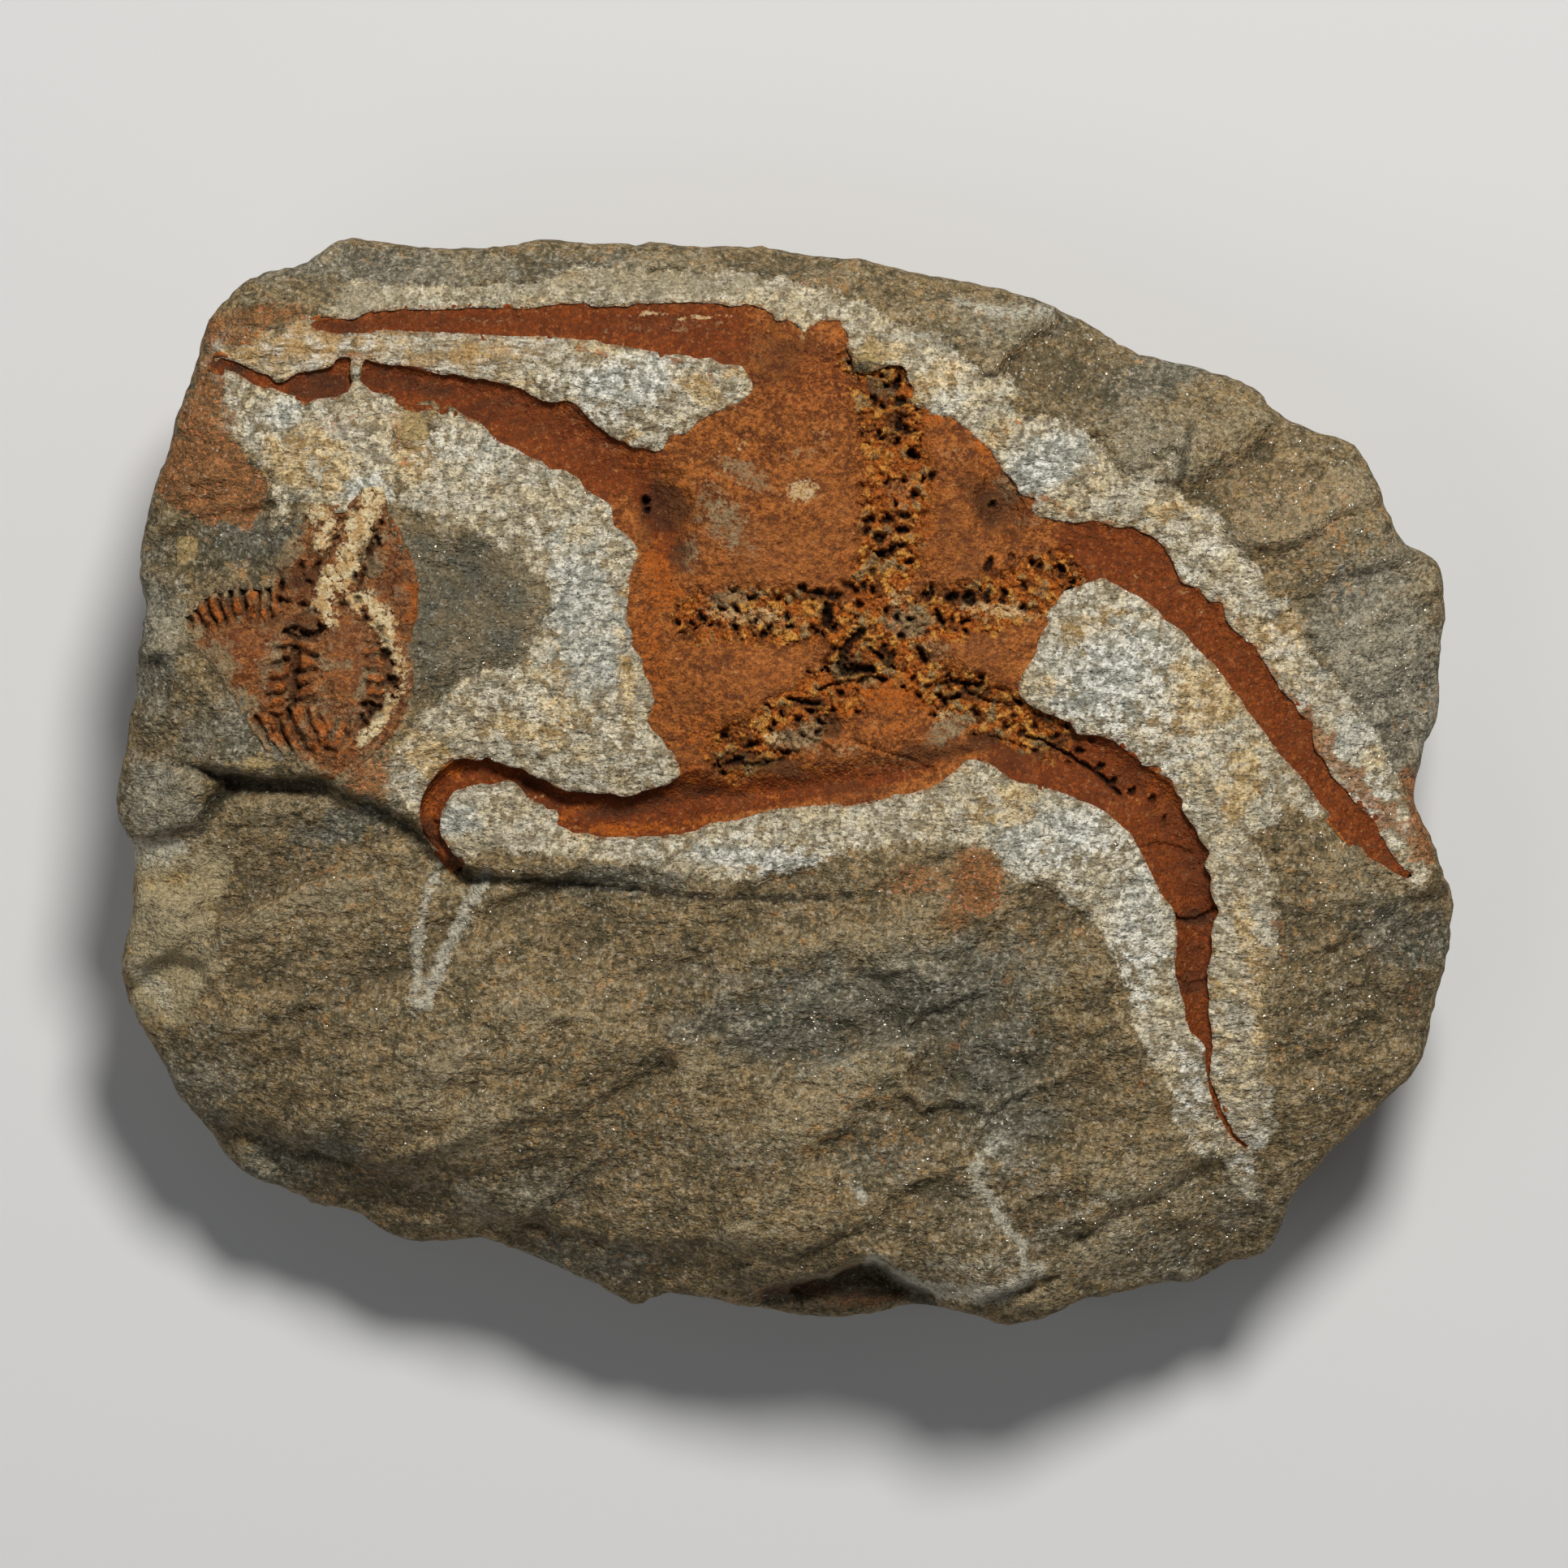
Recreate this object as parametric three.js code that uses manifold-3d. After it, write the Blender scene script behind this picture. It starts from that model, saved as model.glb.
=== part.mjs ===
// Fossil brittle star on its block of micaceous sandstone.
// The block lies on its back, fossil side up: +Z is up, +X runs along its
// longest side, and the origin is on the resting plane under the middle of
// the block's outline.  All lengths are in millimetres.
//
// Pieces: the sandstone matrix, the star's disc, its five arms, and part of
// a second star at the left edge.  The star is iron oxide lying in channels
// of the sandstone, so each piece of it sits in its own pocket.
import * as THREE from 'three';
import { mergeVertices } from 'three/addons/utils/BufferGeometryUtils.js';
import Module from 'manifold-3d';

// ---------------------------------------------------------------- dimensions
const REST_INSET = 8.0;        // the flat resting facet lies this far inside the outline
const RIM_DROP = 2.6;          // the face rounds over by this much at the outline
const TRENCH_DEPTH = 0.8;      // the prepared rock falls by this much towards the star
const TRENCH_REACH = 3.5;      // and recovers over about this distance
const LIP = 0.15;              // the star's edge lies this far below the rock beside it
const PIECE_THICKNESS = 2.0;   // iron-oxide body below the deepest point of its surface
const POCKET_GAP = 0.3;        // clearance between the star and its pocket, and at the forks
const OPEN_ABOVE = 9.0;        // the pockets are open this far above the star
const CHANNEL_DEPTH = {        // the arms' concave surfaces sink this far below their rims
  arm_upper_left: 0.9, arm_left: 1.3, arm_lower_left: 2.0, arm_lower_right: 1.8, arm_right: 1.0,
};
const DISC_CUSHION = 0.45;     // the swollen plates of the disc stand this proud of its edge
const PARTIAL_CUSHION = 0.5;   // the same on the second star
const PARTIAL_THICKNESS = 2.2;

const COLOUR = {
  matrix: 0x85795f, disc: 0x89512a, arm_upper_left: 0x7a4726, arm_left: 0x77401f,
  arm_lower_left: 0x6b3c1c, arm_lower_right: 0x74401f, arm_right: 0x7c4420, partial_star: 0x8d6440,
};

// ------------------------------------------------------------------- outlines
// The block's widest outline, counter-clockwise seen from above.
const OUTLINE = [
  [-40.05, 42.88], [-44.41, 41.81], [-46.29, 39.57], [-48.19, 37.36], [-48.64, 34.8], [-50.46, 30.12], [-51.01, 27.39], [-52.1, 25.05],
  [-52.85, 21.2], [-53.59, 17.35], [-52.97, 14.33], [-53.51, 10.31], [-54.07, 6.29], [-54.67, 2.27], [-55.61, -1.55], [-53.9, -5.38],
  [-54.29, -8.41], [-54.18, -10.9], [-55.11, -13.94], [-55.27, -16.24], [-54.36, -19.28], [-52.71, -22.36], [-51.07, -25.45], [-48.35, -28.58],
  [-46.53, -30.77], [-44.7, -32.96], [-41.51, -33.96], [-39.29, -35.4], [-35.28, -36.25], [-31.91, -38.1], [-28.72, -38.42], [-25.92, -37.91],
  [-21.13, -39.4], [-18.23, -40.9], [-15.66, -41.84], [-11.81, -43.69], [-9.57, -42.41], [-6.32, -42.81], [-4.17, -43.65], [-1.87, -43.78],
  [1.24, -44.55], [5.57, -44.64], [8.61, -44.01], [11.64, -43.35], [15.86, -44.22], [18.36, -45.37], [21.44, -44.59], [25.27, -42.62],
  [28.32, -42.25], [30.77, -41.61], [34.11, -41.72], [36.65, -40.71], [39.17, -39.69], [41.42, -36.95], [42.5, -33.8], [45.17, -31.12],
  [47.84, -28.46], [49.92, -26.1], [52.09, -24.49], [53.42, -20.65], [54.38, -16.11], [55.35, -11.57], [55.61, -10.02], [54.21, -5.71],
  [53.12, -3.03], [52.03, -0.34], [52.66, 2.48], [54.24, 5.37], [54.28, 8.12], [54.32, 10.88], [54.67, 14.51], [53.92, 18.81],
  [50.79, 20.41], [49.51, 23.83], [48.07, 26.18], [46.64, 28.54], [43.5, 29.78], [40.38, 31.02], [38.31, 33.25], [35.76, 34.05],
  [33.21, 34.86], [30.52, 35.26], [27.16, 36.8], [25.08, 38.29], [20.78, 40.17], [17.89, 41.11], [14.05, 41.75], [10.22, 42.41],
  [6.74, 43.43], [1.7, 43.82], [-1.45, 44.15], [-4.61, 44.49], [-7.83, 44.49], [-11.32, 44.9], [-13.74, 44.69], [-17.23, 44.76],
  [-19.85, 45.25], [-24.67, 44.28], [-28.83, 44.28], [-32.72, 44.82], [-36.63, 45.37],
];

// Levels of the broken face: x, y, height.
const LEVELS = [
  [-44.63, 41.43, 26.5], [-37, 44.98, 24.5], [-27.3, 44.19, 24.3], [-19.27, 44.87, 24], [-9.89, 44.53, 24], [-0.51, 44.2, 24],
  [7.52, 43.06, 24], [17.58, 40.87, 23.5], [24.28, 38.19, 23.5], [30.98, 35.18, 23.3], [37.68, 33.5, 23.5], [-41.21, 39.35, 28.8],
  [-31.18, 39.66, 29.5], [-21.19, 41.01, 29], [-11.18, 41.01, 29], [-1.18, 40.68, 29], [7.49, 38.34, 29.3], [14.16, 35, 29.3],
  [20.83, 31.01, 29], [27.52, 27.69, 28.2], [32.88, 27.04, 27.4], [-47.9, 34.37, 28.2], [-32.51, 33.99, 29.8], [-21.17, 34.31, 30.1],
  [-7.84, 32.31, 30.3], [0.82, 32.31, 30.2], [8.82, 29.65, 30], [-13.84, 24.31, 30.3], [-2.51, 22.98, 30.5], [22.16, 21.66, 29.4],
  [-17.83, 14.98, 30.4], [-7.85, 38.99, 29.6], [-37.83, 26.98, 30], [-44.51, 20.99, 29.6], [-24.5, 14.98, 30.3], [-34.5, 4.32, 30.2],
  [-17.84, 4.33, 30.1], [4.82, 17.65, 30], [2.15, 4.32, 30.2], [12.15, -2.34, 30], [18.82, 24.33, 29.7], [28.82, 10.99, 29.6],
  [35.51, 4.33, 29], [38.88, 17.69, 27.8], [42.26, 24.39, 26.5], [48.36, 23.09, 24.5], [49.01, 13.71, 25], [54.12, 13.74, 23],
  [45.59, 4.34, 27], [52.4, 4.35, 24], [53.18, -6.37, 24.5], [42.21, -5.68, 28], [48.99, -12.38, 25.5], [54.81, -12.41, 22.5],
  [42.26, -19.06, 26.5], [51.79, -22.47, 22.5], [35.51, -12.35, 28.8], [38.3, -29.12, 25], [45.77, -29.18, 22.3], [41.8, -34.6, 20.5],
  [32.2, -22.37, 28], [-51.98, 24.39, 26.5], [-53.18, 14.36, 26.5], [-54.1, 4.34, 27], [-49.21, 11, 28.8], [-51.42, -6.37, 24],
  [-54.34, -12.42, 21.5], [-41.32, -7.7, 25.5], [-44.74, -19.1, 23.5], [-52.95, -21.18, 19.5], [-49.71, -27.64, 16.5], [-45.05, -32.05, 15.2],
  [-34.61, -9.03, 26.2], [-24.57, -14.37, 27], [-31.3, -22.42, 25], [-34.74, -30.54, 21.8], [-36.93, -34.73, 15.8], [-24.65, -32.52, 22.8],
  [-24.79, -38.1, 16], [-11.19, -12.36, 28], [-11.21, -22.4, 26.5], [-11.23, -32.47, 24.6], [-11.98, -43.23, 15.8], [2.16, -14.35, 28.6],
  [2.16, -25.73, 26.8], [2.16, -35.82, 24.8], [-4.56, -42.99, 16.8], [4.85, -38.55, 23], [10.95, -43.38, 15.5], [15.5, -12.35, 29],
  [15.51, -25.72, 27.5], [15.54, -35.8, 25.2], [18.64, -44.96, 20], [15.55, -40.51, 24.6], [21.59, -39.86, 24], [-4.54, -38.9, 22.6],
  [25.5, -15.68, 28.8], [25.55, -29.08, 26.5], [27.67, -39.26, 21.8], [34.5, -41.08, 17.6], [34.36, -32.53, 22.5], [39.64, 28.44, 25],
];

// Ledges.  The rock is higher on the left of each line's direction of travel,
// by the height given at each point, over a cliff of the given half width; the
// step fades over the given reach on both sides.
const LEDGES = [
  // the long ledge below the two left arms
  { line: [[-56.03, 1.8], [-51.97, 1.66], [-48.6, 1.26], [-46.72, 1], [-44.58, 0.53], [-41.23, 0.33], [-38.21, 0.19], [-36.21, -0.87], [-33.54, -1.74], [-30.88, -3.41], [-29.22, -5.01], [-28.02, -6.35], [-25.88, -7.62], [-23.21, -7.62], [-13.86, -8.28], [-6.52, -9.41], [5.16, -9.21]],
    height: [0.9, 1.3, 1.8, 2.6, 3.2, 3.4, 3.4, 3.4, 3.2, 3, 2.8, 2.6, 2.4, 2.2, 1.6, 0.8, 0.2], half: 0.45, reach: 6.5 },
  // the notch at the lower edge
  { line: [[-2.87, -42.76], [-1.53, -42.05], [1.16, -41.14], [4.19, -40.58], [5.26, -39.68], [7.41, -39.34], [8.35, -40.18], [10.25, -41.57], [12.6, -42.72], [14.61, -43.5]],
    height: [1.5, 4, 6, 7, 8, 8, 7, 6, 4, 2], half: 0.35, reach: 5 },
  // the slope break at lower right
  { line: [[15.94, -43.47], [17.93, -42.74], [20.6, -41.22], [22.4, -39.87], [23.59, -37.84], [25.61, -36.58], [27.08, -35.1], [29.1, -34.52], [31.66, -33.25], [34.33, -31.63], [36.47, -31.16], [38.88, -30.76]],
    height: [2, 2.6, 2.4, 2, 2.4, 2.6, 2.2, 2.4, 2.2, 2.4, 1.4, 0.3], half: 0.4, reach: 3.2 },
  // the break across the right-hand face
  { line: [[39.56, -17.37], [41.56, -15.03], [48.98, -11.04], [54.98, -8.38]],
    height: [0.4, 1.2, 1.2, 1], half: 0.9, reach: 5 },
  // the low step at upper right
  { line: [[33.72, 29.75], [32.75, 27.05], [32.32, 23.69]],
    height: [1.3, 1.3, 0.4], half: 0.4, reach: 4 },
  // the scalloped chip scar on the right
  { line: [[42.24, 14.89], [45.62, 16.91], [49.02, 17.86], [54.33, 18.97]],
    height: [0.6, 1.5, 1.6, 1.2], half: 0.5, reach: 5 },
  // the soft brow across the lower face
  { line: [[-27.32, -29.96], [-17.9, -27.23], [-7.86, -21.85], [2.16, -14.82]],
    height: [1.3, 1.7, 1.6, 0.5], half: 1.4, reach: 7 },
  // the toe at lower left
  { line: [[-49.34, -26.74], [-45.96, -28.08], [-41.89, -29.27], [-36.8, -30.58], [-31.42, -32.72], [-27.06, -34.48]],
    height: [1.2, 2.4, 2.6, 2.2, 1.8, 0.6], half: 0.9, reach: 4 },
  // the foot of the knob at the left rim
  { line: [[-55.47, -5.84], [-52.4, -4.76], [-49.01, -3.62], [-47.16, -1.81], [-46.2, 0.19]],
    height: [1.4, 1.9, 2.1, 1.9, 0.6], half: 0.5, reach: 3 },
  // the hollow slope under the long ledge
  { line: [[-42.61, -2.88], [-37.92, -4.08], [-33.91, -5.08], [-30.23, -6.62]],
    height: [0.4, 1.5, 1.7, 0.5], half: 1.6, reach: 4 },
];

// Each arm's two edges, from its root at the disc to its tip: x, y, x, y.
const ARMS = {
  arm_upper_left: [
    [-3.18, 39.47, -3.71, 34.37], [-6.58, 39.2, -6.04, 35.44], [-9.18, 39.33, -9.64, 35.63], [-12.18, 39.13, -12.17, 36.3],
    [-15.65, 38.93, -15.64, 36.77], [-18.45, 39.14, -18.04, 37.18], [-21.11, 38.53, -21.17, 37.12], [-25.05, 38.81, -24.51, 36.92],
    [-28.32, 38.67, -28.31, 37.26], [-31.72, 38.74, -31.51, 37.39], [-34.25, 38.4, -34.11, 36.92], [-36.19, 38.14, -36.05, 36.93],
    [-37.72, 38.07, -37.65, 37.13], [-39.06, 37.81, -38.99, 37.47],
  ],
  arm_left: [
    [-10.9, 27.17, -14.37, 22.58], [-13.3, 27.84, -16.5, 23.98], [-14.9, 28.44, -17.83, 25.38], [-16.63, 30.3, -19.36, 25.64],
    [-18.5, 31.04, -21.16, 26.57], [-20.5, 31.37, -22.83, 27.57], [-22.03, 32.3, -24.63, 28.91], [-24.63, 33.04, -26.16, 29.9],
    [-27.03, 33.37, -28.03, 30.44], [-29.16, 33.71, -30.16, 30.97], [-31.17, 34.25, -32.03, 31.38], [-33.17, 34.58, -33.7, 31.85],
    [-34.77, 34.92, -35.16, 31.85], [-36.24, 34.98, -36.76, 31.58], [-37.83, 34.12, -38.83, 31.38], [-39.97, 33.79, -40.5, 31.72],
    [-41.84, 33.66, -41.98, 32.06], [-43.39, 33.87, -43.72, 32.6], [-44.53, 34.41, -45.2, 33.68], [-46.02, 34.96, -46.69, 34.09],
    [-47.1, 35.03, -47.3, 34.57],
  ],
  arm_lower_left: [
    [-8.71, 0.59, -5.85, -3.41], [-11.18, -0.54, -8.65, -4.61], [-13.65, -1.01, -11.85, -4.67], [-15.85, -0.67, -14.85, -4.61],
    [-17.85, -0.21, -17.05, -4.14], [-19.71, 0.46, -18.85, -3.07], [-21.51, 1.39, -20.85, -2.34], [-23.04, 2.13, -22.65, -1.34],
    [-24.71, 2.46, -24.25, -0.54], [-26.71, 2.13, -25.72, -0.87], [-28.45, 0.86, -27.06, -1.67], [-29.59, -0.67, -28, -2.74],
    [-30.2, -2.34, -28.34, -3.68], [-29.95, -4.14, -27.94, -4.74], [-28.68, -5.55, -27.15, -5.81], [-27.09, -7.15, -26.42, -6.75],
  ],
  arm_lower_right: [
    [19.21, 7.32, 16.15, 1.66], [21.48, 5.92, 18.48, 0.26], [24.15, 4.79, 21.48, -0.61], [26.95, 3.46, 24.15, -1.54],
    [29.15, 1.79, 26.28, -2.54], [31.09, 0.46, 27.82, -3.87], [32.49, -1.34, 28.95, -5.47], [33.63, -3.67, 29.89, -7.47],
    [34.83, -5.81, 30.83, -9.21], [35.24, -8.21, 31.76, -10.68], [35.71, -10.48, 32.03, -12.34], [35.31, -12.68, 31.97, -14.21],
    [35.12, -15.02, 31.91, -15.88], [34.92, -17.36, 32.38, -17.55], [35.07, -19.83, 33.06, -20.03], [35.35, -22.38, 34.21, -22.51],
    [35.63, -24.39, 34.7, -24.59], [36.06, -26.82, 35.33, -27.09], [37.1, -28.85, 36.5, -29.12], [38.33, -29.94, 38, -30.35],
  ],
  arm_right: [
    [22.16, 21.8, 22.48, 15.12], [24.16, 21.53, 24.15, 16.06], [26.5, 21.33, 26.02, 16.59], [28.7, 21.14, 27.62, 15.93],
    [30.7, 20, 29.16, 15.06], [32.04, 18.2, 30.43, 14.06], [32.97, 16.47, 31.5, 13.06], [34.78, 15.07, 32.7, 12.13],
    [36.32, 13.54, 34.04, 10.67], [38.06, 11.67, 35.51, 9.13], [39.54, 9.81, 36.98, 7.13], [40.88, 7.8, 38.52, 5],
    [42.35, 5.94, 40.2, 2.8], [43.56, 4, 41.74, 1.06], [44.5, 1.93, 43.02, -0.47], [45.99, -0.21, 44.23, -2.14],
    [47.34, -1.88, 45.45, -3.41], [48.49, -3.15, 46.53, -4.68], [49.24, -4.69, 47.61, -5.82], [50.19, -6.23, 49.1, -6.83],
    [51.55, -7.43, 51.15, -7.84],
  ],
};

// The disc's edge, counter-clockwise, closed across the roots of the arms.
const DISC = [
  [-3.44, 36.91], [-3.71, 34.37], [-2.84, 32.24], [-3.51, 31.57], [-5.41, 30.74], [-7.31, 29.9], [-7.97, 28.91], [-9.57, 28.51],
  [-10.24, 27.44], [-10.9, 27.17], [-12.64, 24.88], [-14.37, 22.58], [-14.3, 21.18], [-12.7, 19.85], [-12.17, 18.85], [-12.9, 16.98],
  [-13.07, 15.28], [-13.24, 13.58], [-12.64, 12.05], [-12.77, 11.12], [-11.97, 10.25], [-11.64, 8.59], [-11.04, 7.79], [-11.44, 4.99],
  [-10.18, 3.59], [-10.04, 2.86], [-9.24, 2.46], [-8.71, 0.59], [-7.28, -1.41], [-5.85, -3.41], [-3.38, -2.84], [-0.91, -2.27],
  [2.09, -2.17], [5.09, -2.07], [7.79, -1.54], [10.48, -1.01], [12.82, -0.07], [14.81, 1.59], [16.15, 1.66], [17.17, 3.55],
  [18.19, 5.44], [19.21, 7.32], [19.68, 9.12], [20.61, 10.39], [21.68, 13.12], [21.68, 14.19], [22.48, 15.12], [22.37, 17.35],
  [22.27, 19.57], [22.16, 21.8], [20.69, 22.46], [20.82, 23.39], [19.42, 23.93], [18.08, 25.82], [16.75, 27.72], [15.08, 29.25],
  [13.62, 30.18], [12.15, 30.25], [10.95, 31.18], [10.15, 33.92], [9.28, 34.52], [6.55, 33.71], [5.95, 33.97], [5.42, 36.72],
  [4.42, 38.21], [2.82, 38.14], [0.55, 38.19], [-0.71, 37.99], [-1.05, 38.73], [-3.18, 39.47],
];
const DISC_CENTRE = [4.82, 18.32];

// The edge of the second, partial star.
const PARTIAL = [
  [-49.76, 12.34], [-48.68, 11], [-46.99, 9.46], [-45.53, 6.86], [-44.53, 5], [-43.68, 2.8], [-41.88, 2.33], [-40.21, 1.66],
  [-38.74, 0.53], [-36.87, 0.13], [-35.19, 0.86], [-33.51, 2.33], [-31.83, 4.33], [-30.83, 6.19], [-30.49, 8.32], [-30.62, 11.32],
  [-30.09, 13.65], [-30.02, 16.11], [-30.62, 18.31], [-31.49, 20.98], [-32.49, 22.44], [-33.02, 24.31], [-34.49, 24.31], [-36.02, 23.11],
  [-37.82, 22.98], [-40.03, 22.65], [-40.63, 20.65], [-41.49, 18.85], [-42.96, 16.45], [-44.98, 16.86], [-47.41, 16.34], [-48.76, 15.34],
  [-50.11, 13.88],
];
const PARTIAL_CENTRE = [-39.15, 11.65];

// --------------------------------------------------------------- height field
// Thin-plate surface through the levels, slightly relaxed.
const plate = (() => {
  const n = LEVELS.length, m = n + 3, relax = 20;
  const A = [];
  for (let i = 0; i < m; i++) A.push(new Float64Array(m + 1));
  const kern = (d2) => (d2 > 1e-12 ? 0.5 * d2 * Math.log(d2) : 0);
  for (let i = 0; i < n; i++) {
    const [xi, yi, zi] = LEVELS[i];
    for (let j = 0; j < n; j++) {
      const dx = xi - LEVELS[j][0], dy = yi - LEVELS[j][1];
      A[i][j] = kern(dx * dx + dy * dy) + (i === j ? relax : 0);
    }
    A[i][n] = A[n][i] = 1; A[i][n + 1] = A[n + 1][i] = xi; A[i][n + 2] = A[n + 2][i] = yi;
    A[i][m] = zi;
  }
  for (let c = 0; c < m; c++) {
    let p = c;
    for (let r = c + 1; r < m; r++) if (Math.abs(A[r][c]) > Math.abs(A[p][c])) p = r;
    [A[c], A[p]] = [A[p], A[c]];
    for (let r = 0; r < m; r++) {
      if (r === c) continue;
      const f = A[r][c] / A[c][c];
      if (f === 0) continue;
      for (let k = c; k <= m; k++) A[r][k] -= f * A[c][k];
    }
  }
  const w = A.map((row, i) => row[m] / row[i]);
  return (x, y) => {
    let z = w[n] + w[n + 1] * x + w[n + 2] * y;
    for (let i = 0; i < n; i++) {
      const dx = x - LEVELS[i][0], dy = y - LEVELS[i][1];
      z += w[i] * kern(dx * dx + dy * dy);
    }
    return z;
  };
})();

// Nearest point on a line: distance, side (+1 on the left) and the value there.
function alongLine(line, values, x, y) {
  let best = { d: Infinity, side: 1, v: 0 };
  for (let i = 0; i + 1 < line.length; i++) {
    const [ax, ay] = line[i], [bx, by] = line[i + 1];
    const ux = bx - ax, uy = by - ay, L2 = ux * ux + uy * uy;
    const t = Math.min(1, Math.max(0, ((x - ax) * ux + (y - ay) * uy) / L2));
    const px = x - ax - t * ux, py = y - ay - t * uy;
    const d = Math.hypot(px, py);
    if (d < best.d) {
      best = { d, side: ux * (y - ay) - uy * (x - ax) >= 0 ? 1 : -1, v: values[i] + t * (values[i + 1] - values[i]) };
    }
  }
  return best;
}

function ledges(x, y) {
  let z = 0;
  for (const l of LEDGES) {
    const q = alongLine(l.line, l.height, x, y);
    if (q.d > 6 * l.reach) continue;
    z += 0.5 * q.v * q.side * Math.tanh(q.d / l.half) * Math.exp(-q.d / l.reach);
  }
  return z;
}

const rockLevel = (x, y) => plate(x, y) + ledges(x, y);

function inside(poly, x, y) {
  let c = false;
  for (let i = 0, j = poly.length - 1; i < poly.length; j = i++) {
    const [xi, yi] = poly[i], [xj, yj] = poly[j];
    if ((yi > y) !== (yj > y) && x < ((xj - xi) * (y - yi)) / (yj - yi) + xi) c = !c;
  }
  return c;
}
const closed = (poly) => [...poly, poly[0]];
const zeros = (n) => new Array(n).fill(0);

// Distance from a point outside the star to the star.
const starLines = [
  { poly: DISC, line: closed(DISC) },
  ...Object.values(ARMS).map((a) => {
    const poly = [...a.map((s) => [s[0], s[1]]), ...a.map((s) => [s[2], s[3]]).reverse()];
    return { poly, line: closed(poly) };
  }),
];
function starDistance(x, y) {
  let d = Infinity;
  for (const { poly, line } of starLines) {
    if (inside(poly, x, y)) return 0;
    d = Math.min(d, alongLine(line, zeros(line.length), x, y).d);
  }
  return d;
}
const trench = (x, y) => TRENCH_DEPTH * Math.exp(-starDistance(x, y) / TRENCH_REACH);

// ------------------------------------------------------------------- geometry
// A closed skin from a stack of loops with the same number of points.  The
// loops run from the middle of the top over the edge to the middle of the
// underside; the first and the last are single points.
function skin(loops) {
  const pos = [], idx = [], start = [];
  for (const loop of loops) { start.push(pos.length / 3); for (const p of loop) pos.push(p[0], p[1], p[2]); }
  for (let k = 0; k + 1 < loops.length; k++) {
    const A = loops[k], B = loops[k + 1], n = Math.max(A.length, B.length);
    for (let i = 0; i < n; i++) {
      const j = (i + 1) % n;
      const a = start[k] + (A.length > 1 ? i : 0), b = start[k] + (A.length > 1 ? j : 0);
      const c = start[k + 1] + (B.length > 1 ? j : 0), d = start[k + 1] + (B.length > 1 ? i : 0);
      if (A.length > 1) idx.push(a, c, b);
      if (B.length > 1) idx.push(a, d, c);
    }
  }
  const g = new THREE.BufferGeometry();
  g.setAttribute('position', new THREE.Float32BufferAttribute(pos, 3));
  g.setIndex(idx);
  return g;
}

// Offset of a closed outline along its corner normals, positive outwards.
function offset(poly, by) {
  const n = poly.length;
  return poly.map((p, i) => {
    const a = poly[(i + n - 1) % n], b = poly[(i + 1) % n];
    const e1 = new THREE.Vector2(p[0] - a[0], p[1] - a[1]).normalize();
    const e2 = new THREE.Vector2(b[0] - p[0], b[1] - p[1]).normalize();
    const nx = e1.y + e2.y, ny = -e1.x - e2.x, l2 = Math.max(0.6, nx * nx + ny * ny);
    return [p[0] + (2 * by * nx) / l2, p[1] + (2 * by * ny) / l2];
  });
}

// Small repeatable unevenness of the broken sides.
const rough = (i, k) => Math.sin(i * 1.7 + k * 2.3) * 0.5 + Math.sin(i * 0.61 + k * 1.1 + 2) * 0.5;

function matrixSolid() {
  const rim = OUTLINE.map(([x, y]) => rockLevel(x, y));
  const at = (poly, z) => poly.map(([x, y], i) => [x, y, z(x, y, i)]);
  const face = (x, y) => rockLevel(x, y) - trench(x, y);
  const loops = [[[0, 0, face(0, 0)]]];
  const inner = offset(OUTLINE, -2.4);
  for (const f of [0.12, 0.24, 0.36, 0.48, 0.59, 0.69, 0.78, 0.86, 0.935, 1]) {
    loops.push(at(inner.map(([x, y]) => [x * f, y * f]), face));
  }
  loops.push(at(offset(OUTLINE, -0.8), (x, y) => rockLevel(x, y) - 0.3 * RIM_DROP));
  loops.push(at(OUTLINE, (x, y, i) => rim[i] - RIM_DROP));
  const side = (inset, f, k) => {
    const p = OUTLINE.map(([x, y], i) => { const s = 1 - (inset + 0.45 * rough(i, k)) / Math.hypot(x, y); return [x * s, y * s]; });
    return p.map(([x, y], i) => [x, y, f * rim[i]]);
  };
  loops.push(side(1.1, 0.62, 1));
  loops.push(side(2.8, 0.36, 2));
  loops.push(side(5.2, 0.14, 3));
  const foot = side(REST_INSET, 0, 4);
  loops.push(foot);
  loops.push(foot.map(([x, y]) => [x * 0.5, y * 0.5, 0]));
  loops.push([[0, 0, 0]]);
  return skin(loops);
}

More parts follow.
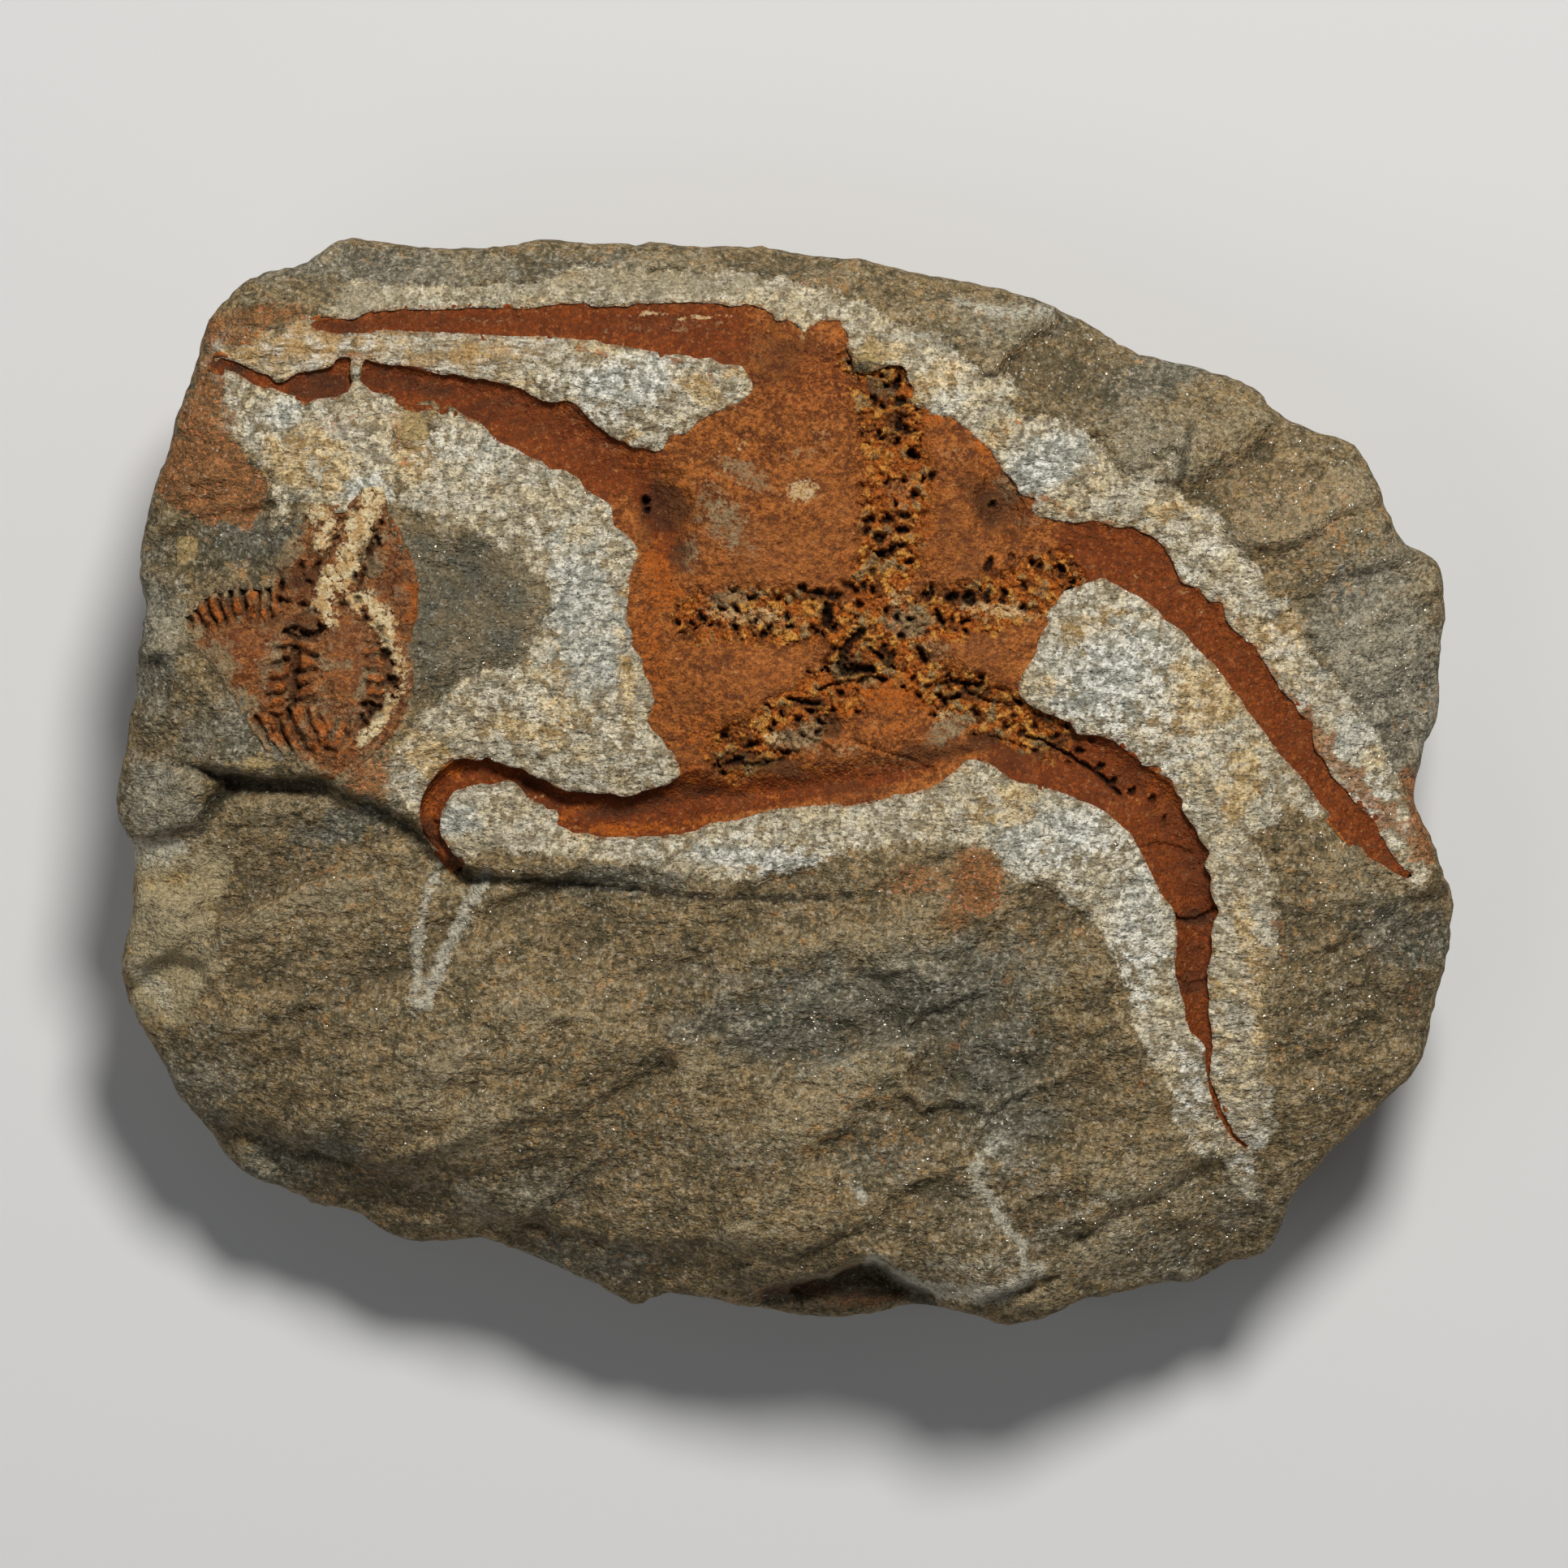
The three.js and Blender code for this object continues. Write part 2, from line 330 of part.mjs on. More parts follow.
// An arm as a strip: stations from root to tip, each with points across from
// one edge to the other, above and below.
function strip(stations) {
  const m = stations[0].top.length, n = stations.length, pos = [], idx = [];
  for (const s of stations) for (const p of [...s.top, ...s.bottom]) pos.push(...p);
  const T = (i, j) => i * 2 * m + j, B = (i, j) => i * 2 * m + m + j;
  const quad = (a, b, c, d) => idx.push(a, b, c, a, c, d);
  for (let i = 0; i + 1 < n; i++) {
    for (let j = 0; j + 1 < m; j++) {
      quad(T(i, j), T(i, j + 1), T(i + 1, j + 1), T(i + 1, j));
      quad(B(i, j), B(i + 1, j), B(i + 1, j + 1), B(i, j + 1));
    }
    quad(T(i, 0), T(i + 1, 0), B(i + 1, 0), B(i, 0));
    quad(T(i, m - 1), B(i, m - 1), B(i + 1, m - 1), T(i + 1, m - 1));
  }
  for (let j = 0; j + 1 < m; j++) {
    quad(T(0, j), B(0, j), B(0, j + 1), T(0, j + 1));
    quad(T(n - 1, j), T(n - 1, j + 1), B(n - 1, j + 1), B(n - 1, j));
  }
  const g = new THREE.BufferGeometry();
  g.setAttribute('position', new THREE.Float32BufferAttribute(pos, 3));
  g.setIndex(idx);
  // the strip's edges may run either way round: turn the faces out
  let volume = 0;
  const V = (k) => new THREE.Vector3(pos[3 * k], pos[3 * k + 1], pos[3 * k + 2]);
  for (let k = 0; k < idx.length; k += 3) volume += V(idx[k]).dot(V(idx[k + 1]).cross(V(idx[k + 2])));
  if (volume < 0) { for (let k = 0; k < idx.length; k += 3) [idx[k], idx[k + 1]] = [idx[k + 1], idx[k]]; g.setIndex(idx); }
  return g;
}

function armStations(name) {
  const s = ARMS[name], depth = CHANNEL_DEPTH[name];
  const wide = s.map((q) => Math.hypot(q[2] - q[0], q[3] - q[1]));
  return s.map((q, i) => {
    const k = depth * Math.min(1, wide[i] / 3.6);
    const top = [0, 0.25, 0.5, 0.75, 1].map((t) => {
      const x = q[0] + (q[2] - q[0]) * t, y = q[1] + (q[3] - q[1]) * t, u = 2 * t - 1;
      return [x, y, rockLevel(x, y) - TRENCH_DEPTH - LIP - k * (1 - u * u)];
    });
    const floor = Math.min(...top.map((p) => p[2])) - PIECE_THICKNESS * Math.min(1, 0.45 + wide[i] / 5);
    return { top, bottom: top.map((p) => [p[0], p[1], floor]), floor };
  });
}

const shiftXY = (p, v, s) => [p[0] + v.x * s, p[1] + v.y * s, p[2]];
function armSolid(name) {
  const st = armStations(name);
  // the root stands clear of the disc
  const run = new THREE.Vector2(st[1].top[2][0] - st[0].top[2][0], st[1].top[2][1] - st[0].top[2][1]).normalize();
  st[0].top = st[0].top.map((p) => shiftXY(p, run, POCKET_GAP * 1.3));
  st[0].bottom = st[0].bottom.map((p) => shiftXY(p, run, POCKET_GAP * 1.3));
  return strip(st);
}
function armPocket(name) {
  const st = armStations(name), n = st.length;
  const out = st.map((s, i) => {
    const a = s.top[0], b = s.top[4];
    const p = st[Math.max(0, i - 1)].top[2], q = st[Math.min(n - 1, i + 1)].top[2];
    const w = new THREE.Vector2(b[0] - a[0], b[1] - a[1]).normalize();
    const run = new THREE.Vector2(q[0] - p[0], q[1] - p[1]).normalize();
    // stations that cross the arm at a slant are widened more
    const g = (POCKET_GAP * 1.15) / Math.max(0.5, Math.abs(w.cross(run)));
    const A = [a[0] - w.x * g, a[1] - w.y * g], B = [b[0] + w.x * g, b[1] + w.y * g];
    const up = Math.max(a[2], b[2]) + OPEN_ABOVE, down = s.floor - POCKET_GAP * 1.15;
    return { top: [[...A, up], [...B, up]], bottom: [[...A, down], [...B, down]] };
  });
  const move = (s, i, j, by) => {
    const v = new THREE.Vector2(st[i].top[2][0] - st[j].top[2][0], st[i].top[2][1] - st[j].top[2][1]).normalize();
    s.top = s.top.map((p) => shiftXY(p, v, by)); s.bottom = s.bottom.map((p) => shiftXY(p, v, by));
  };
  move(out[0], 0, 1, 0.6);
  move(out[n - 1], n - 1, n - 2, POCKET_GAP * 1.4);
  out[n - 1].bottom = out[n - 1].bottom.map((p) => [p[0], p[1], p[2] - 2 * POCKET_GAP]);
  return strip(out);
}

// A round, cushioned plate inside an outline.
function plateLoops(poly, centre, top, floor) {
  const scale = (f) => poly.map(([x, y]) => [centre[0] + (x - centre[0]) * f, centre[1] + (y - centre[1]) * f]);
  const loops = [[[...centre, top(...centre, 0)]]];
  for (const f of [0.24, 0.48, 0.7, 0.88, 1]) loops.push(scale(f).map(([x, y]) => [x, y, top(x, y, f)]));
  loops.push(poly.map(([x, y]) => [x, y, floor(x, y)]));
  loops.push(scale(0.5).map(([x, y]) => [x, y, floor(x, y)]));
  loops.push([[...centre, floor(...centre)]]);
  return loops;
}
function pocketLoops(poly, centre, floor, gap) {
  const wide = offset(poly, gap);
  const roof = Math.max(...poly.map(([x, y]) => rockLevel(x, y)), rockLevel(...centre)) + OPEN_ABOVE;
  const half = wide.map(([x, y]) => [centre[0] + (x - centre[0]) * 0.5, centre[1] + (y - centre[1]) * 0.5]);
  return [
    [[...centre, roof]],
    wide.map(([x, y]) => [x, y, roof]),
    wide.map(([x, y]) => [x, y, floor(x, y) - POCKET_GAP]),
    half.map(([x, y]) => [x, y, floor(x, y) - POCKET_GAP]),
    [[...centre, floor(...centre) - POCKET_GAP]],
  ];
}
const discTop = (x, y, f) => rockLevel(x, y) - TRENCH_DEPTH - LIP - 0.35 + DISC_CUSHION * Math.sin(Math.PI * Math.min(1, f * 1.02)) ** 2;
const discFloor = (x, y) => rockLevel(x, y) - TRENCH_DEPTH - LIP - 0.5 - PIECE_THICKNESS;
const partialTop = (x, y, f) => rockLevel(x, y) - 0.5 + PARTIAL_CUSHION * (1 - f * f);
const partialFloor = (x, y) => rockLevel(x, y) - 0.6 - PARTIAL_THICKNESS;

// ------------------------------------------------------------------- booleans
const wasm = await Module();
wasm.setup();
function solid(geometry) {
  const g = geometry.clone();
  g.deleteAttribute('normal');
  g.deleteAttribute('uv');
  const m = mergeVertices(g, 1e-5);
  return new wasm.Manifold(new wasm.Mesh({
    numProp: 3,
    vertProperties: new Float32Array(m.attributes.position.array),
    triVerts: new Uint32Array(m.index.array),
  }));
}
function geometryOf(manifold) {
  const mesh = manifold.getMesh();
  const g = new THREE.BufferGeometry();
  g.setAttribute('position', new THREE.Float32BufferAttribute(mesh.vertProperties, 3));
  g.setIndex([...mesh.triVerts]);
  return g;
}

// ------------------------------------------------------------------- assembly
const group = new THREE.Group();
group.name = 'fossil_brittle_star';
function add(name, geometry) {
  geometry.computeVertexNormals();
  const mesh = new THREE.Mesh(geometry, new THREE.MeshStandardMaterial({ color: COLOUR[name], roughness: 0.88, metalness: 0 }));
  mesh.name = name;
  group.add(mesh);
}

let rock = solid(matrixSolid());
for (const name of Object.keys(ARMS)) rock = rock.subtract(solid(armPocket(name)));
rock = rock.subtract(solid(skin(pocketLoops(DISC, DISC_CENTRE, discFloor, POCKET_GAP))));
rock = rock.subtract(solid(skin(pocketLoops(PARTIAL, PARTIAL_CENTRE, partialFloor, POCKET_GAP))));
add('matrix', geometryOf(rock));
add('disc', skin(plateLoops(DISC, DISC_CENTRE, discTop, discFloor)));
for (const name of Object.keys(ARMS)) add(name, armSolid(name));
add('partial_star', skin(plateLoops(PARTIAL, PARTIAL_CENTRE, partialTop, partialFloor)));

export default group;
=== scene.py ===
# Fossil brittle star on its block of micaceous sandstone: the look of the part,
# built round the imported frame.  Lengths in the helpers below are millimetres
# in the frame's axes; meshes are written in metres.
import bpy, math
import numpy as np
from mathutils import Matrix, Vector
from mathutils.geometry import delaunay_2d_cdt


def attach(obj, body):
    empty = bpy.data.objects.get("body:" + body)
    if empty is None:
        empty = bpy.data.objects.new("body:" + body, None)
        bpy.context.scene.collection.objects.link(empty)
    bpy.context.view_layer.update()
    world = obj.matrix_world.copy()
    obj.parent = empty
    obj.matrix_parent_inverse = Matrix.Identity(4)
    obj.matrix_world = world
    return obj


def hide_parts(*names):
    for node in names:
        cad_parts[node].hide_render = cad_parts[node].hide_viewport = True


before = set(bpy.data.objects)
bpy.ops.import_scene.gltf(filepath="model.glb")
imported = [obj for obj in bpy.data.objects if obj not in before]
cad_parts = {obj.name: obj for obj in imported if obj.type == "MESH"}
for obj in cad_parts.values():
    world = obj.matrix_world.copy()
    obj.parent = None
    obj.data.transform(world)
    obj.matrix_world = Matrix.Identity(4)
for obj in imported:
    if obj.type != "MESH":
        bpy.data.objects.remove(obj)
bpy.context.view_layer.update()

# ------------------------------------------------------------------ the plan
# Plan coordinates below are in a 1932 x 1932 frame that looks straight down on
# the face; 'plan' turns them into millimetres, allowing for the height.
S, ZREF, DCAM = 0.0667, 29.0, 1200.0
CX, CY = 0.11233, 0.07288

ROCK = [
    (422, 289), (538, 305), (567, 302), (600, 305), (672, 291), (711, 298), (763, 299), (799, 296), (851, 302),
    (899, 302), (927, 298), (993, 312), (1068, 318), (1120, 333), (1234, 353), (1277, 367), (1341, 395), (1372, 417),
    (1422, 440), (1462, 446), (1538, 470), (1552, 478), (1569, 503), (1589, 518), (1662, 540), (1678, 553), (1705, 610),
    (1724, 661), (1734, 670), (1770, 685), (1780, 703), (1781, 749), (1784, 761), (1776, 803), (1775, 885), (1752, 928),
    (1752, 951), (1743, 970), (1740, 983), (1775, 1050), (1781, 1078), (1794, 1098), (1795, 1114), (1791, 1137), (1790, 1165),
    (1762, 1272), (1760, 1290), (1742, 1329), (1710, 1353), (1679, 1388), (1656, 1406), (1599, 1467), (1590, 1481), (1582, 1513),
    (1566, 1542), (1548, 1553), (1516, 1555), (1473, 1583), (1424, 1582), (1403, 1592), (1388, 1592), (1364, 1601), (1343, 1598),
    (1286, 1627), (1240, 1638), (1203, 1621), (1140, 1607), (1050, 1625), (986, 1624), (940, 1613), (906, 1611), (874, 1599),
    (841, 1597), (826, 1593), (802, 1601), (793, 1611), (784, 1611), (769, 1606), (736, 1584), (698, 1570), (655, 1548),
    (584, 1526), (543, 1533), (520, 1533), (496, 1528), (472, 1519), (446, 1501), (423, 1490), (387, 1488), (354, 1467),
    (307, 1452), (288, 1441), (252, 1388), (211, 1342), (201, 1310), (161, 1251), (147, 1206), (149, 1172), (162, 1127),
    (160, 1090), (165, 1045), (143, 1010), (139, 988), (152, 931), (177, 751), (177, 737), (168, 706), (170, 679),
    (190, 591), (206, 556), (214, 515), (241, 445), (248, 407), (262, 381), (305, 341), (336, 330), (370, 325),
]
STAR_A = [
    (885, 372), (903, 375), (916, 373), (932, 374), (952, 384), (957, 395), (976, 392), (991, 411), (999, 399),
    (1010, 393), (1034, 392), (1049, 416), (1044, 429), (1052, 438), (1053, 450), (1057, 457), (1062, 459), (1096, 448),
    (1107, 447), (1114, 450), (1120, 456), (1119, 465), (1131, 482), (1120, 492), (1121, 495), (1143, 505), (1150, 513),
    (1172, 512), (1194, 526), (1200, 536), (1219, 549), (1240, 581), (1255, 596), (1257, 606), (1280, 614), (1272, 625),
    (1276, 633), (1326, 643), (1350, 638), (1372, 648), (1398, 647), (1431, 666), (1447, 690), (1457, 717), (1478, 722),
    (1491, 740), (1502, 739), (1508, 743), (1514, 765), (1538, 790), (1548, 794), (1580, 849), (1597, 865), (1603, 878),
    (1621, 890), (1619, 904), (1622, 925), (1632, 933), (1642, 954), (1656, 968), (1666, 980), (1674, 989), (1682, 997),
    (1688, 1003), (1694, 1009), (1699, 1017), (1705, 1031), (1715, 1048), (1724, 1062), (1738, 1073), (1743, 1080), (1734, 1085),
    (1717, 1077), (1703, 1068), (1682, 1057), (1678, 1048), (1662, 1034), (1648, 1015), (1627, 994), (1605, 962), (1577, 933),
    (1494, 819), (1473, 801), (1455, 778), (1434, 766), (1424, 753), (1405, 739), (1362, 716), (1354, 715), (1313, 731),
    (1291, 758), (1294, 768), (1282, 790), (1277, 809), (1263, 828), (1256, 851), (1258, 857), (1279, 872), (1320, 888),
    (1329, 903), (1353, 904), (1373, 910), (1384, 920), (1400, 926), (1409, 942), (1424, 941), (1432, 953), (1447, 960),
    (1450, 975), (1459, 984), (1458, 999), (1475, 1018), (1479, 1032), (1493, 1049), (1492, 1056), (1485, 1063), (1494, 1078),
    (1494, 1100), (1504, 1122), (1495, 1148), (1496, 1174), (1490, 1193), (1490, 1217), (1493, 1230), (1491, 1253), (1495, 1266),
    (1496, 1294), (1492, 1331), (1499, 1340), (1507, 1366), (1522, 1396), (1542, 1411), (1537, 1419), (1514, 1401), (1497, 1372),
    (1488, 1345), (1482, 1302), (1483, 1292), (1477, 1282), (1465, 1274), (1459, 1258), (1456, 1235), (1445, 1199), (1449, 1154),
    (1445, 1122), (1429, 1102), (1393, 1030), (1354, 997), (1302, 977), (1271, 968), (1256, 967), (1241, 960), (1225, 947),
    (1202, 937), (1192, 939), (1160, 966), (1125, 980), (1104, 981), (1093, 986), (1044, 996), (1030, 993), (954, 999),
    (908, 1013), (877, 1016), (856, 1027), (824, 1032), (755, 1034), (734, 1033), (724, 1028), (707, 1030), (697, 1022),
    (683, 1017), (687, 1007), (685, 1001), (674, 999), (668, 993), (650, 985), (634, 966), (625, 963), (611, 968),
    (588, 968), (562, 976), (552, 990), (546, 1006), (544, 1020), (550, 1036), (562, 1052), (575, 1066), (567, 1077),
    (556, 1070), (538, 1050), (520, 1028), (514, 1002), (519, 978), (533, 956), (551, 936), (570, 932), (587, 935),
    (599, 931), (629, 943), (643, 943), (652, 952), (676, 961), (684, 967), (699, 973), (709, 972), (743, 976),
    (757, 975), (764, 979), (773, 980), (781, 977), (791, 972), (822, 965), (837, 954), (829, 928), (817, 922),
    (815, 911), (801, 900), (796, 890), (803, 865), (802, 848), (793, 836), (788, 811), (776, 798), (778, 784),
    (769, 761), (774, 710), (785, 682), (777, 667), (753, 647), (752, 624), (720, 605), (710, 590), (696, 582),
    (677, 580), (664, 568), (650, 566), (637, 555), (614, 547), (588, 521), (567, 513), (559, 503), (551, 503),
    (547, 509), (534, 496), (520, 497), (506, 504), (492, 502), (485, 490), (458, 486), (441, 470), (443, 452),
    (450, 439), (466, 446), (513, 450), (546, 460), (562, 459), (572, 463), (598, 465), (637, 474), (675, 494),
    (683, 494), (695, 491), (705, 493), (714, 499), (720, 507), (746, 530), (756, 537), (769, 541), (780, 550),
    (795, 549), (804, 553), (814, 554), (824, 535), (848, 531), (858, 516), (886, 505), (901, 496), (913, 493),
    (925, 481), (926, 473), (913, 453), (885, 450), (877, 443), (861, 445), (839, 438), (823, 440), (810, 436),
    (758, 427), (746, 426), (733, 421), (719, 421), (697, 418), (681, 417), (614, 416), (572, 413), (512, 411),
    (482, 409), (471, 409), (450, 414), (431, 411), (418, 415), (398, 410), (388, 409), (379, 402), (381, 398),
    (392, 389), (403, 390), (432, 392), (454, 382), (492, 379), (543, 379), (592, 376), (651, 378), (691, 372),
    (720, 371), (733, 375), (766, 376), (785, 372), (855, 370),
]
STAR_B = [
    (424, 438), (431, 438), (436, 443), (433, 455), (435, 471), (431, 483), (416, 491), (381, 494), (345, 485),
    (334, 479), (325, 480), (312, 476), (290, 460), (266, 454), (262, 446), (272, 438), (301, 448), (317, 457),
    (333, 460), (338, 470), (347, 470), (365, 458), (403, 452), (409, 449), (414, 440),
]
DISC_TOP = [
    (920, 373), (932, 374), (952, 384), (957, 395), (976, 392), (991, 411), (999, 399), (1010, 393), (1034, 392),
    (1049, 414), (1053, 440), (1057, 455), (1066, 459), (1096, 448), (1107, 447), (1120, 456), (1122, 466), (1131, 482),
    (1132, 497), (1150, 511), (1172, 512), (1194, 526), (1219, 549), (1240, 581), (1255, 596), (1259, 606), (1280, 614),
    (1278, 628), (1300, 638),
]
DISC_RIGHT = [
    (1305, 738), (1293, 752), (1293, 768), (1282, 790), (1277, 809), (1263, 828), (1256, 855),
]
DISC_BOT = [
    (1210, 940), (1202, 937), (1190, 941), (1160, 966), (1125, 980), (1104, 981), (1093, 986), (1044, 996), (1000, 996),
    (954, 999), (908, 1013), (880, 1016),
]
DISC_LEFT = [
    (837, 956), (829, 928), (817, 922), (815, 911), (801, 900), (796, 890), (803, 865), (802, 848), (793, 836),
    (788, 811), (776, 798), (778, 784), (769, 761), (772, 735), (774, 710), (785, 682), (777, 667), (753, 647),
    (752, 626),
]
DISC_UL = [
    (804, 557), (814, 553), (824, 537), (848, 531), (858, 516), (886, 505), (901, 496), (915, 491), (925, 481),
    (912, 449),
]
ARMS = {
    'arm_upper_left': [
        (920, 372, 912, 454), (869, 372, 877, 444), (830, 371, 823, 439), (785, 373, 785, 431), (733, 375, 733, 421),
        (691, 373, 697, 417), (651, 379, 650, 416), (592, 377, 600, 415), (543, 380, 543, 412), (492, 380, 495, 410),
        (454, 383, 456, 413), (425, 391, 427, 413), (402, 394, 403, 408), (382, 398, 383, 403),
    ],
    'arm_left': [
        (804, 554, 752, 626), (769, 542, 720, 605), (746, 531, 700, 584), (719, 507, 677, 580), (690, 493, 650, 566),
        (660, 489, 625, 551), (637, 475, 598, 531), (598, 465, 575, 516), (562, 460, 547, 508), (530, 459, 515, 500),
        (500, 451, 487, 494), (470, 446, 462, 487), (446, 441, 440, 487), (424, 440, 416, 491), (400, 453, 385, 494),
        (368, 458, 360, 489), (340, 460, 338, 484), (317, 457, 312, 476), (300, 449, 290, 460), (278, 441, 268, 454),
        (262, 440, 259, 447),
    ],
    'arm_lower_left': [
        (837, 956, 880, 1016), (800, 973, 838, 1034), (763, 980, 790, 1035), (730, 975, 745, 1034), (700, 968, 712, 1027),
        (672, 958, 685, 1011), (645, 944, 655, 1000), (622, 933, 628, 985), (597, 928, 604, 973), (567, 933, 582, 978),
        (541, 952, 562, 990), (524, 975, 548, 1006), (515, 1000, 543, 1020), (519, 1027, 549, 1036), (538, 1048, 561, 1052),
        (562, 1072, 572, 1066),
    ],
    'arm_lower_right': [
        (1256, 855, 1210, 940), (1290, 876, 1245, 961), (1330, 893, 1290, 974), (1372, 913, 1330, 988), (1405, 938, 1362, 1003),
        (1434, 958, 1385, 1023), (1455, 985, 1402, 1047), (1472, 1020, 1416, 1077), (1490, 1052, 1430, 1103), (1496, 1088, 1444, 1125),
        (1503, 1122, 1448, 1150), (1497, 1155, 1447, 1178), (1494, 1190, 1446, 1203), (1491, 1225, 1453, 1228), (1493, 1262, 1463, 1265),
        (1497, 1300, 1480, 1302), (1501, 1330, 1487, 1333), (1507, 1366, 1496, 1370), (1522, 1396, 1513, 1400), (1540, 1412, 1535, 1418),
    ],
    'arm_right': [
        (1300, 638, 1305, 738), (1330, 642, 1330, 724), (1365, 645, 1358, 716), (1398, 648, 1382, 726), (1428, 665, 1405, 739),
        (1448, 692, 1424, 754), (1462, 718, 1440, 769), (1489, 739, 1458, 783), (1512, 762, 1478, 805), (1538, 790, 1500, 828),
        (1560, 818, 1522, 858), (1580, 848, 1545, 890), (1602, 876, 1570, 923), (1620, 905, 1593, 949), (1634, 936, 1612, 972),
        (1656, 968, 1630, 997), (1676, 993, 1648, 1016), (1693, 1012, 1664, 1035), (1704, 1035, 1680, 1052), (1718, 1058, 1702, 1067),
        (1738, 1076, 1732, 1082),
    ],
}
PARTIAL = [
    (217, 757), (237, 735), (257, 720), (293, 712), (323, 718), (345, 682), (358, 655), (367, 625), (400, 620),
    (427, 618), (450, 600), (472, 600), (480, 628), (495, 650), (508, 690), (517, 723), (516, 760), (508, 795),
    (510, 840), (505, 872), (490, 900), (465, 930), (440, 952), (415, 963), (387, 957), (365, 940), (340, 930),
    (313, 923), (300, 890), (285, 862), (263, 823), (238, 800), (222, 780),
]
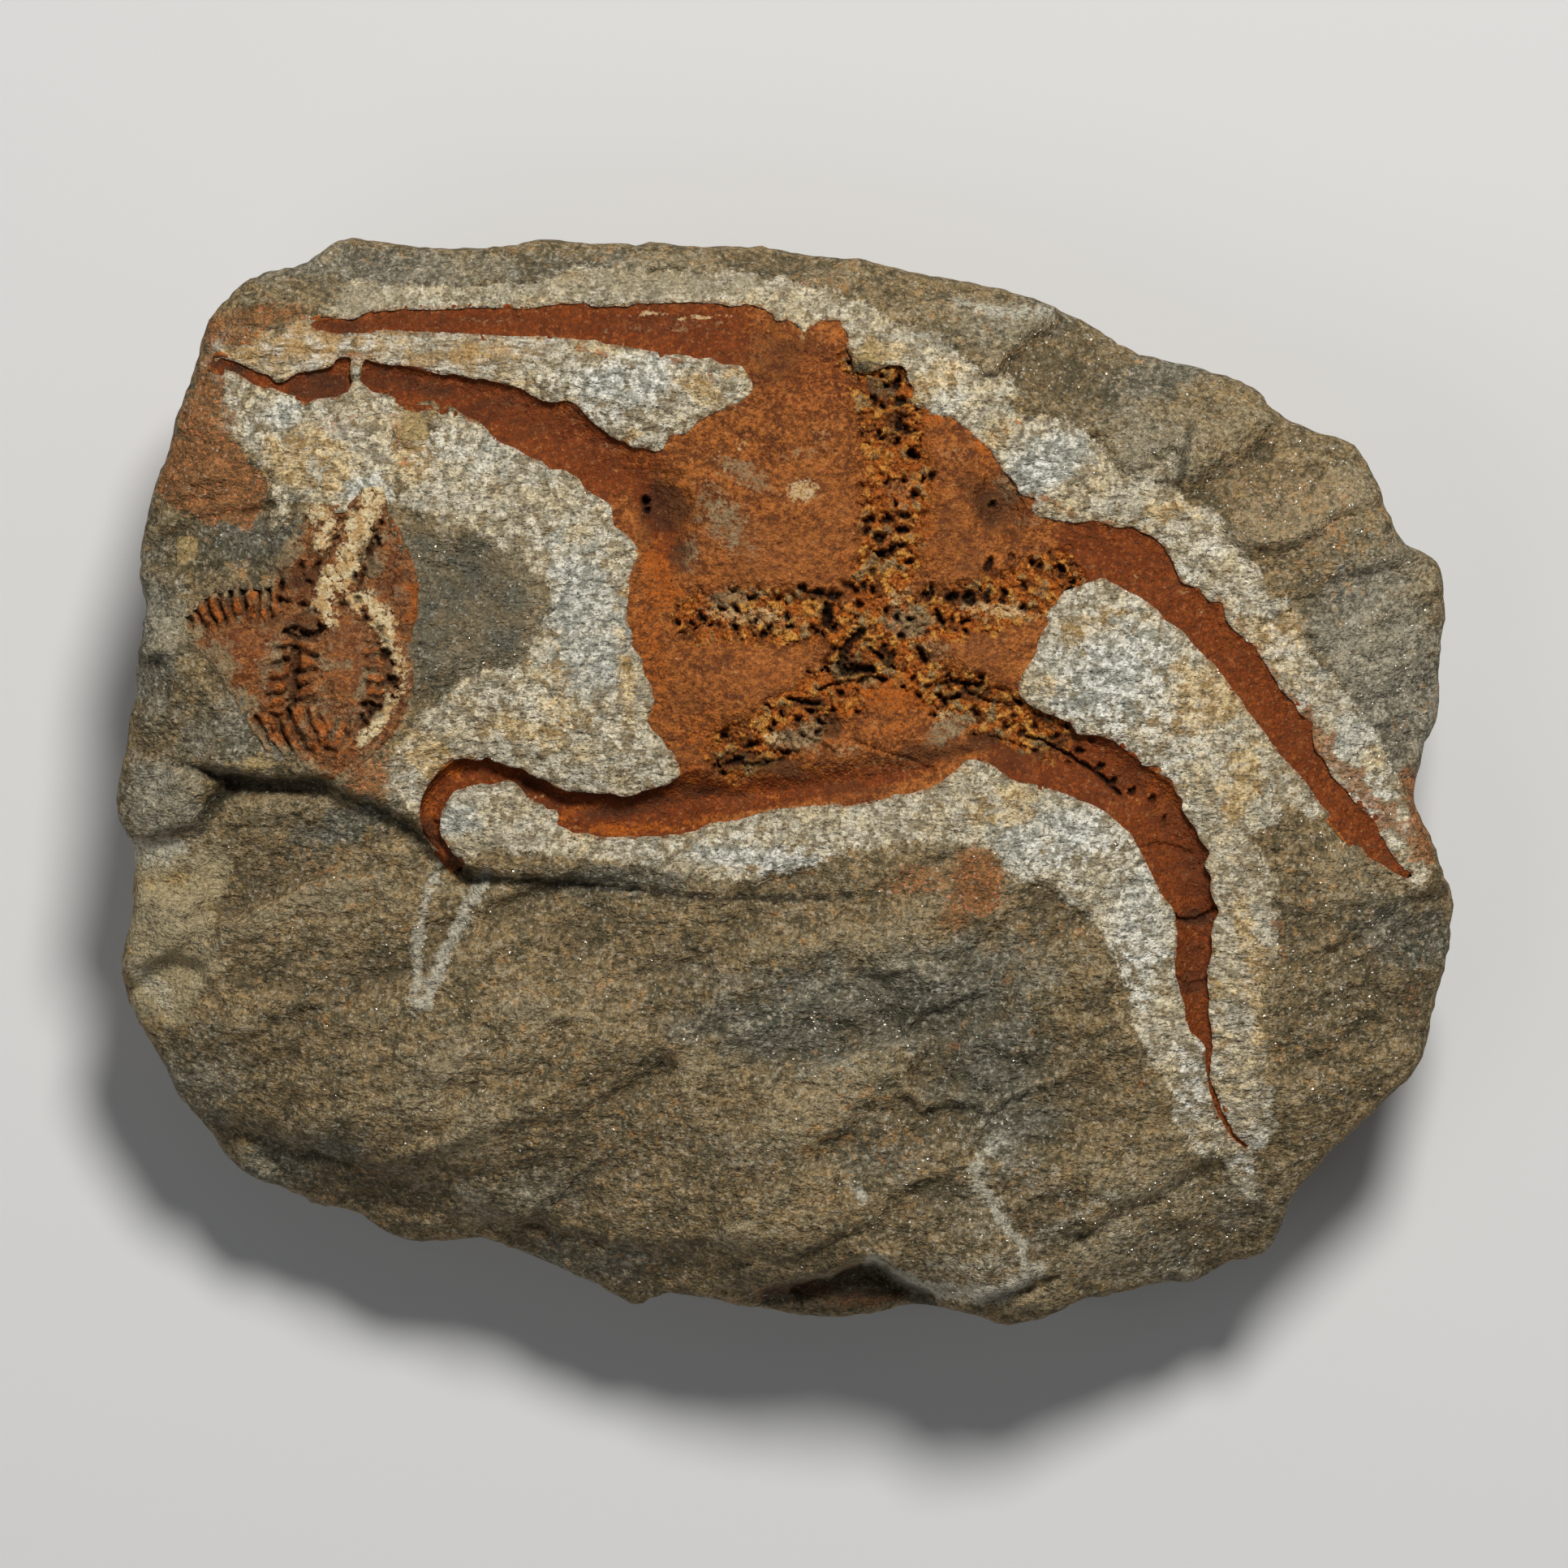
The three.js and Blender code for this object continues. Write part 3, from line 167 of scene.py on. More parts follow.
PREP = [
    [(545, 985), (600, 965), (640, 990), (700, 1022), (760, 1038), (850, 1035), (900, 1020), (900, 1078), (800, 1070), (700, 1056), (600, 1046), (556, 1046)],
    [(731, 325), (749, 330), (762, 326), (780, 336), (835, 328), (853, 335), (907, 332), (928, 341), (958, 339), (1014, 355), (1071, 375), (1096, 391), (1149, 412), (1208, 454), (1242, 464), (1261, 490), (1236, 491), (1242, 502), (1265, 516), (1283, 512), (1302, 515), (1337, 529), (1379, 577), (1405, 586), (1419, 565), (1446, 555), (1449, 564), (1443, 581), (1429, 590), (1437, 593), (1463, 618), (1485, 627), (1508, 647), (1524, 671), (1547, 692), (1569, 734), (1589, 740), (1611, 800), (1628, 822), (1646, 830), (1668, 862), (1690, 900), (1712, 935), (1724, 958), (1731, 966), (1719, 970), (1752, 1044), (1750, 1069), (1736, 1065), (1722, 1045), (1705, 1032), (1697, 995), (1683, 991), (1679, 1002), (1667, 998), (1663, 967), (1646, 954), (1626, 921), (1628, 891), (1607, 875), (1550, 794), (1518, 763), (1508, 741), (1479, 720), (1459, 713), (1451, 687), (1433, 664), (1398, 644), (1373, 644), (1347, 634), (1320, 639), (1285, 629), (1282, 624), (1286, 611), (1263, 602), (1221, 549), (1180, 512), (1161, 501), (1122, 451), (1064, 411), (1052, 407), (1036, 390), (1018, 387), (987, 395), (961, 387), (931, 370), (890, 367), (832, 368), (766, 377), (688, 372), (641, 381), (586, 376), (544, 380), (487, 378), (442, 386), (416, 373), (413, 365), (430, 346), (587, 355), (687, 342), (707, 328)],
    [(268, 466), (286, 469), (306, 481), (350, 496), (372, 521), (424, 494), (452, 491), (476, 507), (478, 521), (490, 545), (512, 548), (534, 530), (561, 529), (576, 543), (592, 544), (612, 558), (633, 562), (673, 585), (694, 590), (721, 617), (738, 625), (745, 647), (764, 661), (777, 684), (768, 711), (767, 790), (784, 817), (795, 849), (794, 894), (813, 924), (823, 933), (822, 945), (802, 957), (781, 957), (769, 967), (729, 966), (680, 950), (667, 932), (649, 936), (615, 922), (570, 919), (542, 933), (503, 987), (478, 981), (473, 972), (473, 948), (483, 929), (495, 920), (515, 893), (524, 874), (538, 869), (547, 853), (595, 828), (627, 828), (646, 813), (677, 744), (673, 711), (652, 699), (635, 677), (611, 677), (591, 650), (570, 646), (548, 648), (515, 628), (493, 625), (495, 591), (486, 582), (483, 588), (489, 601), (483, 618), (456, 638), (430, 690), (407, 690), (406, 679), (417, 658), (395, 654), (389, 630), (376, 613), (357, 614), (352, 625), (352, 646), (330, 654), (338, 625), (333, 606), (336, 587), (268, 520), (267, 509), (281, 482), (268, 472)],
    [(1197, 943), (1254, 975), (1308, 986), (1326, 1001), (1350, 1000), (1387, 1032), (1405, 1067), (1407, 1081), (1418, 1094), (1421, 1111), (1437, 1126), (1440, 1216), (1453, 1260), (1460, 1275), (1473, 1289), (1487, 1351), (1509, 1399), (1547, 1446), (1549, 1458), (1544, 1473), (1535, 1471), (1516, 1449), (1507, 1423), (1473, 1423), (1461, 1417), (1460, 1399), (1444, 1369), (1446, 1350), (1407, 1288), (1406, 1271), (1394, 1255), (1391, 1233), (1396, 1220), (1378, 1195), (1364, 1154), (1349, 1140), (1340, 1123), (1305, 1106), (1297, 1090), (1260, 1085), (1236, 1072), (1223, 1040), (1202, 1047), (1172, 1037), (1117, 1036), (1091, 1047), (1076, 1042), (1052, 1046), (1038, 1055), (1022, 1053), (1007, 1066), (953, 1077), (932, 1087), (900, 1087), (864, 1081), (857, 1065), (831, 1049), (835, 1045), (867, 1045), (878, 1030), (891, 1022), (950, 1007), (973, 1008), (992, 1001), (1056, 997), (1157, 980)],
    [(1352, 722), (1378, 730), (1405, 745), (1450, 783), (1463, 802), (1491, 823), (1515, 860), (1613, 984), (1614, 992), (1609, 996), (1584, 992), (1574, 1012), (1541, 1033), (1554, 1047), (1560, 1067), (1579, 1082), (1563, 1114), (1580, 1141), (1577, 1160), (1572, 1173), (1560, 1186), (1552, 1209), (1557, 1235), (1551, 1251), (1560, 1270), (1557, 1319), (1566, 1344), (1567, 1369), (1578, 1385), (1571, 1398), (1547, 1404), (1525, 1390), (1518, 1382), (1510, 1355), (1517, 1336), (1505, 1329), (1501, 1319), (1497, 1191), (1509, 1144), (1527, 1127), (1522, 1116), (1502, 1101), (1500, 1058), (1492, 1028), (1469, 1001), (1459, 963), (1427, 938), (1413, 934), (1402, 923), (1349, 892), (1283, 868), (1262, 853), (1308, 742), (1320, 732)],
    [(480, 409), (502, 415), (524, 411), (615, 421), (652, 416), (771, 423), (809, 429), (823, 438), (840, 438), (856, 449), (876, 447), (887, 456), (882, 470), (902, 454), (911, 453), (920, 476), (911, 487), (883, 499), (858, 499), (847, 522), (821, 534), (808, 550), (782, 553), (746, 536), (707, 494), (693, 493), (677, 498), (643, 473), (629, 474), (609, 465), (562, 457), (547, 458), (516, 446), (464, 436), (454, 425), (467, 413)],
    [(285, 395), (339, 413), (362, 406), (420, 427), (403, 433), (395, 444), (354, 452), (339, 443), (315, 450), (291, 437), (296, 421), (290, 411), (282, 407), (273, 419), (268, 417), (270, 410)],
    [(586, 979), (596, 981), (593, 992), (598, 996), (616, 992), (635, 996), (659, 1023), (664, 1036), (632, 1044), (610, 1030), (595, 1034), (584, 1023), (566, 1025), (557, 1015), (558, 1002)],
]
LEVELS = [
    (300, 345, 26.5), (415, 293, 24.5), (560, 305, 24.3), (680, 295, 24), (820, 300, 24), (960, 305, 24), (1080, 322, 24),
    (1230, 355, 23.5), (1330, 395, 23.5), (1430, 440, 23.3), (1530, 465, 23.5), (350, 375, 28.8), (500, 370, 29.5), (650, 350, 29),
    (800, 350, 29), (950, 355, 29), (1080, 390, 29.3), (1180, 440, 29.3), (1280, 500, 29), (1380, 550, 28.2), (1460, 560, 27.4),
    (250, 450, 28.2), (480, 455, 29.8), (650, 450, 30.1), (850, 480, 30.3), (980, 480, 30.2), (1100, 520, 30), (760, 600, 30.3),
    (930, 620, 30.5), (1300, 640, 29.4), (700, 740, 30.4), (850, 380, 29.6), (400, 560, 30), (300, 650, 29.6), (600, 740, 30.3),
    (450, 900, 30.2), (700, 900, 30.1), (1040, 700, 30), (1000, 900, 30.2), (1150, 1000, 30), (1250, 600, 29.7), (1400, 800, 29.6),
    (1500, 900, 29), (1550, 700, 27.8), (1600, 600, 26.5), (1690, 620, 24.5), (1700, 760, 25), (1775, 760, 23), (1650, 900, 27),
    (1750, 900, 24), (1762, 1060, 24.5), (1600, 1050, 28), (1700, 1150, 25.5), (1785, 1150, 22.5), (1600, 1250, 26.5), (1740, 1300, 22.5),
    (1500, 1150, 28.8), (1540, 1400, 25), (1650, 1400, 22.3), (1590, 1480, 20.5), (1450, 1300, 28), (190, 600, 26.5), (172, 750, 26.5),
    (158, 900, 27), (230, 800, 28.8), (200, 1060, 24), (158, 1150, 21.5), (350, 1080, 25.5), (300, 1250, 23.5), (180, 1280, 19.5),
    (230, 1375, 16.5), (300, 1440, 15.2), (450, 1100, 26.2), (600, 1180, 27), (500, 1300, 25), (450, 1420, 21.8), (420, 1480, 15.8),
    (600, 1450, 22.8), (600, 1530, 16), (800, 1150, 28), (800, 1300, 26.5), (800, 1450, 24.6), (790, 1606, 15.8), (1000, 1180, 28.6),
    (1000, 1350, 26.8), (1000, 1500, 24.8), (900, 1603, 16.8), (1040, 1540, 23), (1130, 1608, 15.5), (1200, 1150, 29), (1200, 1350, 27.5),
    (1200, 1500, 25.2), (1245, 1634, 20), (1200, 1570, 24.6), (1290, 1560, 24), (900, 1545, 22.6), (1350, 1200, 28.8), (1350, 1400, 26.5),
    (1380, 1550, 21.8), (1480, 1575, 17.6), (1480, 1450, 22.5), (1560, 540, 25),
]
LEDGES = [   # line, height on the left of travel, half width of the cliff, reach
    ([(130, 938), (190, 940), (240, 946), (268, 950), (300, 957), (350, 960), (395, 962), (425, 978), (465, 991), (505, 1016), (530, 1040), (548, 1060), (580, 1079), (620, 1079), (760, 1089), (870, 1106), (1045, 1103)], [0.0, 0.2, 1.0, 2.2, 3.2, 3.4, 3.4, 3.4, 3.2, 3, 2.8, 2.6, 2.4, 2.2, 1.6, 0.8, 0.2], 0.45, 6.5),   # main
    ([(925, 1600), (945, 1590), (985, 1577), (1030, 1569), (1046, 1556), (1078, 1551), (1092, 1563), (1120, 1583), (1155, 1600), (1185, 1612)], [1.5, 4, 6, 7, 8, 8, 7, 6, 4, 2], 0.35, 5),   # notch
    ([(1205, 1612), (1235, 1602), (1275, 1580), (1302, 1560), (1320, 1530), (1350, 1511), (1372, 1489), (1402, 1480), (1440, 1461), (1480, 1437), (1512, 1430), (1548, 1424)], [2, 2.6, 2.2, 1.1, 1.6, 2.4, 1.0, 1.7, 0.9, 1.5, 0.7, 0.1], 0.55, 3.2),   # lower right slope
    ([(1560, 1225), (1590, 1190), (1700, 1130), (1788, 1090)], [0.4, 1.2, 1.2, 1], 0.9, 5),   # right face
    ([(1472, 520), (1458, 560), (1452, 610)], [1.3, 1.3, 0.4], 0.4, 4),   # step right
    ([(1600, 742), (1650, 712), (1700, 698), (1778, 682)], [0.6, 1.5, 1.6, 1.2], 0.5, 5),   # scallop
    ([(560, 1412), (700, 1372), (850, 1292), (1000, 1187)], [1.3, 1.7, 1.6, 0.5], 1.4, 7),   # brow
    ([(235, 1362), (285, 1382), (345, 1400), (420, 1420), (500, 1452), (565, 1478)], [1.2, 2.4, 2.6, 2.2, 1.8, 0.6], 0.9, 4),   # toe left
    ([(140, 1052), (185, 1036), (235, 1019), (262, 992), (276, 962)], [1.4, 1.9, 2.1, 1.9, 0.6], 0.5, 3),   # knob foot
    ([(330, 1008), (400, 1026), (460, 1041), (515, 1064)], [0.4, 1.5, 1.7, 0.5], 1.6, 4),   # hollow under the ledge
    ([(620, 1440), (700, 1420), (800, 1400), (880, 1430)], [0.4, 1, 1, 0.3], 0.5, 3),
    ([(640, 1500), (760, 1535), (860, 1530)], [0.5, 1.1, 0.3], 0.5, 3),
    ([(1380, 1560), (1450, 1510), (1560, 1490)], [0.6, 1.2, 0.4], 0.5, 2.5),
    ([(1110, 1170), (1180, 1180), (1260, 1130)], [0.2, 0.8, 0.3], 0.4, 3),
    ([(1560, 1010), (1640, 1060), (1740, 1090)], [0, 0.7, 0.9], 0.6, 3),
    ([(1180, 1325), (1230, 1352), (1290, 1340)], [0.3, 0.8, 0.2], 0.4, 2.5),
    ([(430, 1345), (520, 1330), (600, 1345)], [0.2, 0.7, 0.2], 0.4, 2.5),
    ([(960, 1440), (1030, 1400), (1090, 1420)], [0.2, 0.9, 0.3], 0.4, 2.5),
    ([(250, 1290), (320, 1300), (400, 1285)], [0.2, 0.7, 0.2], 0.5, 3),
]
LOBE = [
    (253, 466), (259, 470), (264, 483), (247, 494), (251, 501), (259, 503), (265, 524), (296, 550), (301, 564),
    (332, 587), (326, 618), (307, 650), (279, 643), (254, 649), (243, 634), (207, 624), (190, 608), (211, 544),
    (228, 541), (218, 528), (219, 509), (231, 494), (247, 492), (247, 478),
]

# --------------------------------------------------------------- small tools
def smooth(a, b, x):
    t = np.clip((x - a) / (b - a), 0.0, 1.0)
    return t * t * (3 - 2 * t)


def _hash(ix, iy, iz, seed):
    h = (ix.astype(np.int64) * 374761393 + iy.astype(np.int64) * 668265263
         + iz.astype(np.int64) * 2147483647 + seed * 1274126177) & 0xFFFFFFFF
    h = ((h ^ (h >> 13)) * 1274126177) & 0xFFFFFFFF
    h = ((h ^ (h >> 16)) * 2246822519) & 0xFFFFFFFF
    return h ^ (h >> 15)


_G = np.array([[1, 1, 0], [-1, 1, 0], [1, -1, 0], [-1, -1, 0], [1, 0, 1], [-1, 0, 1], [1, 0, -1], [-1, 0, -1],
               [0, 1, 1], [0, -1, 1], [0, 1, -1], [0, -1, -1], [1, 1, 0], [-1, 1, 0], [0, -1, 1], [0, -1, -1]], float)


def noise(p, seed=0):
    """Gradient noise at points p (n, 3) in cells, about -1..1."""
    i = np.floor(p).astype(np.int64)
    f = p - i
    u = f * f * f * (f * (f * 6 - 15) + 10)
    out = 0.0
    for dx in (0, 1):
        wx = u[:, 0] if dx else 1 - u[:, 0]
        for dy in (0, 1):
            wy = u[:, 1] if dy else 1 - u[:, 1]
            for dz in (0, 1):
                wz = u[:, 2] if dz else 1 - u[:, 2]
                g = _G[_hash(i[:, 0] + dx, i[:, 1] + dy, i[:, 2] + dz, seed) & 15]
                d = f - np.array([dx, dy, dz])
                out = out + wx * wy * wz * np.einsum('ij,ij->i', g, d)
    return out * 1.1


def xyz(x, y, z=None):
    return np.stack([x, y, np.zeros_like(x) if z is None else z], 1)


def fbm(p, octaves=4, seed=0, gain=0.5, ridged=False):
    out, a, s = 0.0, 1.0, 0.0
    for k in range(octaves):
        n = noise(p * (2.03 ** k) + 17.3 * k, seed + 31 * k)
        if ridged:
            n = 1 - 2 * np.abs(n)
        out = out + a * n
        s += a
        a *= gain
    return out / s


def worley(x, y, cell, seed=0, jitter=0.9):
    """Distances (in cells) to the nearest and second-nearest seed, and a random id of the nearest."""
    X, Y = x / cell, y / cell
    ix, iy = np.floor(X).astype(np.int64), np.floor(Y).astype(np.int64)
    f1 = np.full(X.shape, 9.0); f2 = f1.copy(); rid = np.zeros(X.shape)
    for dx in (-1, 0, 1):
        for dy in (-1, 0, 1):
            h = _hash(ix + dx, iy + dy, iy * 0, seed)
            px = ix + dx + 0.5 + jitter * (((h & 1023) / 1023.0) - 0.5)
            py = iy + dy + 0.5 + jitter * ((((h >> 10) & 1023) / 1023.0) - 0.5)
            r = ((h >> 20) & 1023) / 1023.0
            d = np.hypot(X - px, Y - py)
            near = d < f1
            f2 = np.where(near, f1, np.minimum(f2, d))
            rid = np.where(near, r, rid)
            f1 = np.where(near, d, f1)
    return f1, f2, rid


def chips(x, y, cell, seed, slope):
    """Plane facets, each tilted its own way and bevelled where they meet."""
    X, Y = x / cell, y / cell
    ix, iy = np.floor(X).astype(np.int64), np.floor(Y).astype(np.int64)
    f1 = np.full(X.shape, 9.0); f2 = f1.copy(); out = np.zeros(X.shape)
    for dx in (-1, 0, 1):
        for dy in (-1, 0, 1):
            h = _hash(ix + dx, iy + dy, iy * 0, seed)
            px = ix + dx + 0.5 + 0.9 * (((h & 1023) / 1023.0) - 0.5)
            py = iy + dy + 0.5 + 0.9 * ((((h >> 10) & 1023) / 1023.0) - 0.5)
            a = 2 * math.pi * ((h >> 20) & 255) / 255.0
            g = slope * (0.25 + 0.75 * ((h >> 5) & 63) / 63.0)
            d = np.hypot(X - px, Y - py)
            near = d < f1
            f2 = np.where(near, f1, np.minimum(f2, d))
            out = np.where(near, ((X - px) * np.cos(a) + (Y - py) * np.sin(a)) * cell * g, out)
            f1 = np.where(near, d, f1)
    return out * smooth(0.0, 0.14, f2 - f1)


def on_line(x, y, line, vals=None, closed=False, chunk=6000):
    """Nearest point of a polyline: distance, side (+1 left), value there, run along it."""
    L = np.asarray(line, float)
    if closed:
        L = np.vstack([L, L[:1]])
    a, b = L[:-1], L[1:]
    u = b - a
    l2 = np.maximum((u * u).sum(1), 1e-12)
    run = np.r_[0, np.cumsum(np.sqrt(l2))]
    v = np.zeros(len(L)) if vals is None else np.asarray(vals, float)
    D = np.empty(len(x)); SD = np.empty(len(x)); V = np.empty(len(x)); R = np.empty(len(x))
    for s in range(0, len(x), chunk):
        X, Y = x[s:s + chunk, None], y[s:s + chunk, None]
        wx, wy = X - a[:, 0], Y - a[:, 1]
        t = np.clip((wx * u[:, 0] + wy * u[:, 1]) / l2, 0, 1)
        ex, ey = wx - t * u[:, 0], wy - t * u[:, 1]
        d2 = ex * ex + ey * ey
        k = np.argmin(d2, 1); r = np.arange(len(k))
        D[s:s + chunk] = np.sqrt(d2[r, k])
        SD[s:s + chunk] = np.where(u[k, 0] * wy[r, k] - u[k, 1] * wx[r, k] >= 0, 1, -1)
        V[s:s + chunk] = v[k] + t[r, k] * (v[k + 1] - v[k])
        R[s:s + chunk] = run[k] + t[r, k] * np.sqrt(l2[k])
    return D, SD, V, R


def inside(x, y, poly, chunk=6000):
    P = np.asarray(poly, float)
    x0, y0 = P[:, 0], P[:, 1]
    x1, y1 = np.roll(x0, -1), np.roll(y0, -1)
    out = np.zeros(len(x), bool)
    for s in range(0, len(x), chunk):
        X, Y = x[s:s + chunk, None], y[s:s + chunk, None]
        c = ((y0 > Y) != (y1 > Y)) & (X < (x1 - x0) * (Y - y0) / (y1 - y0 + 1e-30) + x0)
        out[s:s + chunk] = (c.sum(1) % 2) == 1
    return out


def signed(x, y, poly):
    """Distance to a closed outline, positive inside."""
    d = on_line(x, y, poly, closed=True)[0]
    return np.where(inside(x, y, poly), d, -d)


def resample(poly, step, closed=True):
    P = np.asarray(poly, float)
    if closed:
        P = np.vstack([P, P[:1]])
    seg = np.hypot(*np.diff(P, axis=0).T)
    s = np.r_[0, np.cumsum(seg)]
    n = max(3, int(round(s[-1] / step)))
    q = np.linspace(0, s[-1], n + 1)
    if closed:
        q = q[:-1]
    return np.stack([np.interp(q, s, P[:, 0]), np.interp(q, s, P[:, 1])], 1)


def soften(poly, rounds=1, w=0.25):
    P = np.asarray(poly, float)
    for _ in range(rounds):
        P = (1 - 2 * w) * P + w * (np.roll(P, 1, 0) + np.roll(P, -1, 0))
    return P


def normals2(poly):
    """Outward unit normals of a counter-clockwise loop."""
    P = np.asarray(poly, float)
    t = np.roll(P, -1, 0) - np.roll(P, 1, 0)
    n = np.stack([t[:, 1], -t[:, 0]], 1)
    return n / np.maximum(np.hypot(n[:, 0], n[:, 1]), 1e-9)[:, None]


def ccw(poly):
    P = np.asarray(poly, float)
    x, y = P[:, 0], P[:, 1]
    return P if (x * np.roll(y, -1) - np.roll(x, -1) * y).sum() > 0 else P[::-1]


# ------------------------------------------------------------- height field
def _tps():
    L = np.array(LEVELS, float)
    k = S * (1 - (L[:, 2] - ZREF) / DCAM)
    c = np.stack([(L[:, 0] - 966) * k - CX, (966 - L[:, 1]) * k - CY], 1)
    d2 = ((c[:, None] - c[None]) ** 2).sum(2)
    K = np.where(d2 > 0, 0.5 * d2 * np.log(np.maximum(d2, 1e-12)), 0) + 20.0 * np.eye(len(c))
    n = len(c)
    A = np.zeros((n + 3, n + 3))
    A[:n, :n] = K; A[:n, n] = 1; A[:n, n + 1:] = c; A[n, :n] = 1; A[n + 1:, :n] = c.T
    return c, np.linalg.solve(A, np.r_[L[:, 2], 0, 0, 0])


_C, _W = _tps()


def plate(x, y, chunk=20000):
    out = np.empty(len(x))
    for s in range(0, len(x), chunk):
        X, Y = x[s:s + chunk], y[s:s + chunk]
        d2 = (X[:, None] - _C[:, 0]) ** 2 + (Y[:, None] - _C[:, 1]) ** 2
        out[s:s + chunk] = (0.5 * d2 * np.log(np.maximum(d2, 1e-12))) @ _W[:-3] + _W[-3] + _W[-2] * X + _W[-1] * Y
    return out


def plan(pts, dz=0.0):
    P = np.asarray(pts, float).reshape(-1, 2)
    z = np.full(len(P), 28.0)
    for _ in range(3):
        k = S * (1 - (z - ZREF) / DCAM)
        x, y = (P[:, 0] - 966) * k - CX, (966 - P[:, 1]) * k - CY
        z = plate(x, y) + dz
    return np.stack([x, y], 1)


LEDGE_MM = [(plan(l), h, w, r) for l, h, w, r in LEDGES]


def ledges(x, y):
    z = np.zeros(len(x))
    for line, h, half, reach in LEDGE_MM:
        lo, hi = line.min(0) - 6 * reach, line.max(0) + 6 * reach
        m = (x > lo[0]) & (x < hi[0]) & (y > lo[1]) & (y < hi[1])
        if not m.any():
            continue
        # the cliff wanders a little
        wob = 0.35 * noise(xyz(x[m], y[m]) / 2.3, 5) + 0.15 * noise(xyz(x[m], y[m]) / 0.8, 6)
        d, sd, v, _ = on_line(x[m], y[m], line, h)
        q = d * sd + wob * np.exp(-d / 1.5)
        z[m] += 0.5 * v * np.tanh(q / half) * np.exp(-np.abs(q) / reach)
    return z


TRENCH, TRENCH_REACH, LIP = 0.8, 3.5, 0.06
OUT = ccw(plan(ROCK, -3.0))
STAR = ccw(plan(STAR_A, -0.9))
STARB = ccw(plan(STAR_B, -0.9))
PART = ccw(plan(PARTIAL, -0.3))
PREP_MM = [ccw(plan(p)) for p in PREP]


def blobs(x, y, items, rag=0.25, seed=3):
    """Soft ellipses given in plan coordinates: px, py, rx, ry, turn in degrees, strength."""
    P = xyz(x, y)
    wx = rag * (noise(P / 1.7, seed) + 0.5 * noise(P / 0.6, seed + 1))
    wy = rag * (noise(P / 1.7, seed + 2) + 0.5 * noise(P / 0.6, seed + 3))
    edge = 0.30 * noise(P / 2.4, seed + 4) + 0.24 * noise(P / 1.0, seed + 5) + 0.14 * noise(P / 0.42, seed + 6)
    out = np.zeros(len(x))
    for px, py, rx, ry, ang, st in items:
        c = plan([(px, py)])[0]
        a = math.radians(-ang)
        dx, dy = x + wx - c[0], y + wy - c[1]
        u = (dx * math.cos(a) - dy * math.sin(a)) / (rx * S)
        v = (dx * math.sin(a) + dy * math.cos(a)) / (ry * S)
        R = 1.8 * max(rx, ry) * S + 1
        m = (np.abs(x - c[0]) < R) & (np.abs(y - c[1]) < R)
        q = np.hypot(u[m], v[m]) + edge[m]
        out[m] = np.maximum(out[m], st * (1 - smooth(0.35, 1.3, q)))
    return out


# ------------------------------------------------------------ mesh building
def build(name, verts, tris, material, attrs=None, smooth_faces=True, crease=None):
    me = bpy.data.meshes.new(name)
    v = np.asarray(verts, np.float32) * 0.001
    v[:, 2] -= 0.75 * np.maximum(v[:, 2] - 0.03075, 0)
    f = np.asarray(tris, np.int32)
    me.vertices.add(len(v)); me.vertices.foreach_set('co', v.ravel())
    me.loops.add(3 * len(f)); me.loops.foreach_set('vertex_index', f.ravel())
    me.polygons.add(len(f)); me.polygons.foreach_set('loop_start', np.arange(0, 3 * len(f), 3, dtype=np.int32))
    me.update(calc_edges=True)
    me.polygons.foreach_set('use_smooth', np.full(len(f), smooth_faces))
    if crease is not None:                       # borders where the surface turns down at once
        on = np.zeros(len(v), bool); on[crease] = True
        e = np.empty(2 * len(me.edges), np.int32); me.edges.foreach_get('vertices', e)
        e = e.reshape(-1, 2)
        sh = me.attributes.new('sharp_edge', 'BOOLEAN', 'EDGE')
        sh.data.foreach_set('value', on[e].all(1))
    for k, a in (attrs or {}).items():
        at = me.attributes.new(k, 'FLOAT', 'POINT')
        at.data.foreach_set('value', np.asarray(a, np.float32))
    me.materials.append(material)
    ob = bpy.data.objects.new(name, me)
    bpy.context.scene.collection.objects.link(ob)
    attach(ob, 'root')
    return ob


def triangulate(loops, pts, keep):
    """Constrained triangulation of closed loops and free points.
    keep(cx, cy) says which all-boundary triangles are inside.
    Returns points, triangles (counter-clockwise) and the loops' vertex numbers."""
    allp, edges, ids = [], [], []
    for lp in loops:
        s = sum(len(a) for a in allp)
        n = len(lp)
        allp.append(lp)
        edges += [(s + i, s + (i + 1) % n) for i in range(n)]
        ids.append(np.arange(s, s + n))
    nb = sum(len(a) for a in allp)
    allp.append(pts)
    P = np.vstack(allp)
    ov, oe, of_, orig, _, _ = delaunay_2d_cdt([Vector(p) for p in P.tolist()], edges, [], 0, 1e-7, True)
    V = np.array([(v[0], v[1]) for v in ov])
    back = np.full(len(P), -1)
    isb = np.zeros(len(V), bool)
    for i, o in enumerate(orig):
        if not o:
            isb[i] = True
        for k in o:
            back[k] = i
            if k < nb:
                isb[i] = True
    T = np.array([f for f in of_ if len(f) == 3], np.int64)
    c = isb[T].all(1)
    cen = V[T[c]].mean(1)
    ok = np.ones(len(T), bool)
    ok[np.where(c)[0]] = keep(cen[:, 0], cen[:, 1])
    T = T[ok]
    a, b, d = V[T[:, 0]], V[T[:, 1]], V[T[:, 2]]
    area = (b[:, 0] - a[:, 0]) * (d[:, 1] - a[:, 1]) - (b[:, 1] - a[:, 1]) * (d[:, 0] - a[:, 0])
    T[area < 0] = T[area < 0][:, ::-1]
    T = T[np.abs(area) > 1e-9]
    return V, T, [back[i] for i in ids]


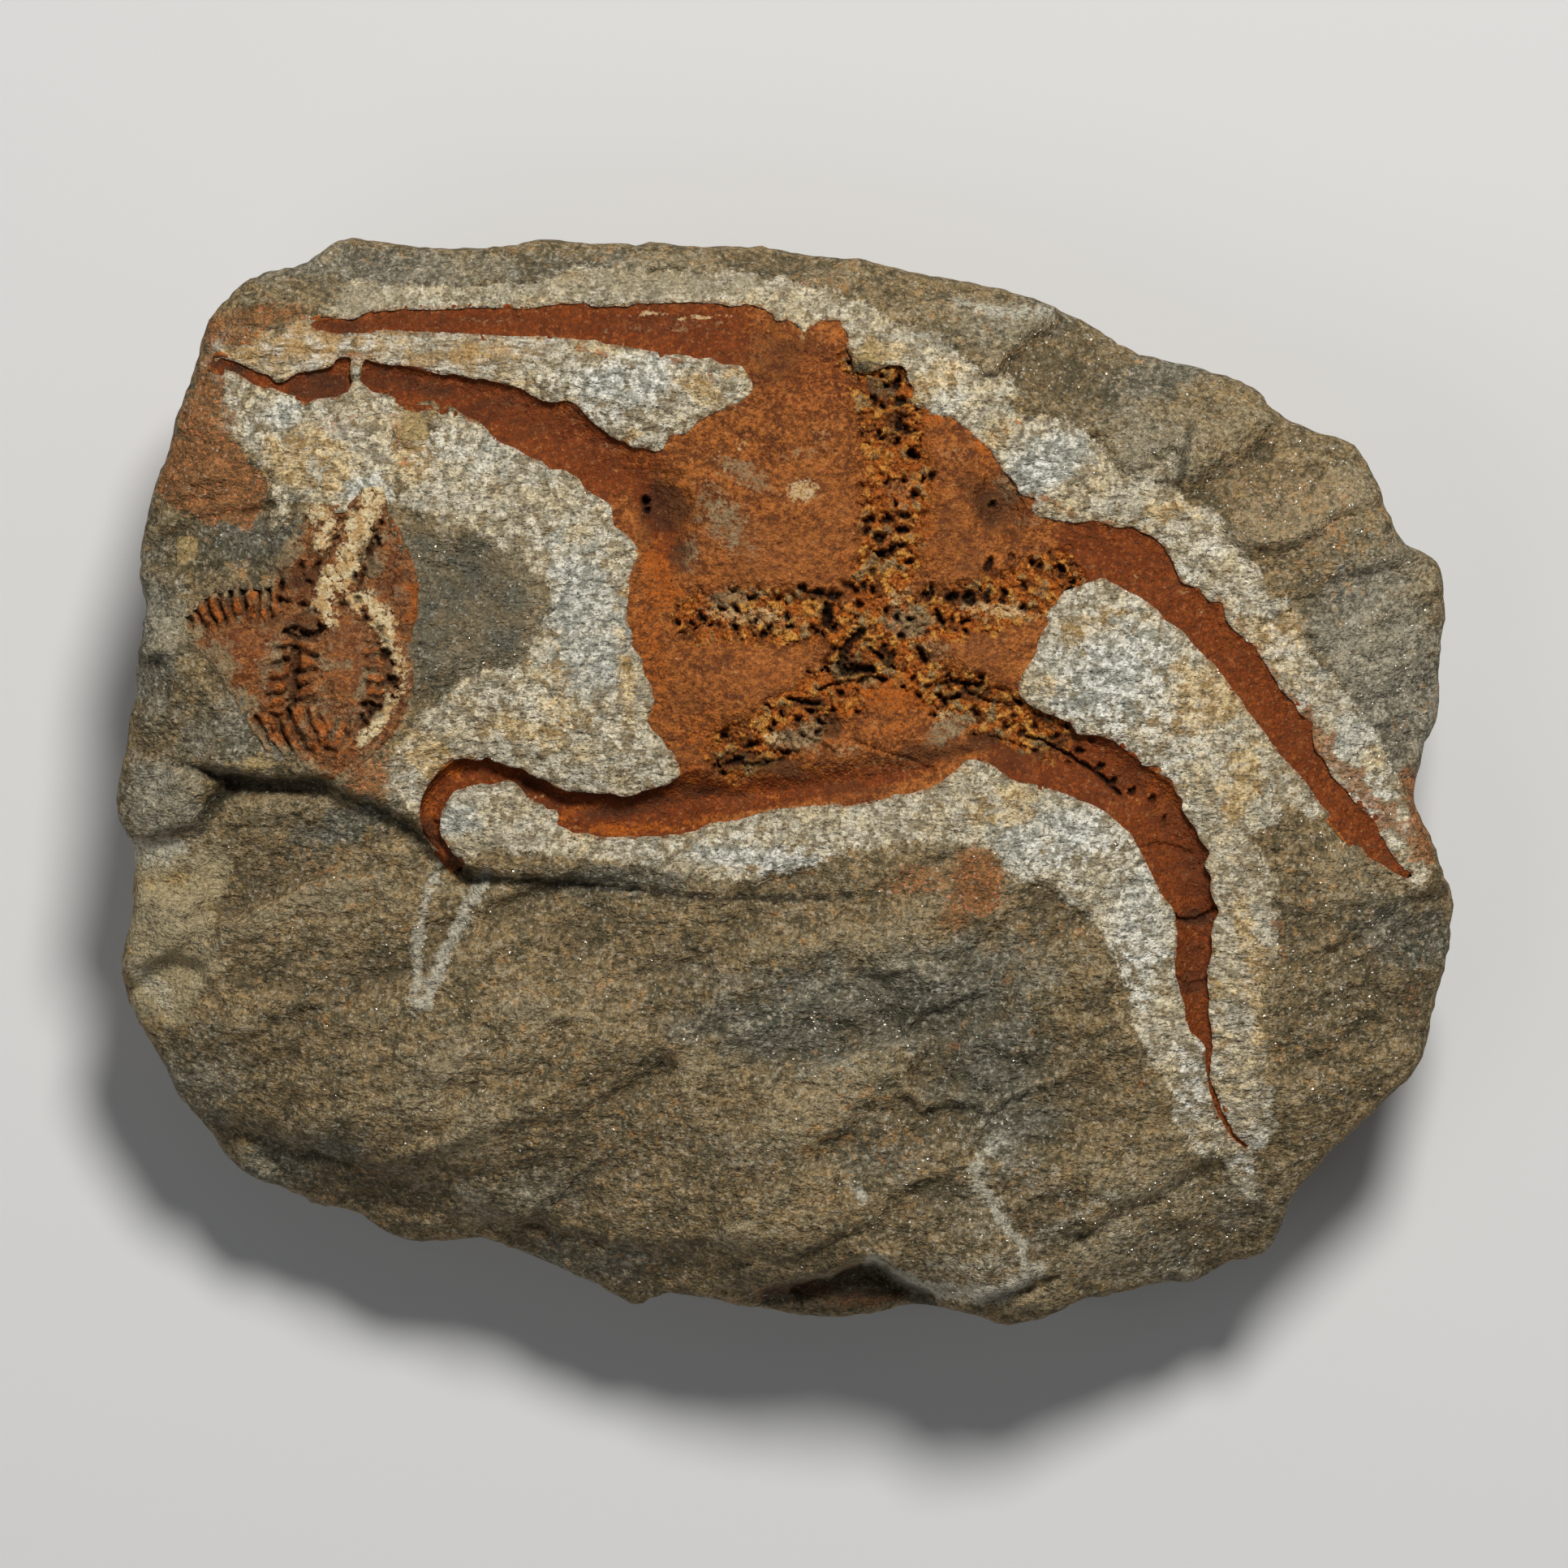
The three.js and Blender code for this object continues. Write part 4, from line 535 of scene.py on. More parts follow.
def scatter(box, step, seed, jitter=0.35):
    """A jittered triangular lattice of points over a box (x0, y0, x1, y1)."""
    rng = np.random.default_rng(seed)
    ys = np.arange(box[1], box[3], step * 0.866)
    xs = np.arange(box[0], box[2], step)
    X, Y = np.meshgrid(xs, ys)
    X = X + (np.arange(len(ys)) % 2)[:, None] * step * 0.5
    q = np.stack([X.ravel(), Y.ravel()], 1)
    return q + rng.uniform(-jitter, jitter, q.shape) * step


def band(a, b, up=True):
    """Triangles between two loops of equal length (vertex numbers)."""
    n = len(a)
    i = np.arange(n); j = (i + 1) % n
    t = np.vstack([np.stack([a[i], b[i], b[j]], 1), np.stack([a[i], b[j], a[j]], 1)])
    return t if up else t[:, ::-1]

# ------------------------------------------------------- the star's surface
# Channels: centre line, half width and depth along it.  They run out of the
# arms into the disc, so that the surface is continuous across the forks.
DEPTH = {'arm_upper_left': 0.45, 'arm_left': 0.85, 'arm_lower_left': 1.8, 'arm_lower_right': 1.1, 'arm_right': 0.35}
ROOTS = {  # inside the disc, from the far end to the fork: px, py, half width px, depth mm
    'arm_upper_left': [(1030, 480, 30, 0.0), (990, 445, 45, 0.2), (950, 420, 42, 0.4)],
    'arm_left': [(800, 880, 22, 0.0), (806, 800, 28, 0.25), (816, 720, 34, 0.5), (818, 660, 42, 0.8), (800, 620, 44, 0.9)],
    'arm_lower_left': [(1240, 925, 20, 0.1), (1160, 942, 30, 0.5), (1100, 955, 34, 0.8), (1040, 965, 34, 1.0), (960, 976, 35, 1.3), (905, 984, 36, 1.6)],
    'arm_lower_right': [(1110, 868, 34, 0.0), (1160, 878, 44, 0.5), (1200, 890, 46, 0.9)],
    'arm_right': [(1195, 600, 40, 0.0), (1225, 640, 46, 0.25), (1260, 670, 52, 0.35)],
}
CH = {}
ARM_EDGE = {}
for name, st in ARMS.items():
    q = np.array(st, float)
    l, r = plan(q[:, :2], -0.9), plan(q[:, 2:], -0.9)
    ARM_EDGE[name] = (l, r)
    mid, hw = (l + r) / 2, np.hypot(*(l - r).T) / 2
    ex = np.array(ROOTS[name], float)
    line = np.vstack([plan(ex[:, :2], -0.9), mid])
    w = np.r_[ex[:, 2] * S, hw]
    dep = np.r_[ex[:, 3], DEPTH[name] * np.minimum(1, 2 * hw / 3.6)]
    r = np.r_[0, np.cumsum(np.hypot(*np.diff(line, axis=0).T))]
    CH[name] = (line, w, dep, r[len(ex)])

# Pitted grooves of the disc: plan line, half width px
GROOVES = [
    ([(1078, 448), (1090, 480), (1098, 530), (1105, 590), (1100, 650), (1092, 700), (1082, 760)], 44),
    ([(866, 762), (900, 758), (950, 760), (1000, 762), (1060, 775)], 38),
    ([(1302, 716), (1270, 728), (1230, 742), (1180, 752), (1110, 770)], 40),
    ([(905, 928), (950, 905), (990, 880), (1030, 850), (1065, 815)], 40),
    ([(1290, 905), (1240, 885), (1190, 865), (1140, 835), (1100, 805)], 38),
]
GROOVE_MM = [(plan(l, -1.0), w * S) for l, w in GROOVES]
# Swollen plates between the grooves: px, py, rx, ry, turn, height mm
CUSHIONS = [(955, 655, 115, 95, -8, 0.6), (1000, 560, 85, 60, -35, 0.35), (1185, 600, 50, 85, 20, 0.55), (1215, 800, 62, 42, 10, 0.4),
            (900, 855, 95, 62, -15, 0.55), (1120, 920, 70, 28, -8, 0.3), (1000, 425, 40, 30, 0, 0.3), (1150, 655, 28, 60, 5, 0.35)]
HOLLOWS = [(1230, 622, 34, 44, 20, 0.75), (826, 630, 30, 50, 15, 0.6), (1022, 893, 26, 18, -20, 0.5), (950, 935, 50, 16, -15, 0.35), (1150, 925, 50, 16, 0, 0.3)]
# Holes and cracks: px, py, long radius px, short radius px, turn, depth mm
PITS = [(1105, 473, 8, 5, 80, 1.0), (1109, 495, 9, 6, 30, 1.0), (1077, 494, 8, 4, 110, .7), (1108, 523, 11, 5, 80, 1.2), (1120, 532, 8, 4, 20, .7),
        (1105, 545, 6, 4, 70, .9), (1123, 559, 7, 6, 0, 1.2), (1148, 587, 4, 6, 0, .9), (1094, 640, 9, 4, 15, .9), (1114, 636, 9, 4, -20, .8),
        (1112, 653, 8, 5, 10, 1.1), (1083, 663, 8, 6, 0, 1.2), (1092, 682, 9, 5, 10, 1.0), (1126, 607, 5, 4, 0, .6), (1060, 600, 5, 6, 0, .5),
        (1223, 622, 5, 5, 0, .8), (1145, 732, 5, 12, -20, 1.1), (1173, 736, 9, 5, 20, 1.2), (1195, 737, 8, 10, 0, 1.2), (1217, 736, 4, 11, 0, 1.1),
        (1237, 734, 4, 11, -10, 1.0), (1218, 697, 5, 10, -20, 1.0), (1247, 687, 4, 6, 0, .6), (1158, 762, 4, 14, 25, 1.0), (1173, 765, 3, 8, 0, .8),
        (1019, 758, 6, 15, -15, 1.2), (989, 725, 6, 5, 0, 1.0), (1009, 730, 7, 5, 0, 1.0), (1028, 734, 10, 5, 10, 1.0), (1045, 722, 12, 4, -25, .7),
        (1137, 808, 5, 13, 20, 1.1), (1097, 812, 5, 14, -15, 1.1), (1090, 800, 4, 10, 10, .7), (868, 763, 4, 5, 0, .8), (873, 750, 4, 4, 0, .6),
        (1259, 902, 6, 4, 40, .8), (1247, 893, 5, 3, 30, .6), (1238, 895, 5, 5, 0, .7), (908, 936, 11, 5, 20, .9), (927, 917, 13, 4, 15, .8),
        (971, 926, 14, 3, -5, .8), (795, 617, 5, 6, 0, 1.1), (797, 629, 4, 4, 0, 1.0), (905, 727, 6, 4, 0, .6), (930, 735, 5, 6, 0, .6),
        (960, 738, 5, 5, 0, .6), (884, 770, 4, 6, 0, .6), (905, 768, 3, 8, 0, .6), (925, 772, 4, 7, 0, .5), (950, 775, 4, 8, 0, .5),
        (1300, 700, 6, 3, 20, .6), (1280, 705, 5, 4, 0, .5), (1262, 722, 4, 7, 0, .7), (1205, 880, 6, 3, 20, .5), (1175, 860, 7, 3, 10, .6),
        (1060, 745, 6, 5, 0, .8), (1075, 705, 5, 6, 0, .7), (1108, 700, 6, 4, 0, .6), (1120, 680, 5, 4, 0, .5), (895, 900, 6, 3, 10, .5),
        (1330, 925, 7, 4, 20, .8), (1355, 945, 8, 4, 25, .8), (1372, 962, 6, 4, 40, .8), (1395, 975, 7, 4, 50, .7), (1300, 908, 8, 4, 20, .8),
        (1275, 895, 5, 5, 0, .7), (1345, 912, 5, 4, 0, .5), (1420, 985, 6, 4, 60, .6), (1435, 1010, 5, 3, 60, .5), (1318, 940, 6, 3, 0, .5)]
CRACKS = [  # plan line, half width px, depth mm
    ([(1062, 778), (1048, 790), (1040, 802), (1036, 818), (1042, 828), (1058, 824), (1075, 824)], 6, 1.3),
    ([(1072, 800), (1082, 806), (1095, 820)], 4, .9), ([(1172, 838), (1185, 842), (1208, 843)], 4, 1.1), ([(1140, 846), (1172, 840)], 3, .6),
    ([(972, 860), (990, 865), (1008, 867)], 3, .9), ([(1018, 745), (1017, 760), (1022, 775)], 4, 1.0),
    ([(1060, 840), (1072, 832), (1092, 838)], 4, .8), ([(1010, 850), (1030, 842), (1046, 838)], 3, .7),
    ([(1190, 852), (1215, 862), (1240, 868)], 3, .6), ([(1255, 905), (1285, 912), (1320, 932), (1352, 952), (1380, 978)], 3, .7),
    ([(880, 945), (905, 940), (935, 942), (965, 935)], 3, .6), ([(1210, 905), (1240, 912), (1275, 926)], 2, .4),
    ([(1050, 912), (1085, 925), (1120, 935), (1150, 948)], 2, .35), ([(985, 905), (1010, 915), (1030, 928)], 3, .4),
    ([(1440, 1128), (1462, 1134), (1480, 1130), (1500, 1118)], 3, .5), ([(1445, 1205), (1465, 1212), (1490, 1208)], 2, .3),
    ([(1402, 1046), (1425, 1040), (1450, 1045), (1468, 1052)], 3, .3), ([(700, 470), (712, 490)], 2, .2),
]


def channels(x, y):
    """Depth below the rim, from the channels, and how much of it is the steep upper wall."""
    out = np.zeros(len(x)); wall = np.zeros(len(x)); limb = np.zeros(len(x))
    for name, (line, w, dep, fork) in CH.items():
        lo, hi = line.min(0) - 5, line.max(0) + 5
        m = (x > lo[0]) & (x < hi[0]) & (y > lo[1]) & (y < hi[1])
        if not m.any():
            continue
        d, sd, hw, run = on_line(x[m], y[m], line, w)
        dp = on_line(x[m], y[m], line, dep)[2]
        # which side faces the upper edge of the plan
        k = np.clip(np.searchsorted(np.r_[0, np.cumsum(np.hypot(*np.diff(line, axis=0).T))], run) - 1, 0, len(line) - 2)
        tx, ty = (line[k + 1] - line[k]).T
        upper = np.where(tx >= 0, sd, -sd)       # left of +x travel is +y
        upper = np.where(np.abs(tx) < 0.25 * np.abs(ty), np.where(ty < 0, sd, -sd), upper)
        u = np.clip(d / np.maximum(hw, 0.15), 0, 1.6)
        past = smooth(-2.5, 2.5, run - fork)
        p = np.where(upper > 0, 2.0 + 2.0 * past, 1.9)
        prof = 1 - np.clip(u, 0, 1) ** p
        prof = past * prof + (1 - past) * (1 - smooth(0.0, 1.0, u))
        f = dp * prof
        # the deepest line lies towards the upper wall
        f *= np.where(upper > 0, 1.0, 0.35 + 0.65 * (1 - np.clip(u, 0, 1)) ** 0.9)
        limb[m] = np.maximum(limb[m], past * (1 - smooth(0.95, 1.5, u)))
        new = f > out[m]
        o = out[m]; o[new] = f[new]; out[m] = o
        # wall: the steep upper wall, which the material paints in shade
        ww = wall[m]; ww[new] = (np.where(upper > 0, smooth(0.45, 0.9, u), 0) * np.clip((dp - 0.6) / 1.2, 0, 1) * (0.4 + 0.6 * past))[new]; wall[m] = ww
    return out, wall, limb


def groove_mask(x, y):
    g = np.zeros(len(x)); side = np.zeros(len(x)); run = np.zeros(len(x))
    P = xyz(x, y)
    wob = 0.55 * noise(P / 1.6, 71) + 0.25 * noise(P / 0.6, 72)
    for line, hw in GROOVE_MM:
        d, sd, _, r = on_line(x, y, line)
        m = 1 - smooth(0.62, 1.12, (d + wob) / hw)
        new = m > g
        g = np.where(new, m, g); side = np.where(new, sd * d / hw, side); run = np.where(new, r, run)
    return g, side, run


def carve(x, y, items, lines):
    """Depth of the listed holes and cracks."""
    z = np.zeros(len(x))
    P = xyz(x, y)
    wx = 0.16 * noise(P / 0.45, 81) + 0.10 * noise(P / 0.2, 83)
    wy = 0.16 * noise(P / 0.45, 82) + 0.10 * noise(P / 0.2, 84)
    for px, py, a, b, ang, dep in items:
        c = plan([(px, py)], -1.0)[0]
        R = max(a, b) * S * 2.2
        m = (np.abs(x - c[0]) < R + 0.3) & (np.abs(y - c[1]) < R + 0.3)
        if not m.any():
            continue
        t = math.radians(-ang)
        dx, dy = x[m] + wx[m] - c[0], y[m] + wy[m] - c[1]
        u = (dx * math.cos(t) - dy * math.sin(t)) / (a * S * 1.1)
        v = (dx * math.sin(t) + dy * math.cos(t)) / (b * S * 1.1)
        q = np.hypot(u, v)
        z[m] = np.maximum(z[m], dep * (1 - smooth(0.45, 1.25, q)))
        z[m] -= 0.08 * np.exp(-((q - 1.5) / 0.35) ** 2)          # a low raised rim
    for line, hw, dep in lines:
        l = plan(line, -1.0)
        lo, hi = l.min(0) - 1.5, l.max(0) + 1.5
        m = (x > lo[0]) & (x < hi[0]) & (y > lo[1]) & (y < hi[1])
        if not m.any():
            continue
        d = on_line(x[m] + wx[m], y[m] + wy[m], l)[0]
        z[m] = np.maximum(z[m], dep * (1 - smooth(0.35, 1.3, d / (hw * S))))
    return z


def star_z(x, y, detail=True):
    """Height of the iron-oxide surface, with the masks that its colours use."""
    P = xyz(x, y)
    base = plate(x, y) + ledges(x, y)
    dep, wall, limb = channels(x, y)
    z = base - TRENCH - LIP - dep
    cush = np.zeros(len(x))
    for px, py, rx, ry, ang, h in CUSHIONS:
        c = plan([(px, py)], -1.0)[0]
        a = math.radians(-ang)
        dx, dy = x - c[0], y - c[1]
        u = (dx * math.cos(a) - dy * math.sin(a)) / (rx * S)
        v = (dx * math.sin(a) + dy * math.cos(a)) / (ry * S)
        q = np.hypot(u, v) + 0.12 * noise(P / 3.0, 61)
        cush = np.maximum(cush, h * (1 - smooth(0.35, 1.1, q)))
    g, side, run = groove_mask(x, y)
    arm = smooth(0.25, 0.9, dep)
    rid, crack = np.full(len(x), 0.5), np.zeros(len(x))
    z += cush - 0.05
    z -= blobs(x, y, HOLLOWS, 0.25, 63)
    z -= 0.30 * g * (1 - 0.6 * arm)
    if detail:
        # fine grain everywhere, coarser lumps along the arms
        z += 0.10 * fbm(P / 2.6, 3, 11) + 0.035 * fbm(P / 0.55, 3, 12)
        z += arm * (0.07 * fbm(P / np.array([1.3, 1.3, 1.0]), 3, 14, ridged=True))
        # paired plates beside each groove: short ridges across it
        q = run / 1.28 + 0.25 * np.sign(side) + 0.35 * noise(P / 1.1, 21)
        comb = np.abs((q % 1.0) - 0.5) * 2
        lat = smooth(0.15, 0.45, np.abs(side)) * (1 - smooth(0.75, 1.1, np.abs(side)))
        z -= g * lat * (1 - 0.7 * arm) * 0.30 * smooth(0.55, 1.0, comb)
        # crumbled texture
        wx, wy = 0.30 * noise(P / 0.8, 22), 0.30 * noise(P / 0.8, 23)
        f1, f2, rid = worley(x + wx, y + wy, 0.62, 5, 1.0)
        h1, h2, hid = worley(x - wy, y + wx, 1.15, 6, 1.0)
        gg = np.clip(g * 1.25, 0, 1) * (1 - 0.45 * arm)
        crumb = 0.42 * (rid - 0.5) + 0.30 * (hid - 0.5) - 0.34 * (1 - smooth(0.04, 0.26, f2 - f1)) - 0.30 * (1 - smooth(0.02, 0.16, h2 - h1))
        z += gg * crumb
        crack = np.maximum(1 - smooth(0.03, 0.2, f2 - f1), 0.8 * (1 - smooth(0.02, 0.12, h2 - h1)))
        hole = gg * (((rid < 0.16) & (hid < 0.6)) * (1 - smooth(0.25, 0.62, f1)))
        z -= 0.9 * hole
        z += gg * 0.16 * fbm(P / 0.9, 3, 24, ridged=True)
        # outside the grooves: a leathery skin with shallow dents
        e1, e2, eid = worley(x + wx, y + wy, 1.7, 8, 1.0)
        z += (1 - g) * (0.10 * (e1 ** 2) + 0.05 * eid - 0.05)
        cv = carve(x, y, PITS, CRACKS)
        z -= cv
        cv = np.maximum(cv, 0.8 * hole)
    z = np.maximum(z, base - 3.2)
    return z, dict(cav=smooth(0.2, 0.75, cv), groove=g, arm=np.maximum(arm, limb), wall=wall, side=side, run=run, cush=cush, dep=dep, base=base, rid=rid, crack=crack)


# ------------------------------------------------------------ the sandstone
CREVICES = [  # plan line, half width px, depth mm
    ([(222, 945), (245, 948), (262, 952), (285, 962)], 6, 0.8), ([(268, 954), (300, 964), (350, 969), (400, 967)], 12, 0.9), ([(256, 1002), (272, 976), (290, 966)], 13, 0.8),
    ([(545, 1052), (562, 1070), (582, 1082), (606, 1080)], 10, 1.2), ([(640, 1083), (760, 1093), (860, 1105)], 4, 0.5), ([(900, 1108), (970, 1110), (1045, 1104)], 3, 0.7),
    ([(985, 1590), (1040, 1576), (1085, 1568), (1110, 1590)], 13, 1.4), ([(1330, 1530), (1352, 1517), (1376, 1498)], 7, 0.8), ([(1400, 1487), (1430, 1480)], 6, 0.6),
    ([(1446, 1464), (1478, 1446)], 5, 0.5), ([(1488, 1442), (1510, 1440)], 4, 0.4), ([(1215, 1606), (1260, 1594), (1300, 1573)], 8, 0.8), ([(1466, 525), (1461, 560), (1457, 600)], 4, 0.6),
    ([(270, 1392), (330, 1403), (400, 1420), (440, 1433)], 10, 0.7), ([(460, 1475), (500, 1490), (560, 1500)], 9, 0.7), ([(620, 1395), (700, 1380), (800, 1332), (860, 1302)], 7, 0.5),
    ([(1590, 1195), (1650, 1166), (1720, 1132)], 6, 0.5), ([(1640, 716), (1700, 702)], 5, 0.5), ([(1090, 1180), (1180, 1184), (1255, 1136)], 5, 0.4), ([(1030, 1395), (1060, 1420), (1100, 1455)], 4, 0.4),
    ([(1575, 1515), (1530, 1535), (1480, 1560)], 6, 0.5), ([(640, 1505), (720, 1530), (800, 1545)], 6, 0.5)]


def prep_mask(x, y):
    """1 where the rock was worked down round the star, with a ragged edge."""
    P = xyz(x, y)
    wob = 0.45 * noise(P / 1.9, 91) + 0.35 * noise(P / 0.7, 92)
    out = np.zeros(len(x))
    wob += 1.3 * smooth(-1.9, -0.3, np.maximum(signed(x, y, STAR), signed(x, y, STARB)))     # worked right up to the fossil
    for poly in PREP_MM:
        lo, hi = poly.min(0) - 2, poly.max(0) + 2
        m = (x > lo[0]) & (x < hi[0]) & (y > lo[1]) & (y < hi[1])
        if m.any():
            s = signed(x[m], y[m], poly)
            out[m] = np.maximum(out[m], smooth(-0.55, 0.5, s + wob[m]))
    return out


def rock_z(x, y, rim=None):
    """Height of the rock's face and its masks."""
    P = xyz(x, y)
    d0, _, _, run = on_line(x, y, STAR, closed=True)
    ds = np.maximum(np.where(inside(x, y, STAR), d0, -d0), signed(x, y, STARB))
    dp = signed(x, y, PART)
    base = plate(x, y) + ledges(x, y)
    prep = prep_mask(x, y)
    near = np.exp(-np.maximum(0, -ds) / TRENCH_REACH)
    z = base - TRENCH * near
    z += 0.2 * (1 - prep) * smooth(0.0, 0.5, 1 - near) * smooth(0.3, 3.0, -ds) * smooth(0.5, 3.0, -dp)     # unworked skin stands proud
    # broken, gritty rock
    rot = math.radians(24)
    A = np.stack([(x * math.cos(rot) + y * math.sin(rot)) / 2.3, (-x * math.sin(rot) + y * math.cos(rot)), np.zeros_like(x)], 1)
    big = fbm(P / 11.0, 3, 41)
    mid = fbm(A / 2.4, 3, 42, ridged=True)
    fine = fbm(P / 0.9, 3, 43)
    ux = A[:, 0] * 2.3 / 1.9 + 1.3 * noise(P / 4.5, 44) + 0.5 * noise(P / 1.6, 46)
    uy = A[:, 1] * 1.25 + 1.3 * noise(P / 4.5, 45) + 0.5 * noise(P / 1.6, 47)
    b1, b2, bid = worley(ux, uy, 6.5, 48)
    c1, c2, cid = worley(ux + 7, uy + 3, 2.3, 49)
    low = smooth(-8, -32, y)
    bowls = (1.7 + 0.6 * low) * (b1 ** 2 - 0.35) + 0.5 * (bid - 0.5) * (0.5 + low) + 0.42 * (c1 ** 2 - 0.3) + 0.16 * (cid - 0.5)
    flat = chips(ux, uy, 9.5, 61, 0.26) + chips(ux + 4, uy + 9, 4.2, 62, 0.22) + 0.6 * chips(ux + 1, uy + 5, 1.9, 63, 0.25)
    raw = 0.4 * big + 0.20 * mid + 0.11 * fine + 0.55 * bowls + flat * smooth(0.2, 4.0, -ds)
    # relief mask, used by the material only to paint shade in the hollows and highlight on the crests
    rel = smooth(-1.0, 1.0, 0.55 * bowls + 0.7 * flat + 0.45 * mid + 0.55 * fine)
    # tool marks: short strokes square to the fossil's edge, crossed by rounder pecks
    wx, wy = 0.35 * noise(P / 1.3, 51) + 0.12 * noise(P / 0.5, 57), 0.35 * noise(P / 1.3, 52) + 0.12 * noise(P / 0.5, 58)
    s1, s2, sid = worley(d0 * 0.55 + wx, run + wy, 0.66, 7, 1.0)
    f1, f2, fid = worley(x + wx, y + wy, 0.86, 9, 1.0)
    lean = smooth(-0.35, 0.35, noise(P / 6.0, 59) + 0.25 * np.sign(x - 8))
    peck = lean * (1 - smooth(0.08, 0.72, s1)) * (0.25 + 0.75 * sid) + (1 - lean) * (1 - smooth(0.08, 0.72, f1)) * (0.25 + 0.75 * fid)
    pit = -0.15 * peck + 0.10 * fbm(P / 0.62, 3, 53) + 0.05 * fbm(P / 1.5, 2, 56, ridged=True)
    worked = 0.16 * big + 0.10 * fbm(P / 2.2, 2, 54) + pit
    by = smooth(-1.6, -0.1, dp)                                   # quiet beside the second fossil
    z += (1 - prep) * raw * (1 - 0.8 * by) + prep * worked - 0.18 * by
    jx, jy = 0.22 * noise(P / 0.9, 241), 0.22 * noise(P / 0.9, 242)
    for line, hw, dep in CREVICES:
        l = plan(line)
        lo, hi = l.min(0) - 3, l.max(0) + 3
        m = (x > lo[0]) & (x < hi[0]) & (y > lo[1]) & (y < hi[1])
        if m.any():
            d = on_line(x[m] + jx[m], y[m] + jy[m], l)[0]
            z[m] -= dep * (1 - smooth(0.15, 1.25, d / (hw * S)))
    edge = smooth(0.0, 0.8, -ds)
    z += (1 - edge) * 0.10 * noise(P / 0.45, 55)
    return z, dict(prep=prep, near=near, ds=ds, dp=dp, base=base, cell=peck, rid=fid, rel=rel)


